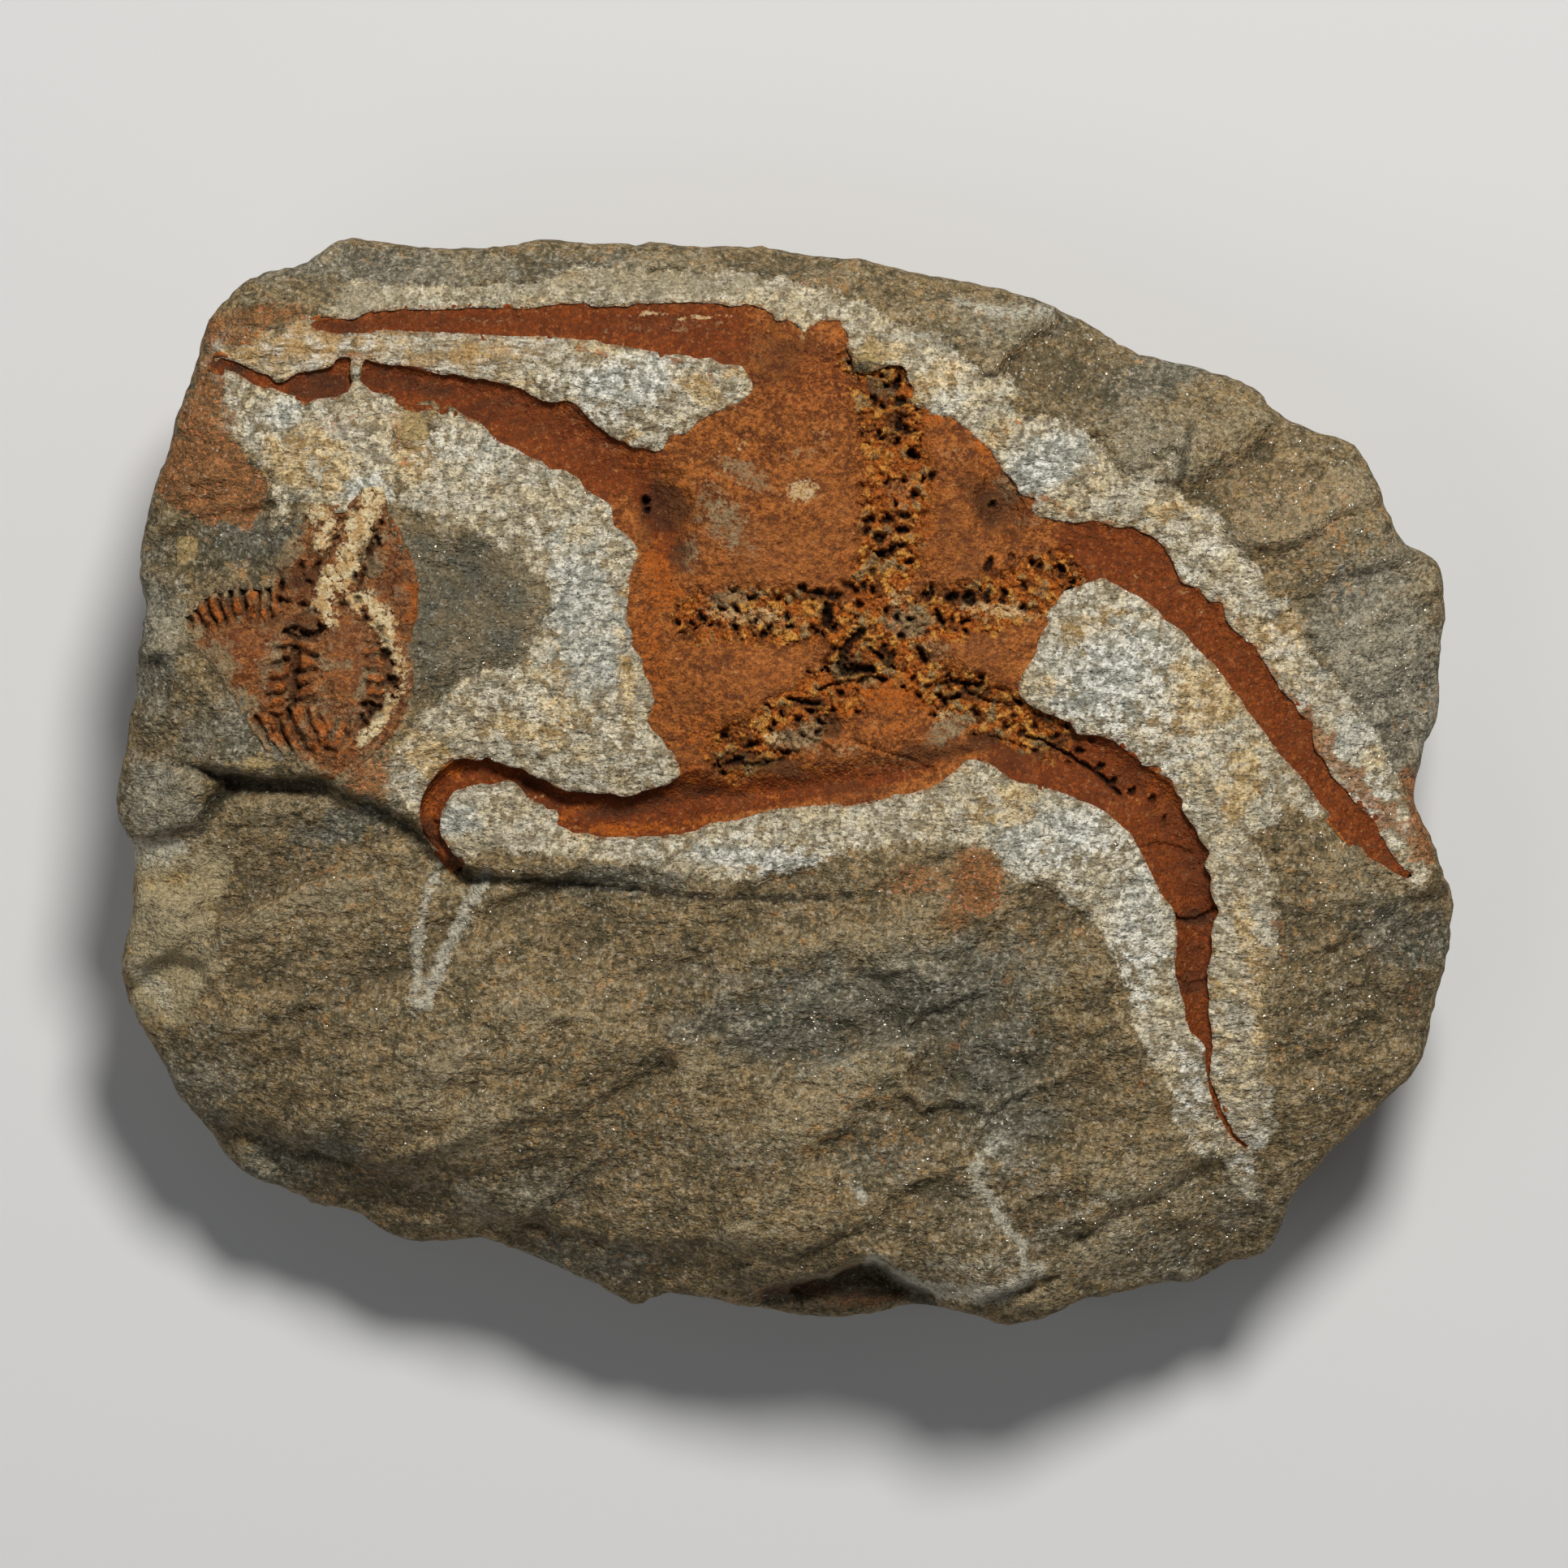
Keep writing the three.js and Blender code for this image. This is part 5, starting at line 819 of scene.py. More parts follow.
def rock_mesh():
    """One closed skin: face, broken sides, underside and the pockets of the fossils."""
    step_out = 0.62
    out = soften(resample(soften(resample(OUT, 0.62), 2), step_out), 1)
    n = len(out)
    nrm = normals2(out)
    nrm = soften(nrm, 6); nrm /= np.hypot(*nrm.T)[:, None]
    jag = 0.30 * noise(xyz(out[:, 0], out[:, 1]) / 2.2, 101) + 0.16 * noise(xyz(out[:, 0], out[:, 1]) / 0.9, 102)
    out = out - nrm * (0.12 + np.abs(jag))[:, None]
    shoulder = out - nrm * 0.95
    rimz = plate(out[:, 0], out[:, 1]) + ledges(out[:, 0], out[:, 1])

    def hole(poly, lo, hi, seed, step=0.24):
        q = resample(soften(resample(poly, step), 1, 0.2), step)
        m = normals2(q); m = soften(m, 2); m /= np.hypot(*m.T)[:, None]
        w = 0.5 + 0.5 * noise(xyz(q[:, 0], q[:, 1]) / 0.9, seed) + 0.3 * noise(xyz(q[:, 0], q[:, 1]) / 0.35, seed + 1)
        q = q - m * (lo + (hi - lo) * np.clip(w, 0, 1))[:, None]
        return q

    holes = [hole(STAR, 0.06, 0.26, 111), hole(STARB, 0.05, 0.2, 113), hole(PART, 0.5, 1.1, 115)]
    box = (out[:, 0].min(), out[:, 1].min(), out[:, 0].max(), out[:, 1].max())
    fine = scatter(box, 0.215, 1)
    coarse = scatter(box, 0.47, 2)
    pm = prep_mask(fine[:, 0], fine[:, 1])
    pmc = prep_mask(coarse[:, 0], coarse[:, 1])
    pts = np.vstack([fine[pm > 0.25], coarse[pmc <= 0.25]])
    ok = inside(pts[:, 0], pts[:, 1], shoulder)
    pts = pts[ok]
    d = on_line(pts[:, 0], pts[:, 1], shoulder, closed=True)[0]
    pts = pts[d > 0.3]
    for h in holes:
        s = signed(pts[:, 0], pts[:, 1], h)
        pts = pts[s < -0.13]

    def keep(cx, cy):
        k = inside(cx, cy, shoulder)
        for h in holes:
            k &= ~inside(cx, cy, h)
        return k

    V, T, ids = triangulate([shoulder] + holes, pts, keep)
    z, m = rock_z(V[:, 0], V[:, 1])
    rim_d = on_line(V[:, 0], V[:, 1], out, closed=True)[0]
    z -= 0.55 * np.exp(-np.maximum(rim_d - 0.9, 0) / 1.1)               # the face rounds over at the rim
    verts = [np.column_stack([V, z])]
    tris = [T]
    m['near'] = np.clip(m['near'], 0, 1)
    att = {k: [m[k]] for k in ('prep', 'near', 'ds', 'dp', 'cell', 'rid', 'rel')}
    att['side'] = [np.zeros(len(V))]
    count = len(V)

    def ring(p, zz, like=None, side=0.0, **over):
        nonlocal count
        verts.append(np.column_stack([p, zz]))
        k = len(p)
        for name in att:
            v = over.get(name, 0.0 if name in ('prep', 'near') else (-9.0 if name in ('ds', 'dp') else 0.5 if name in ('cell', 'rid', 'rel') else side))
            att[name].append(np.full(k, v) if np.isscalar(v) else v)
        ids_ = np.arange(count, count + k)
        count += k
        return ids_

    # sides: from the shoulder over the widest outline to the foot
    prof = [(0.45, -0.35, 0), (0.12, -1.1, 0), (0.0, -2.2, 0)]
    prev = ids[0]
    zsh = z[ids[0]]
    pts3 = []
    for inset, dz, _ in prof:
        p = out - nrm * inset
        jit = 0.12 * noise(np.column_stack([p, rimz + dz]) / 0.8, 121)
        cur = ring(p + nrm * np.minimum(jit, 0)[:, None] * 0.8, zsh + dz + 0.15 * jit, side=1.0)
        tris.append(band(prev, cur)); prev = cur
    levels = [(0.12, .80), (0.3, .74), (0.55, .68), (1.1, .62), (1.3, .56), (1.65, .50), (2.1, .44), (2.8, .36), (3.4, .29), (4.1, .22), (5.2, .14), (6.2, .07), (7.2, .025)]
    top_z = zsh - 2.2
    for inset, f in levels:
        c = np.hypot(out[:, 0], out[:, 1])
        base_p = out * (1 - inset / c)[:, None]
        zz = top_z * (f / 0.86)
        q = np.column_stack([base_p, zz])
        bed = np.column_stack([base_p / 26.0, zz / 2.6])                  # beds run level round the block
        n3 = 0.75 * fbm(q / 7.5, 3, 131, ridged=True) + 0.5 * fbm(bed, 2, 132) + 0.22 * fbm(q / 1.7, 2, 133)
        depth = 0.9 * smooth(0.9, 0.6, np.full(len(zz), f)) + 0.15
        p = base_p - nrm * ((0.55 + n3) * depth)[:, None].clip(0.0, None)
        cur = ring(p, zz + 0.35 * noise(q / 2.1, 134) * smooth(0.0, 4.0, zz), side=1.0)
        tris.append(band(prev, cur)); prev = cur
    foot = out * (1 - 8.0 / np.hypot(out[:, 0], out[:, 1]))[:, None]
    foot = soften(foot, 3)
    fj = 0.5 * noise(xyz(foot[:, 0], foot[:, 1]) / 2.5, 135)
    foot = foot + nrm * fj[:, None]
    cur = ring(foot, np.zeros(n), side=1.0)
    tris.append(band(prev, cur)); prev = cur
    # underside: a split bed, level where it rests, with shallow hollows
    b = scatter(box, 1.25, 3)
    b = b[inside(b[:, 0], b[:, 1], foot)]
    b = b[on_line(b[:, 0], b[:, 1], foot, closed=True)[0] > 0.9]
    W, T2, ib = triangulate([foot], b, lambda cx, cy: inside(cx, cy, foot))
    remap = np.empty(len(W), np.int64)
    onl = np.zeros(len(W), bool); onl[ib[0]] = True
    remap[ib[0]] = cur
    free = W[~onl]
    fr = on_line(free[:, 0], free[:, 1], foot, closed=True)[0]
    hollow = 0.6 * np.clip(fbm(xyz(free[:, 0], free[:, 1]) / 9.0, 4, 141) - 0.05, 0, 1) * smooth(0.5, 4.0, fr)
    hollow += 0.12 * np.clip(fbm(xyz(free[:, 0], free[:, 1]) / 2.0, 2, 142), 0, 1)
    new = ring(free, hollow, side=2.0)
    remap[~onl] = new
    tris.append(remap[T2][:, ::-1])
    # pockets: walls down beside each fossil and a plain floor
    for k, (h, dep) in enumerate(zip(holes, (3.6, 3.2, 3.0))):
        m2 = normals2(h)
        zr = z[ids[1 + k]]
        m2 = soften(m2, 4); m2 /= np.hypot(*m2.T)[:, None]
        a1 = ring(h + m2 * 0.03, zr - 0.35, side=3.0, ds=np.zeros(len(h)), near=1.0)
        tris.append(band(a1, ids[1 + k]))
        b0 = plate(h[:, 0], h[:, 1])
        a2 = ring(h + m2 * 0.55, b0 - dep, side=3.0, ds=np.zeros(len(h)), near=1.0)
        tris.append(band(a2, a1))
        hh = h + m2 * 0.55
        F, T3, i3 = triangulate([hh], np.zeros((0, 2)), lambda cx, cy, hh=hh: inside(cx, cy, hh))
        back = np.full(len(F), -1); back[i3[0]] = a2
        if (back < 0).any():
            ex = F[back < 0]
            back[back < 0] = ring(ex, plate(ex[:, 0], ex[:, 1]) - dep, side=3.0, near=1.0)
        tris.append(back[T3])
    verts = np.vstack(verts)
    tris = np.vstack(tris)
    att = {k: np.concatenate(v) for k, v in att.items()}
    return verts, tris, att, dict(face=len(V), T=T, V=V, z=z, m=m)


def level_out(V, T, z, rounds):
    """Mean height of the surroundings, by averaging over the mesh."""
    e = np.vstack([T[:, :2], T[:, 1:], T[:, ::2]])
    e = np.vstack([e, e[:, ::-1]])
    n = len(V)
    deg = np.bincount(e[:, 0], minlength=n)
    s = z.copy()
    for _ in range(rounds):
        s = 0.35 * s + 0.65 * np.bincount(e[:, 0], weights=s[e[:, 1]], minlength=n) / np.maximum(deg, 1)
    return s


def plate_mesh(loop, step, zfun, thick, seed, skirt=0.5):
    """A closed plate: surface zfun inside a loop, sides and a plain underside."""
    lo, hi = loop.min(0), loop.max(0)
    pts = scatter((lo[0], lo[1], hi[0], hi[1]), step, seed)
    s = signed(pts[:, 0], pts[:, 1], loop)
    pts = pts[s > 0.55 * step]
    V, T, ids = triangulate([loop], pts, lambda cx, cy: inside(cx, cy, loop))
    z, m = zfun(V[:, 0], V[:, 1])
    n0 = len(V)
    edge = ids[0]
    b0 = plate(loop[:, 0], loop[:, 1]) + ledges(loop[:, 0], loop[:, 1])
    ring1 = np.column_stack([loop, np.minimum(z[edge] - 0.3, b0 - thick + 0.6)])
    ring2 = np.column_stack([loop, b0 - thick])
    i1 = np.arange(n0, n0 + len(loop)); i2 = i1 + len(loop)
    F, T3, i3 = triangulate([loop], np.zeros((0, 2)), lambda cx, cy: inside(cx, cy, loop))
    back = np.full(len(F), -1); back[i3[0]] = i2
    extra = F[back < 0]
    back[back < 0] = np.arange(n0 + 2 * len(loop), n0 + 2 * len(loop) + len(extra))
    ex = np.column_stack([extra, plate(extra[:, 0], extra[:, 1]) - thick]) if len(extra) else np.zeros((0, 3))
    verts = np.vstack([np.column_stack([V, z]), ring1, ring2, ex])
    tris = np.vstack([T, band(edge, i1), band(i1, i2), back[T3][:, ::-1]])
    pad = len(verts) - n0
    m = {k: np.r_[v, np.zeros(pad)] for k, v in m.items()}
    return verts, tris, m, edge


def arm_mesh(name, du, zfun):
    """A closed strip along an arm, fine on top, plain below."""
    l, r = ARM_EDGE[name]
    mid = (l + r) / 2
    run = np.r_[0, np.cumsum(np.hypot(*np.diff(mid, axis=0).T))]
    n = int(run[-1] / du)
    q = np.linspace(0, run[-1], n)

    def curve(p):
        # rounded through the stations
        return np.stack([np.interp(q, run, p[:, 0]), np.interp(q, run, p[:, 1])], 1)

    L, R = curve(l), curve(r)
    for _ in range(12):
        L[1:-1] = 0.5 * L[1:-1] + 0.25 * (L[:-2] + L[2:])
        R[1:-1] = 0.5 * R[1:-1] + 0.25 * (R[:-2] + R[2:])
    w = np.hypot(*(L - R).T)
    over = 0.5
    U = (R - L) / w[:, None]
    k = max(14, int((w.max() + 2 * over) / du))
    t = np.linspace(0, 1, k)
    tuck = np.minimum(1.0, (np.arange(n) + 2) / 9.0)[:, None] * over + 0.02
    A, B = L - U * tuck, R + U * tuck
    # a short tongue goes under the disc at the fork
    back = (A[0] + B[0]) / 2 - (A[3] + B[3]) / 2
    back /= np.hypot(*back)
    A = np.vstack([A[0] + back * 0.45 + U[0] * 0.3, A[0] + back * 0.2 + U[0] * 0.15, A])
    B = np.vstack([B[0] + back * 0.45 - U[0] * 0.3, B[0] + back * 0.2 - U[0] * 0.15, B])
    n += 2
    w = np.r_[w[0], w[0], w]
    G = A[:, None] + (B - A)[:, None] * t[None, :, None]
    V = G.reshape(-1, 2)
    z, m = zfun(V[:, 0], V[:, 1])
    idx = np.arange(n * k).reshape(n, k)
    z[idx[0]] -= 0.12; z[idx[1]] -= 0.06; z[idx[2]] -= 0.02
    a, b, c, d = idx[:-1, :-1].ravel(), idx[:-1, 1:].ravel(), idx[1:, 1:].ravel(), idx[1:, :-1].ravel()
    T = np.vstack([np.stack([a, b, c], 1), np.stack([a, c, d], 1)])
    p, q2, s = V[T[:, 0]], V[T[:, 1]], V[T[:, 2]]
    area = ((q2[:, 0] - p[:, 0]) * (s[:, 1] - p[:, 1]) - (q2[:, 1] - p[:, 1]) * (s[:, 0] - p[:, 0])).sum()
    if area < 0:
        T = T[:, ::-1]
    # border loop, counter-clockwise with the surface
    bl = np.r_[idx[0, :], idx[1:, -1], idx[-1, -2::-1], idx[-2:0:-1, 0]]
    P = V[bl]
    if ((P[:, 0] * np.roll(P[:, 1], -1) - np.roll(P[:, 0], -1) * P[:, 1]).sum()) < 0:
        bl = bl[::-1]
    low = z.reshape(n, k).min(1) - 1.9 * np.minimum(1, 0.4 + w / 5)
    for _ in range(30):
        low[1:-1] = 0.5 * low[1:-1] + 0.25 * (low[:-2] + low[2:])
    zb = np.repeat(low, k)[bl]
    n0 = len(V); i2 = np.arange(n0, n0 + len(bl))
    # underside: quads straight across, from the border's two long sides
    jb = np.full(n0, -1); jb[bl] = i2
    und = []
    und.append(np.stack([jb[idx[:-1, 0]], jb[idx[:-1, -1]], jb[idx[1:, -1]]], 1))
    und.append(np.stack([jb[idx[:-1, 0]], jb[idx[1:, -1]], jb[idx[1:, 0]]], 1))
    und = np.vstack(und)
    # the two ends of the underside are fans
    e0 = jb[idx[0, :]]; e1 = jb[idx[-1, :]]
    f0 = np.stack([np.full(k - 2, e0[0]), e0[1:-1], e0[2:]], 1)
    f1 = np.stack([np.full(k - 2, e1[0]), e1[2:], e1[1:-1]], 1)
    verts = np.vstack([np.column_stack([V, z]), np.column_stack([V[bl], zb])])

    def turned(tr, down=True):
        p, q_, s_ = verts[tr[:, 0], :2], verts[tr[:, 1], :2], verts[tr[:, 2], :2]
        ar = ((q_[:, 0] - p[:, 0]) * (s_[:, 1] - p[:, 1]) - (q_[:, 1] - p[:, 1]) * (s_[:, 0] - p[:, 0])).sum()
        return tr if (ar < 0) == down else tr[:, ::-1]

    tris = np.vstack([T, band(bl, i2), turned(und)])
    m = {kk: np.r_[v, np.zeros(len(bl))] for kk, v in m.items()}
    return verts, tris, m, bl


GLINT = [(1600, 620, 150, 110, 0, 1.0), (1710, 830, 90, 190, 5, 1.0), (1450, 1490, 170, 80, -20, 1.0), (1050, 1270, 130, 70, 0, .8), (1650, 1150, 130, 200, 0, .7), (1450, 700, 160, 220, 30, .6), (1330, 1040, 160, 60, 20, .6),
         (1330, 420, 220, 60, 20, .6), (1200, 1450, 200, 120, 0, .5), (600, 1250, 260, 120, 0, .3), (620, 740, 160, 200, 0, .35)]


def mica(verts, tris, att, info, count):
    """Loose mica flakes that lie in the surface, tilted enough to catch a light from above."""
    rng = np.random.default_rng(77)
    T, V, z = info['T'], info['V'], info['z']
    P3 = np.column_stack([V, z])
    a, b, c = P3[T[:, 0]], P3[T[:, 1]], P3[T[:, 2]]
    area = np.linalg.norm(np.cross(b - a, c - a), axis=1)
    cen = (a + b + c) / 3
    w = area * (0.05 + blobs(cen[:, 0], cen[:, 1], GLINT, 0.6, 78))
    k = rng.choice(len(T), count, p=w / w.sum())
    up = np.array([0.07, 0.25, 0.965])
    nrm = up + rng.normal(0, 0.075, (count, 3)) * [1, 1, 0]
    nrm /= np.linalg.norm(nrm, axis=1)[:, None]
    ex = np.cross(nrm, [0, 1, 0]); ex /= np.linalg.norm(ex, axis=1)[:, None]
    ey = np.cross(nrm, ex)
    r = rng.uniform(0.05, 0.13, count)
    turn = rng.uniform(0, 2 * math.pi, count)
    ring = []
    for i in range(5):
        t = turn + 2 * math.pi * i / 5
        q = r * rng.uniform(0.75, 1.1, count)
        ring.append(cen[k] + nrm * 0.05 + ex * (np.cos(t) * q)[:, None] + ey * (np.sin(t) * q)[:, None])
    F = np.stack(ring, 1).reshape(-1, 3)
    n0 = len(verts)
    i = n0 + 5 * np.arange(count)
    tr = np.vstack([np.stack([i, i + 1, i + 2], 1), np.stack([i, i + 2, i + 3], 1), np.stack([i, i + 3, i + 4], 1)])
    p, q, s = F[tr[:, 0] - n0], F[tr[:, 1] - n0], F[tr[:, 2] - n0]
    flip = np.cross(q - p, s - p)[:, 2] < 0
    tr[flip] = tr[flip][:, ::-1]
    out = {name: np.r_[val, np.zeros(len(F))] for name, val in att.items()}
    out['mica'] = np.r_[np.zeros(n0), np.ones(len(F))]
    return np.vstack([verts, F]), np.vstack([tris, tr]), out

# ----------------------------------------------------------- colour of marks
def strokes(x, y, items, rag=0.2, seed=11):
    """Soft strokes along plan lines: line, half width px, strength."""
    P = xyz(x, y)
    w = rag * (noise(P / 1.1, seed) + 0.6 * noise(P / 0.4, seed + 1))
    out = np.zeros(len(x))
    for line, hw, st in items:
        l = plan(line)
        lo, hi = l.min(0) - hw * S * 2 - 1, l.max(0) + hw * S * 2 + 1
        m = (x > lo[0]) & (x < hi[0]) & (y > lo[1]) & (y < hi[1])
        if m.any():
            d = on_line(x[m], y[m], l)[0] + w[m]
            out[m] = np.maximum(out[m], st * (1 - smooth(0.3, 1.2, d / (hw * S))))
    return out


GREY = [(520, 335, 240, 36, -2, .8), (1080, 1235, 250, 85, 8, 1.0), (1240, 1340, 105, 120, 20, 1.0), (940, 1270, 130, 60, -10, .9), (1700, 830, 105, 190, 5, 1.0), (1735, 1150, 90, 50, -25, .8),
        (470, 335, 110, 38, 0, .7), (700, 330, 160, 26, 0, .55), (200, 985, 70, 55, 0, 1.0), (190, 790, 45, 130, 0, .9), (300, 900, 90, 60, 20, .8),
        (340, 665, 130, 32, 5, .85), (560, 745, 115, 120, 0, .9), (350, 1430, 130, 45, 20, .7), (620, 1470, 160, 40, 12, .5), (1400, 1545, 150, 50, -15, .6),
        (1430, 560, 70, 60, 30, .8), (1240, 400, 140, 40, 20, .6), (1420, 470, 120, 40, 25, .7), (440, 1014, 90, 24, 18, 1.0), (760, 1085, 150, 22, 3, .8),
        (850, 1200, 70, 30, -20, .6), (1190, 1500, 70, 60, 0, .5), (1500, 1480, 120, 40, -20, .5), (1680, 1250, 80, 90, 0, .35), (700, 1560, 150, 40, 10, .6),
        (250, 1330, 60, 80, 30, .6), (1080, 1440, 60, 40, 0, .45), (900, 1420, 90, 30, 0, .4), (540, 1310, 80, 40, 0, .35)]
BROWN = [(1590, 620, 120, 90, 0, 1.0), (420, 1180, 170, 90, 10, .8), (700, 1200, 150, 70, 0, .7), (1000, 1130, 160, 40, 0, .5), (1400, 1330, 130, 120, 0, .6),
         (900, 1500, 170, 50, 5, .6), (1640, 1340, 90, 90, 0, .5), (560, 1420, 120, 40, 0, .4), (1240, 470, 90, 30, 25, .6)]
RUST = [(876, 470, 14, 8, -40, .6), (702, 500, 16, 7, 10, .6), (1632, 918, 30, 8, 50, 1.0), (1668, 962, 30, 9, 50, 1.0), (1706, 1008, 34, 11, 52, .95), (1590, 868, 16, 6, 45, .8), (1590, 620, 110, 80, 0, .22), (1540, 690, 60, 30, 30, .2), (285, 405, 44, 26, -10, 1.0), (330, 385, 60, 12, 0, .8), (262, 520, 34, 60, 15, .7), (1206, 1090, 44, 50, 10, 1.0), (1130, 1085, 60, 26, 5, .55), (1175, 1135, 26, 14, 0, .6), (494, 552, 16, 62, 12, .42), (470, 610, 10, 20, 0, .3), (300, 395, 60, 22, -5, .7),
        (258, 470, 22, 60, 10, .75), (455, 955, 40, 32, 0, .8), (1752, 1015, 20, 62, -12, 1.0), (1737, 965, 12, 20, 0, .9), (1572, 1140, 10, 10, 0, .8),
        (236, 560, 28, 70, 0, .6), (345, 390, 50, 14, 0, .6), (1405, 1335, 7, 7, 0, .8), (1240, 1210, 12, 8, 0, .7), (1175, 1290, 10, 8, 0, .5),
        (980, 1590, 60, 12, 5, .8), (1060, 1600, 70, 12, 3, .7), (420, 520, 70, 16, 10, .35), (1740, 1230, 12, 30, 0, .4), (1000, 350, 60, 12, 5, .3)]
OCHRE = [(1490, 850, 46, 90, -35, .85), (1365, 772, 60, 30, 10, .6), (1530, 960, 30, 60, -20, .6), (1500, 1250, 16, 90, 6, .4), (1230, 985, 60, 16, 5, .4), (506, 548, 26, 50, 8, 1.1), (228, 680, 15, 24, 5, 1.0), (868, 482, 60, 13, -32, 1.0), (905, 460, 18, 12, 0, .9), (1088, 432, 40, 18, 5, .9), (1150, 470, 60, 22, 35, .8), (1250, 520, 50, 20, 40, .5),
         (375, 560, 70, 34, 10, .75), (300, 440, 60, 14, 4, .6), (640, 700, 14, 30, 0, .4), (1300, 850, 26, 20, 0, .7), (1330, 800, 30, 30, 0, .4), (1450, 880, 60, 16, 30, .4),
         (620, 470, 60, 10, 8, .5), (780, 540, 30, 10, 30, .8), (1420, 640, 90, 14, 28, .5), (1560, 800, 40, 70, -30, .55), (530, 930, 60, 30, -20, .6), (640, 900, 60, 24, 0, .5),
         (1540, 1180, 20, 120, 8, .6), (1220, 1010, 60, 14, 10, .5), (900, 1070, 60, 10, 0, .3), (200, 1200, 60, 90, 0, .7), (240, 1090, 70, 30, 0, .7), (320, 940, 40, 18, 10, .7),
         (410, 590, 30, 20, 0, .8), (400, 650, 26, 20, 0, .7), (770, 800, 10, 120, 4, .55), (690, 870, 40, 60, 0, .4), (1100, 480, 30, 20, 0, .5)]
BLUISH = [(720, 760, 50, 110, 10, .9), (560, 1010, 40, 22, -15, 1.0), (1360, 830, 90, 60, 25, .8), (1290, 570, 60, 34, 30, .9), (780, 470, 90, 30, 10, .7), (940, 1060, 120, 16, -5, .9),
          (1290, 1030, 90, 40, 15, .8), (1410, 1130, 40, 80, 15, .6), (1670, 900, 60, 30, 45, .6), (1620, 840, 14, 60, -35, .4), (600, 560, 60, 30, 25, .5), (450, 600, 30, 22, 0, 1.0), (340, 510, 60, 18, 25, .6)]
BRIGHT = [(760, 480, 120, 60, 12, 1.0), (1370, 840, 110, 110, 20, 1.0), (1420, 950, 60, 120, -20, .9), (1320, 1040, 110, 50, 20, .9), (1400, 1180, 50, 120, -10, .9), (1470, 1340, 34, 90, -12, 1.0), (1540, 1440, 30, 50, -20, 1.0),
          (1180, 480, 90, 40, 30, .7), (1290, 570, 100, 40, 30, .9), (1450, 700, 90, 40, 35, .7), (1560, 800, 70, 60, 40, .7), (1690, 990, 50, 70, 40, .9), (540, 545, 60, 60, 0, .8), (450, 600, 40, 30, 0, 1.0), (700, 640, 70, 80, 0, .5),
          (650, 880, 120, 40, -10, .5), (480, 930, 30, 60, 0, .6), (940, 1050, 140, 24, -5, .8), (320, 510, 70, 24, 20, .7)]
PALEV = [([(545, 1062), (524, 1110), (514, 1160), (512, 1235), (530, 1240)], 9, .9), ([(600, 1078), (575, 1120), (556, 1160), (530, 1215), (516, 1242)], 11, 1.0),
         ([(1212, 1290), (1206, 1340), (1212, 1390)], 8, .35), ([(1232, 1408), (1212, 1420), (1200, 1448), (1216, 1472), (1232, 1498), (1250, 1520), (1262, 1545), (1262, 1575)], 9, .9), ([(1234, 1406), (1206, 1422)], 12, .7),
         ([(1300, 1440), (1312, 1480)], 9, .45), ([(1390, 1415), (1400, 1460), (1408, 1480)], 7, .3), ([(1520, 1420), (1545, 1470)], 14, .7), ([(1075, 1551), (1100, 1568), (1150, 1588), (1200, 1594), (1240, 1592), (1280, 1560)], 14, .9), ([(1150, 1560), (1240, 1560)], 16, .5), ([(1345, 1482), (1392, 1464)], 9, .6), ([(1062, 1468), (1064, 1474)], 8, 1.0), ([(160, 1050), (215, 1045)], 24, .8), ([(165, 1190), (200, 1230)], 20, .6),
         ([(1180, 370), (1235, 386), (1290, 384)], 11, .75), ([(690, 345), (760, 350)], 14, .5), ([(1050, 1455), (1068, 1480)], 7, .7), ([(380, 1330), (440, 1290)], 10, .3), ([(260, 1260), (300, 1330)], 9, .3),
         ([(1340, 1490), (1240, 1545)], 10, .4), ([(250, 445), (300, 455), (420, 460)], 7, .6), ([(1445, 590), (1455, 530)], 8, .4)]
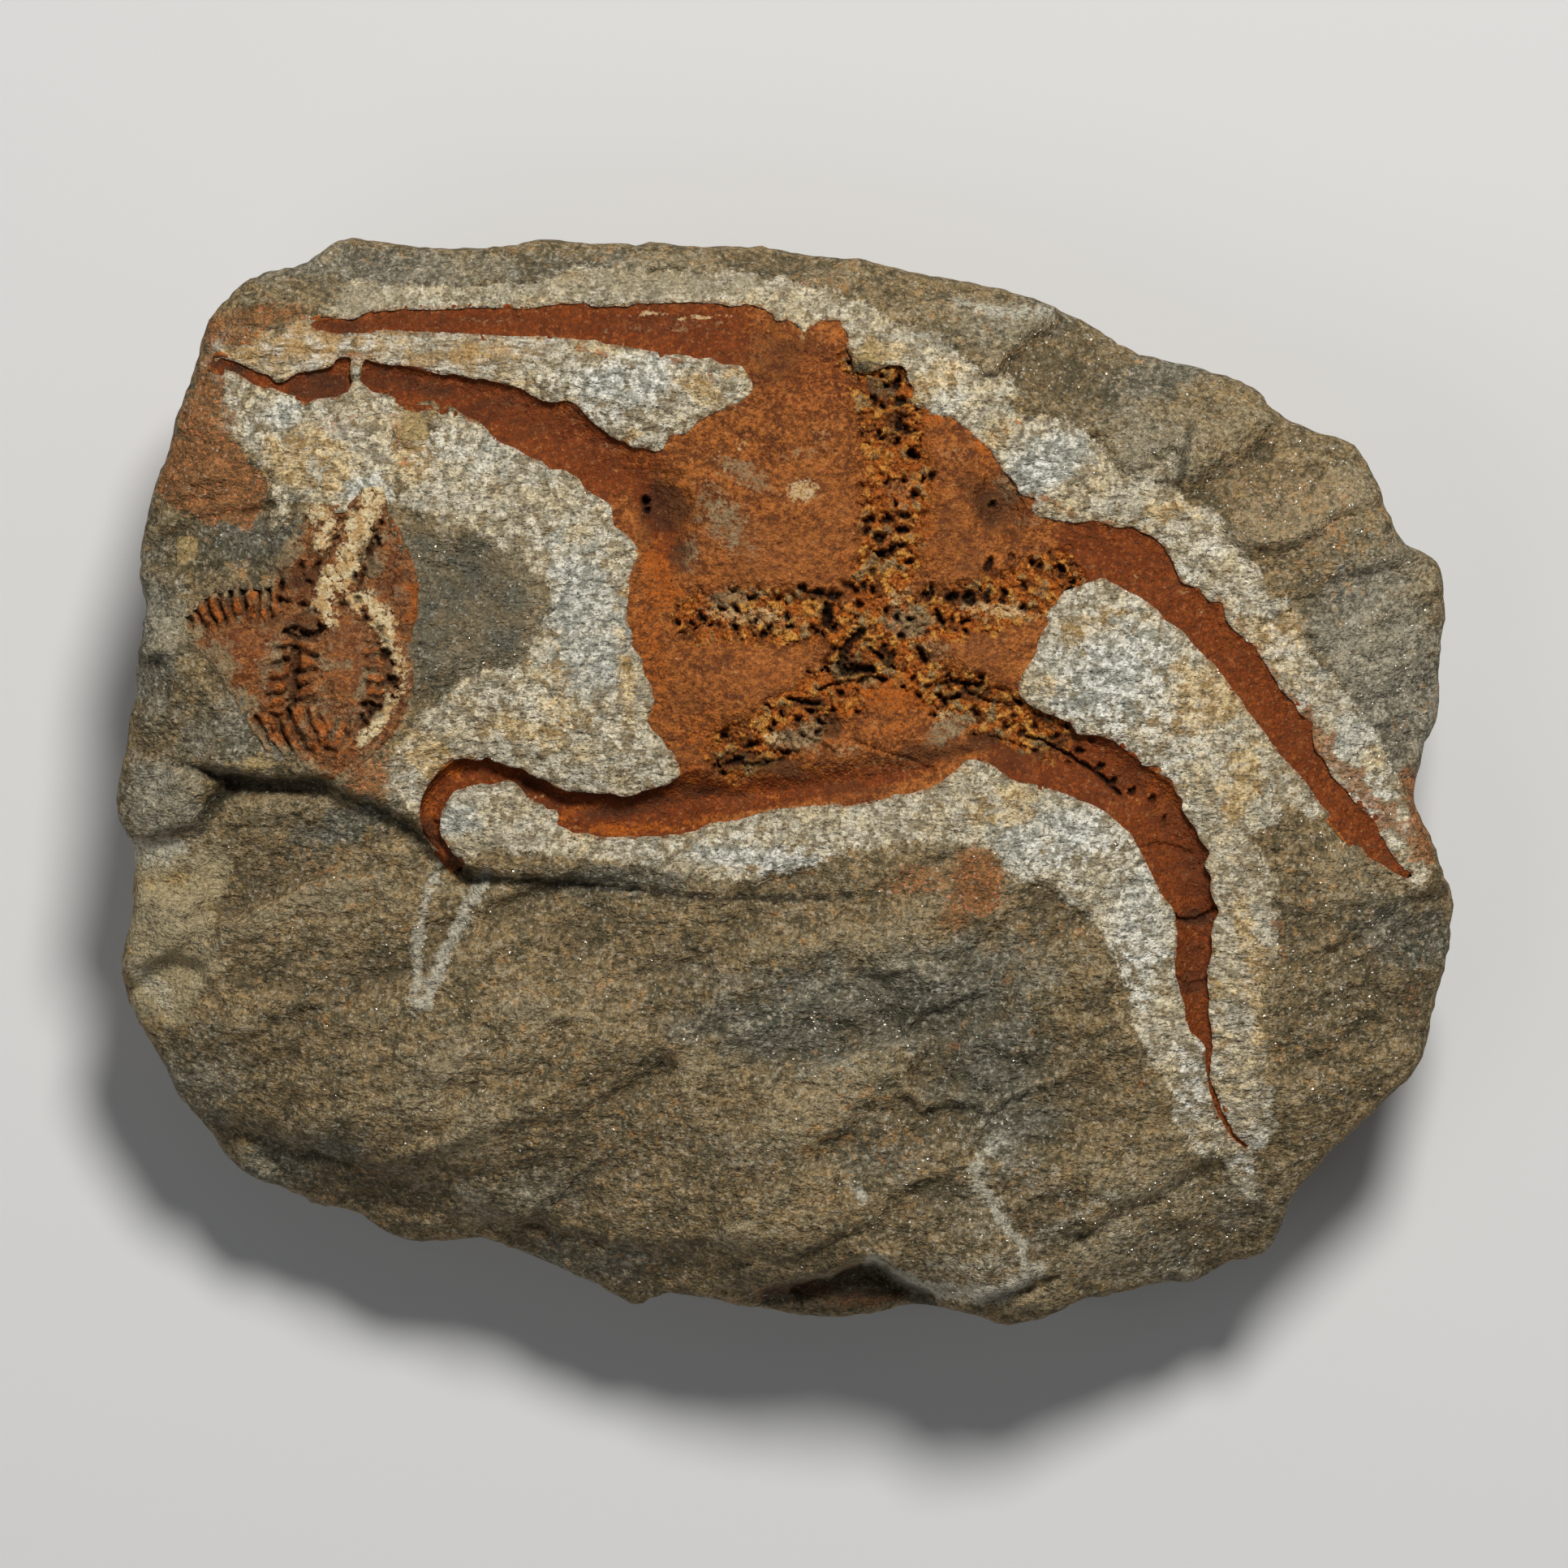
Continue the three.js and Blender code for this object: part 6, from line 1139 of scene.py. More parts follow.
# lines of painted shadow below the ledges and in the crevices and notch, and painted shade on faces turned away at the
# lower rim
SHADOW_LINES = [([(228, 945), (245, 948), (262, 952), (300, 964), (350, 969), (400, 967), (430, 985), (470, 999), (508, 1023), (535, 1047), (550, 1063), (580, 1082), (620, 1084), (760, 1093), (870, 1106), (960, 1107), (1043, 1104)], 7, .9), ([(290, 964), (350, 969), (396, 966)], 14, 1.0), ([(254, 1006), (270, 980), (290, 970)], 16, .9), ([(558, 1066), (585, 1083), (605, 1080)], 9, 1.0), ([(375, 1000), (440, 1015), (510, 1045)], 20, .4), ([(185, 1030), (235, 1022), (256, 1004)], 9, .5), ([(1330, 1528), (1350, 1519), (1375, 1500), (1398, 1489)], 8, .7), ([(1408, 1486), (1430, 1481)], 6, .6), ([(1446, 1463), (1478, 1448)], 9, .6), ([(1395, 1530), (1450, 1500), (1520, 1480)], 12, .4), ([(1560, 1530), (1500, 1555), (1420, 1575)], 12, .35), ([(1215, 1602), (1260, 1593), (1300, 1573)], 8, .7), ([(275, 1398), (340, 1410), (400, 1430), (440, 1440)], 18, .5), ([(460, 1490), (520, 1500), (565, 1505)], 15, .45),
         ([(1000, 1190), (900, 1240), (830, 1300), (700, 1370), (560, 1415)], 14, .45), ([(950, 1597), (1000, 1590), (1045, 1578), (1082, 1568), (1112, 1590), (1140, 1600)], 19, 1.0), ([(1020, 1590), (1100, 1592)], 14, .9),
         ([(1590, 1190), (1680, 1150), (1790, 1090)], 14, .45), ([(900, 1106), (1045, 1103)], 4, 1.0), ([(300, 982), (340, 990)], 12, .4),
         ([(1452, 604), (1461, 560), (1468, 524)], 10, .75), ([(1350, 520), (1400, 560), (1440, 600)], 14, .3), ([(700, 1225), (780, 1240), (860, 1225)], 8, .3), ([(1020, 1200), (1100, 1185)], 8, .4), ([(590, 410), (700, 420), (760, 425)], 3, .6), ([(1480, 1500), (1560, 1470)], 10, .35), ([(640, 1500), (760, 1540)], 10, .35), ([(1120, 1180), (1250, 1130)], 8, .25)]


REDL = [([(428, 436), (452, 436)], 6, .8), ([(1283, 610), (1330, 640), (1380, 646)], 4, .7), ([(1500, 735), (1545, 790), (1600, 868)], 4, .55), ([(1612, 880), (1640, 935), (1690, 985), (1722, 1020)], 12, .75), ([(1728, 955), (1750, 1005), (1762, 1060)], 8, .9),
        ([(715, 430), (745, 438)], 3, .9), ([(822, 440), (836, 446)], 3, .9), ([(575, 512), (600, 530)], 3, .6), ([(1240, 520), (1262, 518)], 3, .6), ([(480, 455), (500, 452)], 4, .7), ([(1570, 1020), (1552, 1060)], 3, .5)]


def rock_marks(x, y):
    a = {}
    a['grey'] = np.clip(blobs(x, y, GREY, 0.9, 201) - 0.8 * blobs(x, y, BROWN, 0.9, 205), 0, 1)
    lobe = ccw(plan(LOBE))
    P = xyz(x, y)
    s = signed(x, y, lobe) + 0.35 * noise(P / 1.2, 211) + 0.2 * noise(P / 0.5, 212)
    a['rust'] = np.maximum(blobs(x, y, RUST, 0.4, 221), smooth(-0.3, 0.4, s))
    a['rust'] = np.maximum(a['rust'], strokes(x, y, REDL, 0.3, 251))
    a['streak'] = blobs(x, y, [(390, 425, 150, 34, 4, 1.0), (560, 442, 160, 22, 8, .9), (300, 410, 60, 40, 0, .8)], 0.5, 253)
    a['dull'] = blobs(x, y, [(400, 368, 130, 20, 0, 1.0), (640, 352, 160, 16, 0, .6), (820, 350, 150, 18, 0, .85), (1000, 378, 60, 14, 12, .4), (780, 1075, 120, 14, 4, .5), (600, 1036, 60, 14, 6, .7)], 0.5, 255)
    a['face'] = blobs(x, y, [(180, 800, 34, 120, 0, .5), (165, 1100, 30, 40, 0, .6), (1700, 830, 110, 200, 5, 1.0), (200, 985, 66, 55, 0, 1.0), (470, 335, 110, 34, 0, .7), (1500, 490, 90, 26, 20, .7), (1180, 372, 90, 18, 12, .6)], 0.5, 227)
    a['bright'] = blobs(x, y, BRIGHT, 0.7, 243)
    a['cream'] = blobs(x, y, [(212, 1160, 68, 100, 10, 1.0), (255, 1080, 34, 40, 0, .9), (200, 1230, 50, 40, 0, .9), (190, 1060, 50, 30, 0, .8)], 0.3, 247)
    a['ochre'] = blobs(x, y, OCHRE, 0.5, 225)
    a['blue'] = blobs(x, y, BLUISH, 0.6, 229)
    a['white'] = strokes(x, y, PALEV + [([(440, 440), (439, 480)], 5, 1.0)], 0.5, 231) * smooth(-1.0, -0.1, noise(P / 1.1, 232))
    # dark mask: painted shadow and shade along those lines
    a['dark'] = strokes(x, y, SHADOW_LINES, 0.22, 235)
    a['patch'] = blobs(x, y, [(580, 745, 110, 118, 0, 1.0), (520, 690, 30, 60, 0, .9), (510, 820, 24, 50, 0, .8)], 0.35, 239)
    return a


# orange iron stain; the thin bands along the lower edge of the lower-left arm are painted light on its lit lower wall
S_ORANGE = [(800, 800, 26, 130, 3, .65), (812, 710, 26, 60, 8, .9), (1218, 545, 22, 30, -40, .9), (1245, 590, 10, 26, -30, .8), (1052, 408, 26, 22, 0, .7), (1150, 515, 26, 12, 10, .9), (1140, 545, 14, 14, 0, .8),
            (880, 1010, 60, 9, 4, .8), (930, 975, 110, 6, -7, .6), (1010, 960, 60, 6, -6, .35), (550, 945, 26, 16, -15, 1.0), (530, 985, 14, 30, 10, .6), (1055, 860, 60, 28, 0, .8), (1110, 850, 40, 30, 0, .9),
            (960, 835, 60, 20, -20, .5), (870, 905, 50, 30, 0, .6), (845, 960, 30, 30, 0, .7), (700, 500, 26, 14, 20, .6), (1440, 985, 22, 18, 40, .8), (1430, 960, 40, 12, 50, .6), (1320, 905, 60, 12, 25, .6),
            (1060, 745, 60, 20, 0, .7), (870, 770, 26, 34, 0, .9), (1040, 700, 20, 20, 0, .5), (1100, 600, 44, 80, 0, .75), (1140, 640, 14, 60, 0, .8), (1075, 610, 14, 50, 0, .6), (1285, 725, 40, 30, 0, .6),
            (1190, 765, 60, 14, 0, .7), (1100, 900, 40, 16, 0, .6), (965, 920, 20, 20, 0, .7), (1400, 1180, 60, 14, 0, 0.0), (780, 1022, 90, 10, 3, .95), (690, 1008, 60, 10, 20, .9), (1120, 480, 14, 40, 0, .6)]
# dark colour patches, with painted shade: the shadow band at the disc's left edge, its hollows and the upper wall of
# the lower-left arm
S_DARK = [(600, 395, 150, 9, 0, .38), (740, 400, 60, 12, 4, .3), (560, 488, 80, 11, 9, .3), (640, 505, 30, 16, 12, .4), (715, 560, 24, 30, 30, .25), (760, 1000, 60, 9, 4, .75), (690, 985, 60, 8, 16, .5), (845, 860, 26, 24, 0, .35), (1196, 690, 20, 30, 0, .4), (1170, 640, 14, 22, 0, .35), (905, 700, 30, 18, 0, .3), (1100, 985, 60, 7, 0, .35), (430, 402, 50, 10, 0, .7), (520, 396, 90, 10, 0, .4), (1600, 900, 30, 30, 40, .3), (960, 440, 60, 40, 20, .55), (822, 625, 38, 50, 20, .9), (838, 680, 16, 36, 0, .8), (800, 640, 20, 30, 0, .6), (1228, 625, 36, 44, 20, .9), (1200, 600, 24, 30, 0, .6), (1022, 893, 24, 18, -20, 1.0), (960, 945, 60, 14, -15, .9), (905, 935, 34, 16, 20, .9),
          (1150, 925, 60, 18, 5, .75), (1210, 915, 40, 16, 10, .7), (1050, 815, 34, 22, 0, .7), (1085, 480, 30, 30, 0, .7), (1100, 520, 22, 22, 0, .6), (1095, 650, 26, 26, 0, .55), (1190, 735, 50, 12, 0, .7),
          (1010, 735, 40, 10, 0, .7), (1240, 940, 60, 20, 20, .5), (1040, 970, 40, 10, -5, .5), (900, 440, 40, 16, 10, .35), (940, 460, 40, 14, 20, .4), (1190, 855, 50, 10, 10, .8), (1000, 865, 40, 7, 5, .8),
          (655, 965, 90, 12, 22, .7), (780, 985, 70, 11, -2, .7), (870, 975, 50, 9, -8, .8), (530, 1025, 14, 26, 20, .8), (560, 1060, 14, 18, 0, 1.0), (1475, 1070, 40, 50, 0, .5), (1478, 1130, 26, 12, -10, .9),
          (1468, 1215, 20, 22, 0, .7), (1470, 1170, 20, 20, 0, .4), (1380, 960, 60, 14, 35, .4), (1440, 1010, 26, 34, 20, .45), (1300, 915, 60, 14, 22, .7), (1490, 1270, 14, 40, 0, .3), (600, 500, 60, 12, 12, .5),
          (470, 470, 50, 14, 5, .5), (400, 470, 40, 13, -10, .9), (370, 475, 22, 12, 0, .6), (660, 530, 60, 12, 25, .5), (540, 480, 30, 10, 10, .7), (1710, 1060, 30, 14, 45, .5), (300, 452, 40, 9, 18, 1.0), (385, 484, 44, 13, -6, .7), (470, 454, 13, 7, 0, 1.0), (500, 470, 30, 12, 10, .6), (266, 446, 14, 8, 0, .9), (450, 400, 60, 6, 0, .4)]
S_GREY = [(900, 738, 42, 18, 5, .9), (870, 755, 16, 22, 0, .5), (1118, 765, 40, 24, -10, 1.0), (1150, 800, 24, 20, 0, .6), (988, 905, 46, 20, 12, 1.0), (1175, 895, 44, 16, 28, .9), (1110, 605, 26, 30, 0, .5), (892, 640, 34, 60, 40, .8),
          (920, 585, 50, 18, -25, .7), (850, 685, 18, 30, -10, .7), (1085, 478, 18, 14, 0, .8), (1010, 545, 20, 26, 0, .35), (1040, 925, 40, 12, 0, .5), (1110, 660, 40, 30, 0, .3), (960, 770, 40, 14, 0, .5), (1250, 745, 40, 12, 0, .4),
          (1240, 600, 24, 26, 20, .7), (1265, 640, 24, 14, 20, .5), (1100, 940, 50, 14, 0, .35), (900, 500, 30, 14, 0, .3), (790, 404, 60, 6, 4, .35), (840, 400, 60, 8, 3, .4), (702, 512, 30, 11, 24, .34), (748, 552, 26, 16, 26, .34), (640, 492, 20, 8, 10, .25), (985, 560, 26, 20, 0, .35), (1180, 560, 26, 20, 0, .25)]
S_PALE = [(988, 604, 22, 19, -10, 1.0), (912, 548, 12, 12, 0, .6), (955, 912, 16, 14, 0, .8), (1050, 452, 8, 12, 0, .6), (1165, 882, 14, 8, 20, .8), (1005, 890, 22, 10, 0, .5), (920, 760, 60, 14, 0, .8), (1230, 752, 60, 10, -6, .9),
          (865, 390, 50, 3, 4, .7), (800, 388, 30, 4, 0, .7), (1245, 612, 10, 16, 0, .5), (990, 410, 6, 16, 0, .6), (600, 395, 40, 3, 0, .4), (1108, 735, 16, 14, 0, .7), (640, 990, 40, 4, 25, .5), (600, 975, 30, 4, 25, .5)]
S_SMOOTH = [(960, 680, 110, 50, -6, 1.0), (1190, 670, 40, 60, 0, .8), (1215, 800, 60, 40, 0, .9), (960, 840, 90, 40, -10, .7), (1000, 600, 60, 40, 0, .6), (1040, 650, 30, 60, 0, .7), (1100, 990, 120, 18, -4, .5)]
S_RED = [(780, 400, 140, 20, 0, .7), (560, 396, 110, 14, 0, .8), (680, 985, 120, 26, 10, .7), (620, 500, 90, 30, 15, .9), (500, 470, 70, 24, 8, 1.0), (385, 480, 60, 20, -5, 1.0), (300, 460, 50, 16, 12, 1.0), (270, 450, 20, 12, 0, .8), (1480, 1110, 30, 90, 0, .5), (1000, 470, 60, 40, 0, .8), (700, 490, 90, 26, 22, .8), (730, 530, 40, 30, 30, .9), (560, 480, 60, 16, 10, .8), (1480, 1050, 30, 80, 0, .7), (1475, 1180, 24, 60, 0, .7), (1620, 930, 60, 60, 0, .3), (860, 410, 90, 24, 0, .5),
         (1060, 985, 160, 14, 0, .7), (760, 1010, 130, 14, 5, .5), (1250, 960, 60, 24, 0, .6), (1350, 985, 60, 22, 25, .6), (440, 470, 40, 14, 0, .5)]


def star_marks(x, y):
    a = {}
    a['orange'] = blobs(x, y, S_ORANGE, 0.45, 301)
    a['dark'] = blobs(x, y, S_DARK, 0.4, 305)
    a['grey'] = blobs(x, y, S_GREY, 0.45, 309)
    a['pale'] = blobs(x, y, S_PALE, 0.3, 313)
    a['smooth'] = blobs(x, y, S_SMOOTH, 0.6, 317)
    a['red'] = blobs(x, y, S_RED, 0.6, 321)
    return a


# ---------------------------------------------------------------- materials
LIT = 0.60                                  # how bright a white card is under the lights


def rgb(r, g, b, gain=1.0):
    def lin(c):
        c /= 255.0
        return c / 12.92 if c <= 0.04045 else ((c + 0.055) / 1.055) ** 2.4
    return tuple(min(0.95, lin(c) / LIT * gain) for c in (r, g, b)) + (1.0,)


class Graph:
    """Short names for building a node material."""

    def __init__(self, name):
        self.m = bpy.data.materials.new(name)
        self.m.use_nodes = True
        self.t = self.m.node_tree
        self.t.nodes.clear()
        tc = self.node('ShaderNodeTexCoord')
        sc = self.node('ShaderNodeVectorMath', operation='SCALE')
        sc.inputs['Scale'].default_value = 1000.0
        self.link(tc.outputs['Object'], sc.inputs[0])
        self.P = sc.outputs[0]

    def node(self, kind, **props):
        n = self.t.nodes.new(kind)
        for k, v in props.items():
            setattr(n, k, v)
        return n

    def link(self, a, b):
        self.t.links.new(a, b)

    def put(self, sock, v):
        if isinstance(v, bpy.types.NodeSocket):
            self.link(v, sock)
        else:
            sock.default_value = v

    def attr(self, name):
        return self.node('ShaderNodeAttribute', attribute_name=name).outputs['Fac']

    def math(self, op, a, b=0.0, c=0.0, clamp=False):
        n = self.node('ShaderNodeMath', operation=op, use_clamp=clamp)
        self.put(n.inputs[0], a); self.put(n.inputs[1], b)
        if op in ('MULTIPLY_ADD', 'SMOOTH_MIN', 'SMOOTH_MAX'):
            self.put(n.inputs[2], c)
        return n.outputs[0]

    def add(self, a, b): return self.math('ADD', a, b)
    def sub(self, a, b): return self.math('SUBTRACT', a, b)
    def mul(self, a, b): return self.math('MULTIPLY', a, b)
    def top(self, a, b): return self.math('MAXIMUM', a, b)

    def step(self, x, lo, hi, a=0.0, b=1.0):
        n = self.node('ShaderNodeMapRange', interpolation_type='SMOOTHSTEP')
        self.put(n.inputs['Value'], x)
        for k, v in (('From Min', lo), ('From Max', hi), ('To Min', a), ('To Max', b)):
            self.put(n.inputs[k], v)
        return n.outputs['Result']

    def mix(self, f, a, b, blend='MIX'):
        n = self.node('ShaderNodeMix', data_type='RGBA', blend_type=blend)
        n.clamp_factor = True
        self.put(n.inputs[0], f); self.put(n.inputs[6], a); self.put(n.inputs[7], b)
        return n.outputs[2]

    def warp(self, vec, amount, scale):
        n = self.node('ShaderNodeTexNoise'); n.inputs['Scale'].default_value = scale; n.inputs['Detail'].default_value = 1.0
        self.link(vec, n.inputs['Vector'])
        s = self.node('ShaderNodeVectorMath', operation='SUBTRACT'); s.inputs[1].default_value = (0.5, 0.5, 0.5)
        self.link(n.outputs['Color'], s.inputs[0])
        k = self.node('ShaderNodeVectorMath', operation='SCALE'); k.inputs['Scale'].default_value = amount
        self.link(s.outputs[0], k.inputs[0])
        a = self.node('ShaderNodeVectorMath', operation='ADD')
        self.link(vec, a.inputs[0]); self.link(k.outputs[0], a.inputs[1])
        return a.outputs[0]

    def turn(self, vec, degrees, stretch):
        n = self.node('ShaderNodeMapping')
        n.inputs['Rotation'].default_value = (0, 0, math.radians(degrees))
        n.inputs['Scale'].default_value = stretch
        self.link(vec, n.inputs['Vector'])
        return n.outputs[0]

    def noise(self, scale, detail=3.0, rough=0.55, vec=None, dist=0.0, offset=None):
        n = self.node('ShaderNodeTexNoise')
        n.inputs['Scale'].default_value = scale; n.inputs['Detail'].default_value = detail
        n.inputs['Roughness'].default_value = rough; n.inputs['Distortion'].default_value = dist
        v = vec or self.P
        if offset is not None:
            a = self.node('ShaderNodeVectorMath', operation='ADD'); a.inputs[1].default_value = offset
            self.link(v, a.inputs[0]); v = a.outputs[0]
        self.link(v, n.inputs['Vector'])
        return n.outputs['Fac']

    def cells(self, scale, vec=None, feature='F1'):
        n = self.node('ShaderNodeTexVoronoi', feature=feature)
        n.inputs['Scale'].default_value = scale
        self.link(vec or self.P, n.inputs['Vector'])
        if feature != 'F1':
            return n.outputs['Distance'], None
        s = self.node('ShaderNodeSeparateColor')
        self.link(n.outputs['Color'], s.inputs[0])
        return n.outputs['Distance'], s.outputs

    def bump(self, height, strength, distance, normal=None):
        n = self.node('ShaderNodeBump')
        n.inputs['Strength'].default_value = strength
        n.inputs['Distance'].default_value = distance / 1000.0
        self.link(height, n.inputs['Height'])
        if normal is not None:
            self.link(normal, n.inputs['Normal'])
        return n.outputs[0]

    def finish(self, colour, rough, normal, specular=0.35, metal=None):
        b = self.node('ShaderNodeBsdfPrincipled')
        self.put(b.inputs['Base Color'], colour); self.put(b.inputs['Roughness'], rough)
        b.inputs['Specular IOR Level'].default_value = specular * 0.6
        self.link(normal, b.inputs['Normal'])
        if metal is not None:
            self.link(metal, b.inputs['Metallic'])
        o = self.node('ShaderNodeOutputMaterial')
        self.link(b.outputs[0], o.inputs['Surface'])
        return self.m


def grain(g, col, amount=1.0, size=0.19, pale_grain=rgb(200, 194, 176), dark_grain=rgb(44, 40, 32)):
    """Sand grains: each cell its own brightness, a few pale, a few dark."""
    d, c = g.cells(1 / size, g.warp(g.P, 0.12, 6.0))
    f = g.step(c[0], 0.0, 1.0, 1 - 0.40 * amount, 1 + 0.40 * amount)
    v = g.node('ShaderNodeHueSaturation')
    g.link(f, v.inputs['Value']); g.link(col, v.inputs['Color'])
    col = v.outputs[0]
    pale = g.mul(g.step(c[1], 0.965, 0.985), 0.4 * amount)
    col = g.mix(pale, col, pale_grain)
    dark = g.mul(g.step(c[1], 0.11, 0.05), 0.75 * amount)
    col = g.mix(dark, col, dark_grain)
    return col, d, c


def sandstone():
    g = Graph('micaceous_sandstone')
    A = g.attr
    n8, n3, n1, nf = g.noise(0.12, 3, .6), g.noise(0.38, 4, .6, offset=(9, 2, 4)), g.noise(1.1, 3, .65, offset=(3, 7, 1)), g.noise(3.4, 1.5, .7, offset=(5, 1, 8))
    streak = g.noise(0.8, 3, .65, g.turn(g.warp(g.P, 1.2, 0.35), 24, (0.45, 1.7, 1.0)))
    n2 = g.noise(2.0, 2, .65, offset=(1, 9, 6))
    vein = g.noise(0.62, 3, .6, g.turn(g.warp(g.P, 1.0, 0.6), 14, (0.55, 1.5, 1.0)))
    hair = g.mul(g.step(g.math('ABSOLUTE', g.sub(vein, .5)), .016, .004), g.step(n1, .46, .6))
    brown = g.mix(g.step(n3, .36, .62), rgb(86, 76, 54), rgb(122, 103, 72))
    brown = g.mix(g.mul(g.step(n1, .47, .62), .6), brown, rgb(148, 122, 82))
    brown = g.mix(g.mul(g.step(n1, .44, .34), .55), brown, rgb(74, 68, 50))
    brown = g.mix(g.mul(g.step(streak, .5, .7), .55), brown, rgb(76, 69, 52))
    brown = g.mix(g.mul(g.step(n2, .53, .64), .6), brown, rgb(140, 128, 104))
    brown = g.mix(g.mul(g.step(n2, .46, .36), .65), brown, rgb(70, 60, 42))
    grey = g.mix(g.step(n3, .36, .62), rgb(80, 78, 64), rgb(112, 106, 90))
    grey = g.mix(g.mul(g.step(n1, .44, .34), .5), grey, rgb(66, 66, 55))
    grey = g.mix(g.mul(g.step(streak, .5, .7), .6), grey, rgb(62, 62, 52))
    grey = g.mix(g.mul(g.step(n1, .53, .70), .55), grey, rgb(136, 131, 114))
    grey = g.mix(g.mul(A('face'), .8), grey, g.mix(g.step(n1, .4, .6), rgb(118, 112, 96), rgb(142, 135, 117)))
    grey = g.mix(g.mul(g.step(n2, .46, .36), .6), grey, rgb(62, 60, 50))
    grey = g.mix(g.mul(g.step(n2, .53, .64), .5), grey, rgb(158, 153, 138))
    gm = g.add(A('grey'), g.mul(g.sub(g.add(g.add(n3, n8), nf), 1.5), 1.3))
    col = g.mix(g.step(gm, .05, 1.0), brown, grey)
    # broken rock: painted shade in the hollows and painted highlight on the crests, from the relief mask
    rel = g.add(A('rel'), g.mul(g.sub(g.add(n2, nf), 1.0), 0.9))
    col = g.mix(g.step(rel, .52, .12, 0.0, .42), col, rgb(56, 51, 38))
    col = g.mix(g.step(rel, .62, 1.0, 0.0, .34), col, rgb(150, 138, 110))
    # ochre freckles and rusty blooms of the raw rock
    col = g.mix(g.mul(g.step(g.add(n1, g.mul(n8, .6)), .92, 1.05), .45), col, rgb(158, 112, 62))
    col = g.mix(g.mul(A('patch'), .75), col, g.mix(g.step(n3, .4, .6), rgb(82, 80, 68), rgb(98, 84, 60)))
    col = g.mix(g.mul(g.step(g.add(A('ochre'), g.mul(g.sub(n1, .5), .8)), .3, .8), .65), col, rgb(158, 134, 88))
    ru = g.add(A('rust'), g.mul(g.sub(g.add(nf, n2), 1.0), 1.0))
    rust = g.mix(g.step(n1, .38, .62), rgb(106, 72, 42), rgb(134, 90, 52))
    rust = g.mix(g.mul(g.step(g.add(nf, n2), 1.1, 1.25), .8), rust, rgb(168, 88, 36))
    rust = g.mix(g.mul(g.step(g.add(nf, n2), .92, .8), .6), rust, rgb(80, 64, 46))
    col = g.mix(g.mul(g.step(ru, .15, .85), .9), col, rust)
    cr = g.step(g.add(A('cream'), g.mul(g.sub(nf, .5), .5)), .3, .7)
    col = g.mix(g.mul(cr, .8), col, g.mix(g.step(n3, .4, .6), rgb(150, 136, 104), rgb(138, 126, 98)))
    wh = g.add(A('white'), g.mul(g.sub(g.add(nf, n2), 1.0), 1.1))
    col = g.mix(g.mul(g.step(wh, .1, 1.0), .75), col, rgb(168, 163, 146))
    # painted shadow and shade along the listed lines (dark mask), near-black
    dk = g.add(A('dark'), g.mul(g.sub(nf, .5), .4))
    col = g.mix(g.mul(g.step(dk, .3, .9), .72), col, rgb(38, 36, 28))
    # the worked band: bruised pale strokes over ochre rock
    cell = A('cell')
    w = g.mix(g.step(n1, .4, .62), rgb(132, 121, 98), rgb(116, 101, 75))
    w = g.mix(g.mul(g.step(g.add(A('ochre'), g.mul(g.sub(g.add(n1, n3), 1.0), 1.5)), .08, .7), .8), w, rgb(142, 112, 66))
    w = g.mix(g.mul(g.step(g.sub(A('blue'), g.mul(g.sub(g.add(n1, n3), 1.0), 1.5)), .08, .7), .7), w, rgb(128, 132, 124))
    hit = g.mix(g.step(n3, .4, .62), rgb(190, 182, 161), rgb(178, 163, 130))
    hit = g.mix(g.mul(A('blue'), .7), hit, rgb(190, 191, 184))
    hit = g.mix(g.mul(g.step(g.add(A('ochre'), g.mul(g.sub(g.add(n1, n3), 1.0), 1.5)), .1, .7), .65), hit, rgb(190, 162, 112))
    hit = g.mix(g.mul(g.step(g.add(A('bright'), g.mul(g.sub(n1, .5), 1.2)), .5, 1.1), .6), hit, rgb(206, 203, 190))
    hm = g.add(g.mul(cell, 1.3), g.mul(g.sub(g.add(nf, n2), 1.0), 0.9))
    w = g.mix(g.mul(g.step(hm, .05, .62), g.step(g.add(g.add(n3, n1), g.mul(A('bright'), .5)), .75, 1.15, .5, 1.0)), w, hit)
    w = g.mix(g.mul(g.step(nf, .45, .35), .5), w, rgb(94, 82, 60))
    drag = g.noise(2.4, 1.5, .65, g.turn(g.warp(g.P, 1.0, 0.3), 38, (0.5, 1.9, 1.0)))
    w = g.mix(g.mul(g.step(drag, .47, .36), .4), w, rgb(98, 92, 76))
    w = g.mix(g.mul(g.step(drag, .54, .66), .35), w, rgb(190, 183, 164))
    line = g.noise(1.0, 3, .65, g.turn(g.warp(g.P, 0.8, 0.4), 3, (0.22, 2.6, 1.0)))
    st = g.mix(g.step(line, .44, .58), rgb(118, 100, 72), rgb(192, 184, 166))
    st = g.mix(g.mul(g.step(line, .44, .36), .7), st, rgb(84, 66, 44))
    st = g.mix(g.mul(g.step(g.add(n3, g.mul(n1, .5)), .66, .86), .75), st, rgb(158, 122, 70))
    w = g.mix(g.mul(A('streak'), .85), w, st)
    w = g.mix(g.mul(A('dull'), .75), w, g.mix(g.step(n3, .4, .6), rgb(124, 114, 92), rgb(138, 127, 103)))
    rp = g.mul(g.step(ru, .35, .7), .75)
    w = g.mix(rp, w, rust)
    pm = g.step(g.add(A('prep'), g.mul(g.sub(g.add(nf, n2), 1.0), 1.0)), .2, .85)
    col = g.mix(pm, col, w)
    # a dark line where rock meets fossil
    ln = g.step(A('ds'), -0.16, -0.02)
    col = g.mix(g.mul(g.mul(ln, .4), g.step(n1, .4, .6)), col, rgb(118, 70, 40))
    col = g.mix(g.mul(g.mul(hair, .6), g.sub(1.0, pm)), col, rgb(46, 43, 34))
    col, d, c = grain(g, col, 0.62)
    col = g.mix(A('mica'), col, g.mix(g.step(n2, .3, .7), rgb(200, 196, 184), rgb(190, 180, 160)))
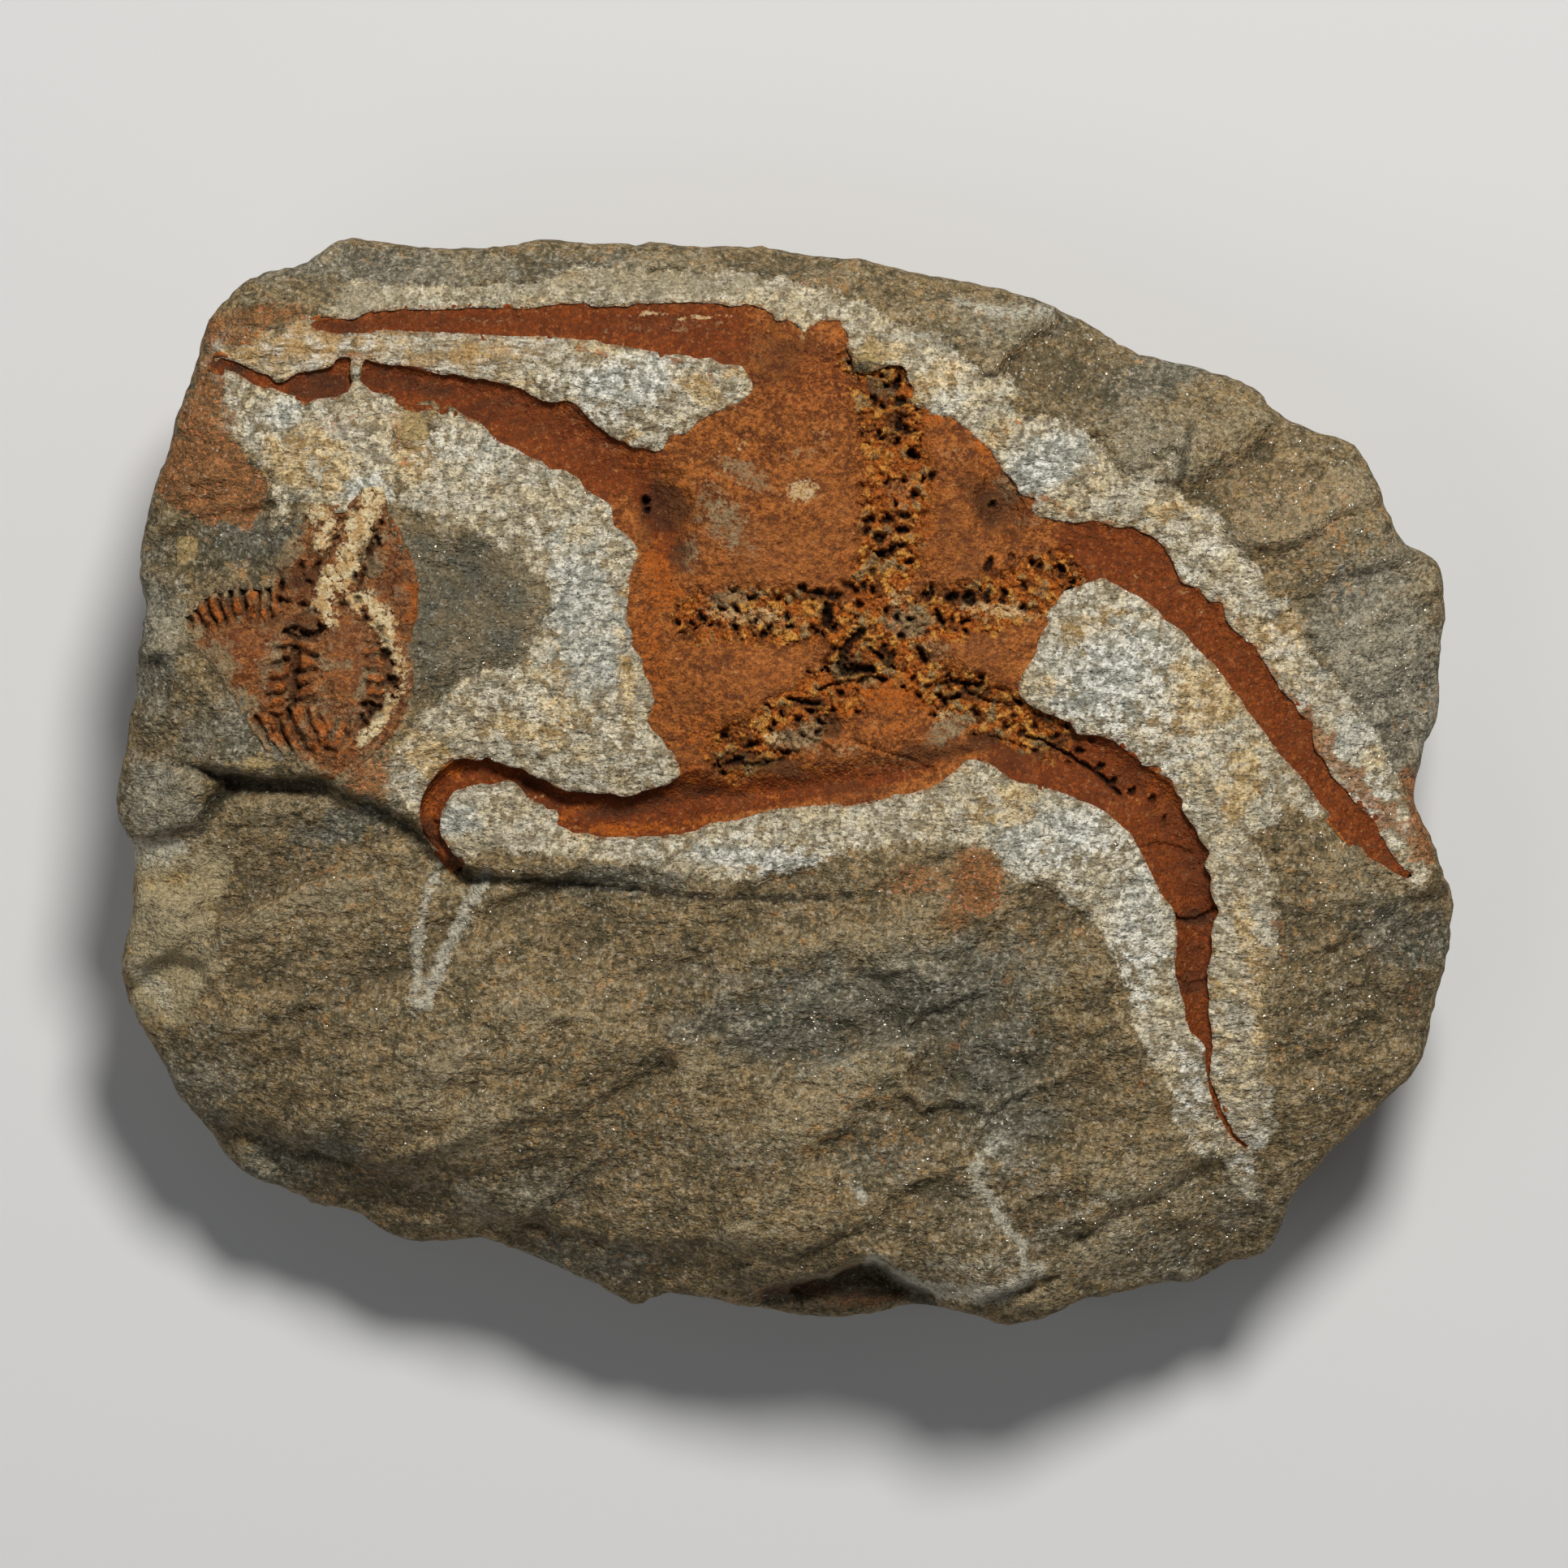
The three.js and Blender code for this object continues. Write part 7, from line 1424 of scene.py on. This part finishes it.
    # the wall of each pocket is stained
    pk = g.step(A('side'), 2.4, 2.9)
    col = g.mix(pk, col, rgb(70, 46, 28))
    h1, h2 = g.noise(3.0, 2.5, .75), g.noise(0.9, 3, .6, g.turn(g.P, 24, (.6, 1.3, 1)))
    bm = g.bump(h2, 0.8, 0.9)
    bm = g.bump(h1, 0.85, 0.36, bm)
    rough = g.mix(A('mica'), g.step(c[2], 0.0, 1.0, .62, .95), g.step(c[0], 0.0, 1.0, .18, .34))
    return g.finish(col, rough, bm, 0.25, g.mul(A('mica'), 0.7))


def iron_oxide(name, base, arms, groove_cols, pale=(rgb(168, 136, 86), rgb(182, 160, 122)), seed=0.0):
    g = Graph(name)
    A = g.attr
    o = (seed, 2.0 * seed, seed)
    n3, n1 = g.noise(0.42, 4, .6, offset=o), g.noise(1.3, 3, .65, offset=(3, 7, 1))
    nf, n2 = g.noise(3.8, 1.5, .7, offset=(5, 1, 8)), g.noise(2.0, 2, .7, offset=(11, 3, 2))
    mixed = g.sub(g.add(nf, n2), 1.0)
    smear = g.noise(0.7, 3.5, .68, g.turn(g.warp(g.P, 1.6, 0.5), -20, (0.7, 1.5, 1.0)))
    disc = g.mix(g.step(n3, .38, .62), base[0], base[1])
    disc = g.mix(g.mul(g.step(n1, .48, .60), .85), disc, base[2])
    disc = g.mix(g.mul(g.step(smear, .52, .62), .6), disc, rgb(160, 94, 42))
    disc = g.mix(g.mul(g.step(smear, .48, .38), .85), disc, rgb(80, 42, 21))
    disc = g.mix(g.mul(g.mul(g.step(n3, .52, .6), g.step(n1, .5, .6)), .5), disc, rgb(112, 52, 22))
    armc = g.mix(g.step(n3, .38, .62), arms[0], arms[1])
    armc = g.mix(g.mul(g.step(n1, .48, .66), .55), armc, arms[2])
    col = g.mix(g.step(A('arm'), .05, .6), disc, armc)
    col = g.mix(g.mul(A('smooth'), .35), col, rgb(140, 86, 46))
    col = g.mix(g.mul(A('red'), .6), col, rgb(100, 44, 17))
    col = g.mix(g.mul(g.mul(A('red'), g.step(smear, .54, .42)), .75), col, rgb(64, 27, 12))
    col = g.mix(g.mul(g.mul(A('red'), g.step(smear, .60, .70)), .5), col, rgb(138, 72, 36))
    rough_bits = g.sub(1.0, g.mul(A('smooth'), .35))
    col = g.mix(g.mul(g.step(n3, .55, .7), .35), col, rgb(92, 54, 28))
    calm = g.sub(1.0, g.mul(A('arm'), .65))
    col = g.mix(g.mul(g.mul(g.mul(g.step(n2, .52, .62), .6), rough_bits), calm), col, rgb(160, 94, 40))
    col = g.mix(g.mul(g.mul(g.step(n2, .48, .38), .7), rough_bits), col, rgb(80, 44, 21))
    col = g.mix(g.mul(g.mul(g.step(nf, .44, .34), .5), rough_bits), col, rgb(66, 38, 19))
    col = g.mix(g.mul(g.mul(g.step(nf, .56, .66), .35), g.sub(1.0, g.mul(A('arm'), .8))), col, rgb(156, 98, 46))
    # pitted grooves: rust, ochre and grey minerals crumbled together
    gv = g.mix(g.step(n1, .42, .58), groove_cols[0], groove_cols[1])
    rid = g.add(A('rid'), g.mul(g.sub(n3, .5), 1.1))
    gv = g.mix(g.mul(g.step(rid, .64, .68), .85), gv, groove_cols[2])
    gv = g.mix(g.mul(g.step(rid, .86, .90), .85), gv, groove_cols[3])
    gv = g.mix(g.mul(g.step(rid, .26, .22), .8), gv, groove_cols[4])
    gv = g.mix(g.mul(g.step(nf, .54, .64), .35), gv, groove_cols[2])
    gv = g.mix(g.mul(g.step(nf, .46, .36), .7), gv, groove_cols[4])
    # painted shade in the gaps between crumbs (crack mask)
    gv = g.mix(g.mul(A('crack'), .45), gv, rgb(44, 27, 15))
    gm = g.add(A('groove'), g.mul(mixed, 1.2))
    col = g.mix(g.mul(g.step(gm, .25, .85), .85), col, gv)
    # orange iron stain, with painted light on the lit lower wall of the lower-left arm
    om = g.add(A('orange'), g.mul(mixed, 1.7))
    col = g.mix(g.mul(g.step(om, .35, 1.05), .75), col, g.mix(g.step(n1, .4, .6), rgb(126, 66, 20), rgb(158, 82, 24)))
    gy = g.add(A('grey'), g.mul(mixed, 1.8))
    col = g.mix(g.mul(g.step(gy, .3, 1.05), .8), col, g.mix(g.step(n1, .4, .6), rgb(104, 92, 68), rgb(130, 118, 90)))
    pm = g.add(A('pale'), g.mul(mixed, 1.8))
    col = g.mix(g.mul(g.step(pm, .35, 1.0), .8), col, g.mix(g.step(n1, .4, .6), pale[0], pale[1]))
    # dark mask: dark colour patches, and painted shade in hollows and on upper walls
    dm = g.add(A('dark'), g.mul(mixed, 1.2))
    col = g.mix(g.mul(g.step(dm, .15, 1.0), .75), col, rgb(50, 33, 22))
    # painted shade on the steep upper wall of each channel
    col = g.mix(g.mul(A('wall'), .36), col, rgb(54, 30, 16))
    # near-black in the pits, cracks and gaps between teeth of the cav mask: dark residue there, and painted shade
    col = g.mix(g.mul(A('cav'), .92), col, rgb(22, 13, 8))
    col, d, c = grain(g, col, 0.28, 0.17, rgb(190, 150, 104), rgb(50, 30, 18))
    h1, h2 = g.noise(4.0, 1.5, .75), g.noise(1.6, 2.5, .65)
    bm = g.bump(h2, 0.65, 0.45)
    bm = g.bump(h1, 0.85, 0.24, bm)
    rough = g.step(nf, .35, .65, .55, .85)
    return g.finish(col, rough, bm, 0.22)


# ---------------------------------------------- the partial star at the left
# Combs: plan line of the root, direction and length of the teeth (px), pitch px
P_PITS = [(330, 722, 4, 8, 10, .8), (348, 722, 4, 7, 0, .8), (315, 724, 3, 7, 0, .6), (300, 728, 3, 6, 0, .6), (285, 732, 3, 5, 0, .5), (266, 726, 3, 6, -20, .5), (250, 735, 4, 5, 0, .5), (262, 755, 3, 6, 0, .4), (312, 752, 3, 6, 0, .5),
          (376, 640, 5, 6, 0, .5), (360, 776, 10, 4, 20, 1.0), (378, 780, 10, 4, -10, 1.1), (394, 772, 6, 4, -20, .9), (366, 800, 6, 8, 0, 1.0), (364, 826, 7, 9, 0, 1.0), (366, 846, 6, 6, 0, .8), (352, 812, 4, 4, 0, .6), (390, 812, 4, 4, 0, .5), (360, 862, 8, 3, 10, .7), (352, 880, 8, 3, 20, .6),
          (440, 738, 4, 8, -30, 1.0), (452, 762, 6, 5, 0, .9), (468, 775, 8, 4, 15, 1.0), (474, 806, 8, 9, 0, 1.1), (484, 838, 7, 8, 0, 1.1), (486, 860, 5, 5, 0, .8), (458, 870, 14, 6, -15, 1.2), (448, 890, 8, 10, 0, 1.0), (425, 745, 8, 4, 10, .7), (405, 745, 5, 5, 0, .6),
          (412, 662, 8, 4, 10, .8), (426, 640, 5, 4, 0, .6), (440, 628, 8, 4, 0, .7), (420, 642, 4, 3, 0, .5), (445, 690, 4, 14, 15, .9), (438, 715, 5, 10, 0, .9), (462, 660, 4, 16, 25, .9), (390, 700, 4, 12, -30, .8), (372, 700, 4, 10, 10, .7), (382, 720, 5, 6, 0, .8), (374, 745, 8, 4, 0, .8),
          (350, 740, 10, 3, -20, .8), (335, 760, 5, 3, 0, .5), (430, 905, 8, 4, -20, .6), (410, 925, 8, 4, -20, .5), (336, 900, 3, 12, 30, .4), (352, 910, 3, 12, 30, .4), (368, 905, 3, 10, 30, .4), (320, 915, 3, 10, 30, .35)]
P_CRACKS = [([(352, 778), (366, 786), (384, 784), (400, 774)], 4, 1.0), ([(470, 645), (455, 680), (446, 712), (440, 738), (452, 760), (470, 776), (478, 800), (490, 840), (486, 866), (460, 872), (448, 892)], 4, .8),
            ([(420, 640), (408, 660), (400, 700), (384, 722)], 3, .5), ([(366, 790), (366, 850), (355, 885)], 5, .6), ([(230, 745), (215, 765), (222, 790)], 3, .35), ([(495, 900), (470, 935), (440, 955)], 3, .45)]
P_RIDGE = [([(462, 606), (448, 638), (436, 668), (428, 694), (420, 712)], 20, .95), ([(425, 715), (440, 735), (462, 752), (474, 770)], 17, .85), ([(480, 786), (490, 812), (496, 838), (484, 862), (470, 884)], 13, .62), ([(462, 896), (446, 912)], 10, .5),
           ([(392, 634), (404, 652), (398, 664)], 17, .6), ([(404, 706), (398, 740), (408, 762)], 13, .45)]
P_SWELL = [(292, 808, 42, 44, 0, .45), (422, 812, 26, 58, 5, .35), (500, 725, 18, 55, -4, .6), (460, 697, 18, 18, 0, .35), (280, 748, 60, 26, -6, .3), (408, 915, 34, 30, -20, .5), (352, 690, 18, 26, 0, .3), (465, 825, 14, 44, 0, .4), (380, 730, 30, 30, 0, .35)]


def part_z(x, y):
    P = xyz(x, y)
    base = plate(x, y) + ledges(x, y)
    rim = signed(x, y, PART)
    z = base - 0.42
    for px, py, rx, ry, ang, h in P_SWELL:
        c = plan([(px, py)], -0.5)[0]
        a = math.radians(-ang)
        dx, dy = x - c[0], y - c[1]
        u = (dx * math.cos(a) - dy * math.sin(a)) / (rx * S)
        v = (dx * math.sin(a) + dy * math.cos(a)) / (ry * S)
        z += h * (1 - smooth(0.4, 1.1, np.hypot(u, v)))
    ridge = strokes(x, y, [(l, w * 1.15, 1.0) for l, w, _ in P_RIDGE], 0.28, 401)
    k1, k2, kid = worley(x + 0.3 * noise(P / 0.9, 431), y + 0.3 * noise(P / 0.9, 432), 0.95, 433, 1.0)
    lump = 0.9 * (kid - 0.3) - 0.9 * (1 - smooth(0.02, 0.22, k2 - k1)) + 0.5 * fbm(P / 0.62, 3, 402)
    ridge = ridge * smooth(-1.1, -0.3, lump + 0.3)
    z += ridge * (0.55 + 0.30 * lump)
    gap, rake = np.zeros(len(x)), np.zeros(len(x))
    # teeth of the combs stand side by side, with gaps between them
    for line, lean, ln, pitch, dep in (([(228, 748), (262, 724), (300, 716)], (0.25, 1), 46, 15, .6), ([(300, 716), (345, 710)], (0.05, 1), 56, 16, .6), ([(366, 786), (364, 870)], (1, 0.1), 30, 19, .5), ([(350, 870), (362, 786)], (-1, 0.25), 30, 19, .5),
                                       ([(298, 884), (388, 868)], (0.5, 1), 70, 19, .5), ([(470, 790), (476, 866)], (-1, 0.1), 28, 17, .45), ([(395, 892), (440, 880)], (-0.35, 1), 50, 20, .3)):
        l = plan(line, -0.5)
        t = np.array(lean, float); t /= np.hypot(*t); t = t * [1, -1]
        e = l[-1] - l[0]; L = np.hypot(*e); e = e / L
        # oblique coordinates: along the root and along the teeth
        det = e[0] * t[1] - e[1] * t[0]
        rx, ry = x - l[0, 0] + 0.12 * noise(P / 0.8, 403), y - l[0, 1] + 0.12 * noise(P / 0.8, 404)
        along = (rx * t[1] - ry * t[0]) / det
        q = (e[0] * ry - e[1] * rx) / det
        on = smooth(-0.2, 0.2, along) * smooth(L + 0.2, L - 0.2, along) * smooth(-0.15, 0.15, q) * smooth(ln * S, ln * S * 0.7, q)
        along = along + 0.42 * noise(P / 1.7, 437) + 0.16 * noise(P / 0.7, 438)
        q = q + 0.5 * noise(P / 1.2, 439)
        on = on * smooth(-0.9, -0.25, noise(P / 1.5, 440))
        tooth = np.abs(((along / (pitch * S)) % 1.0) - 0.5) * 2
        lot = _hash(np.floor(along / (pitch * S)).astype(np.int64), np.int64(pitch), np.int64(ln), 443) % 1000 / 999.0
        on = on * (0.7 + 0.3 * lot)
        z -= on * 1.35 * dep * smooth(0.45, 0.8, tooth)
        z += on * 0.16 * (1 - tooth)
        gap = np.maximum(gap, on * smooth(0.55, 0.9, tooth) * (0.55 + 0.45 * smooth(-0.4, 0.4, noise(P / 0.8, 435))))
        rake = np.maximum(rake, on * smooth(0.7, 0.35, tooth))
    f1, f2, rid = worley(x + 0.2 * noise(P / 0.7, 405), y + 0.2 * noise(P / 0.7, 406), 0.7, 407)
    worn = 1 - 0.7 * blobs(x, y, [(300, 810, 40, 44, 0, 1), (428, 815, 22, 50, 0, 1)], 0.3, 408)
    z += worn * (0.14 * fbm(P / 1.0, 4, 409, ridged=True) - 0.22 * (rid > .6) * (1 - smooth(.1, .5, f1)) + 0.25 * (rid - 0.5) - 0.15 * (1 - smooth(0.04, 0.2, f2 - f1))) + 0.03 * fbm(P / 0.4, 2, 410)
    cv = carve(x, y, P_PITS, P_CRACKS) * (1 - 0.3 * ridge) * (0.45 + 0.75 * smooth(-0.5, 0.3, noise(P / 0.55, 434)))
    z -= cv
    z += 0.30 * (1 - smooth(0.0, 1.6, rim)) - 0.35 * (1 - smooth(0.0, 0.35, rim))
    rub = strokes(x, y, [([(262, 760), (300, 745), (345, 740)], 26, 1.0)], 0.3, 436)
    m = dict(groove=worn * 0.5, arm=np.zeros(len(x)), wall=np.zeros(len(x)), cav=np.clip(0.8 * smooth(0.2, 0.8, cv) + 0.74 * gap, 0, 0.9))
    m['orange'] = blobs(x, y, [(506, 735, 15, 46, 0, 1.4), (488, 655, 10, 24, 0, 1.3), (498, 700, 9, 30, -10, .8), (392, 815, 9, 32, 0, .8), (330, 782, 10, 9, 0, 1.0), (285, 745, 60, 28, -8, .6), (235, 765, 22, 26, 0, .65), (345, 892, 52, 36, 20, .7), (405, 915, 36, 30, -20, .8),
                               (465, 825, 17, 46, 0, .7), (378, 668, 14, 12, 0, .7), (375, 745, 20, 14, 0, .5), (262, 775, 30, 12, 10, .6), (285, 868, 26, 14, 0, .45), (350, 830, 30, 50, 0, .5)], 0.35, 411)
    m['orange'] = np.maximum(0.75 * m['orange'] * smooth(-0.5, 0.3, noise(P / 1.1, 444)), 1.05 * rake * smooth(-0.7, 0.0, noise(P / 1.4, 445)))
    m['dark'] = np.maximum(blobs(x, y, [(375, 712, 24, 22, 0, .8), (375, 765, 28, 14, 0, .7), (455, 688, 8, 36, 25, .7), (360, 830, 14, 44, 0, .55), (478, 830, 9, 34, 0, .6), (462, 880, 14, 10, 0, .8), (350, 700, 14, 26, 0, .5), (290, 722, 50, 8, 0, .5), (480, 720, 14, 40, 0, .35)], 0.3, 415), 0.35 * rub * (1 - rake))
    m['grey'] = np.maximum(blobs(x, y, [(458, 697, 17, 19, 10, 1.0), (340, 808, 10, 30, 0, .9), (449, 842, 7, 30, 0, .9), (365, 940, 20, 12, 0, .6), (320, 905, 14, 26, -30, .6), (376, 905, 8, 22, 0, .7), (292, 762, 7, 7, 0, .9), (250, 830, 20, 30, 0, .6), (392, 642, 20, 14, 0, .3),
                                         (395, 870, 26, 20, 0, .7), (385, 800, 7, 12, 0, .6), (352, 890, 5, 20, -30, .6), (400, 690, 10, 20, 0, .4), (372, 785, 8, 6, 0, .5)], 0.35, 419), 1.1 * (1 - smooth(0.2, 2.6, rim + 1.4 * noise(P / 1.5, 441))) * smooth(2.0, -2.0, x - plan([(400, 700)])[0, 0]))
    m['pale'] = np.clip(ridge * (1.15 + 0.35 * lump) - 0.8 * smooth(0.15, 0.6, noise(P / 1.3, 442)), 0, 1.4)
    m['pale'] = m['pale'] * (1 - 0.42 * blobs(x, y, [(494, 830, 20, 60, 0, 1.0)], 0.3, 449))
    m['grey'] = np.maximum(m['grey'], 0.45 * gap * (1 - ridge))
    m['grey'] = np.maximum(m['grey'], 0.75 * smooth(0.0, 0.5, noise(P / 1.5, 447)) * (1 - ridge) * (1 - rub) * (1 - 0.8 * rake) * (1 - blobs(x, y, [(504, 725, 26, 74, 0, 1.0)], 0.3, 448)))
    m['rid'] = rid
    m['crack'] = np.maximum(0.8 * (1 - smooth(0.03, 0.2, f2 - f1)), ridge * (1 - smooth(0.02, 0.14, k2 - k1)))
    m['orange'] *= 1 - np.clip(m['pale'], 0, 1)
    m['smooth'] = blobs(x, y, [(296, 808, 46, 46, 0, 1), (424, 812, 26, 60, 0, .9)], 0.3, 423)
    m['red'] = blobs(x, y, [(296, 805, 46, 42, 0, .45), (395, 725, 40, 34, 0, .7), (430, 815, 24, 50, 0, .3), (352, 690, 18, 30, 0, .8), (482, 720, 16, 50, 0, .7)], 0.3, 427)
    return z, m


# ---------------------------------------------------------------- the pieces
K = 1.0
RUSTY = ((rgb(112, 62, 25), rgb(134, 78, 33), rgb(94, 50, 22)), (rgb(98, 44, 15), rgb(110, 52, 19), rgb(78, 35, 12)),
         (rgb(134, 70, 22), rgb(166, 90, 26), rgb(192, 138, 62), rgb(124, 112, 82), rgb(66, 38, 20)))
FADED = ((rgb(96, 68, 44), rgb(112, 80, 54), rgb(82, 62, 43)), (rgb(104, 60, 30), rgb(116, 70, 36), rgb(90, 52, 26)),
         (rgb(118, 76, 40), rgb(136, 84, 44), rgb(132, 104, 70), rgb(104, 96, 78), rgb(62, 42, 26)))
CREAM = (rgb(172, 142, 96), rgb(206, 184, 146))
STONE = sandstone()
OX_DISC, OX_ARM, OX_PART = iron_oxide('iron_oxide_disc', *RUSTY), iron_oxide('iron_oxide_arm', *RUSTY), iron_oxide('iron_oxide_partial', *FADED, pale=CREAM)

v, t, a, info = rock_mesh()
print('ROCK', len(v), len(t), flush=True)
a.update(rock_marks(v[:, 0], v[:, 1]))
v, t, a = mica(v, t, a, info, 900)
rock = build('matrix_look', v, t, STONE, a)
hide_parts('matrix')


def star_full(x, y):
    z, m = star_z(x, y)
    m.update(star_marks(x, y))
    return z, {k: m[k] for k in ('groove', 'arm', 'wall', 'cav', 'orange', 'dark', 'grey', 'pale', 'smooth', 'red', 'rid', 'crack')}


loop = resample(ccw(plan(DISC_TOP + DISC_RIGHT + DISC_BOT + DISC_LEFT + DISC_UL, -0.9)), 0.2)
v, t, a, edge = plate_mesh(loop, 0.14 * K, star_full, 3.4, 4)
print('DISC', len(v), len(t), flush=True)
disc = build('disc_look', v, t, OX_DISC, a, crease=edge)
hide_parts('disc')
for name in ARMS:
    v, t, a, edge = arm_mesh(name, 0.105 * K, star_full)
    print(name, len(v), len(t), flush=True)
    o = build(name + '_look', v, t, OX_ARM, a, crease=edge)
    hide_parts(name)
loop = resample(soften(resample(PART, 0.3), 2), 0.2)
v, t, a, edge = plate_mesh(loop, 0.14 * K, part_z, 2.6, 5)
print('PART', len(v), len(t), flush=True)
o = build('partial_star_look', v, t, OX_PART, a, crease=edge)
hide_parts('partial_star')

# ------------------------------------------------------ camera, floor, light
scene = bpy.context.scene
cam = bpy.data.cameras.new('camera')
cam.sensor_width = 36.0
cam.lens = 36.0 * DCAM / (1932 * S)
cam.clip_start, cam.clip_end = 0.1, 10.0
eye = bpy.data.objects.new('camera', cam)
eye.location = (-CX / 1000, -CY / 1000, (ZREF + DCAM) / 1000)
scene.collection.objects.link(eye)
scene.camera = eye

bpy.ops.mesh.primitive_plane_add(size=6.0, location=(0, 0, 0))
floor = bpy.context.object
floor.name = 'floor'
fm = bpy.data.materials.new('floor'); fm.use_nodes = True
fb = fm.node_tree.nodes['Principled BSDF']
fb.inputs['Base Color'].default_value = (0.80, 0.80, 0.79, 1)
fb.inputs['Roughness'].default_value = 0.85
fb.inputs['Specular IOR Level'].default_value = 0.2
floor.data.materials.append(fm)


def area(name, loc, size, power, colour=(1, 1, 1)):
    d = bpy.data.lights.new(name, 'AREA')
    d.shape = 'DISK'; d.size = size; d.energy = power; d.color = colour
    o = bpy.data.objects.new(name, d)
    o.location = loc
    o.rotation_mode = 'QUATERNION'
    o.rotation_quaternion = (Vector((0, 0, 0.02)) - Vector(loc)).to_track_quat('-Z', 'Y')
    scene.collection.objects.link(o)
    return o


KEY = area('key', (0.13, 0.44, 0.78), 0.22, 6.5, (1.0, 0.985, 0.96))
FILL = area('fill', (-0.45, -0.25, 0.8), 0.6, 0.8, (0.96, 0.98, 1.0))
w = bpy.data.worlds.new('world'); w.use_nodes = True
w.node_tree.nodes['Background'].inputs['Color'].default_value = (0.9, 0.93, 1.0, 1)
w.node_tree.nodes['Background'].inputs['Strength'].default_value = 0.09
scene.world = w
scene.view_settings.view_transform = 'Standard'
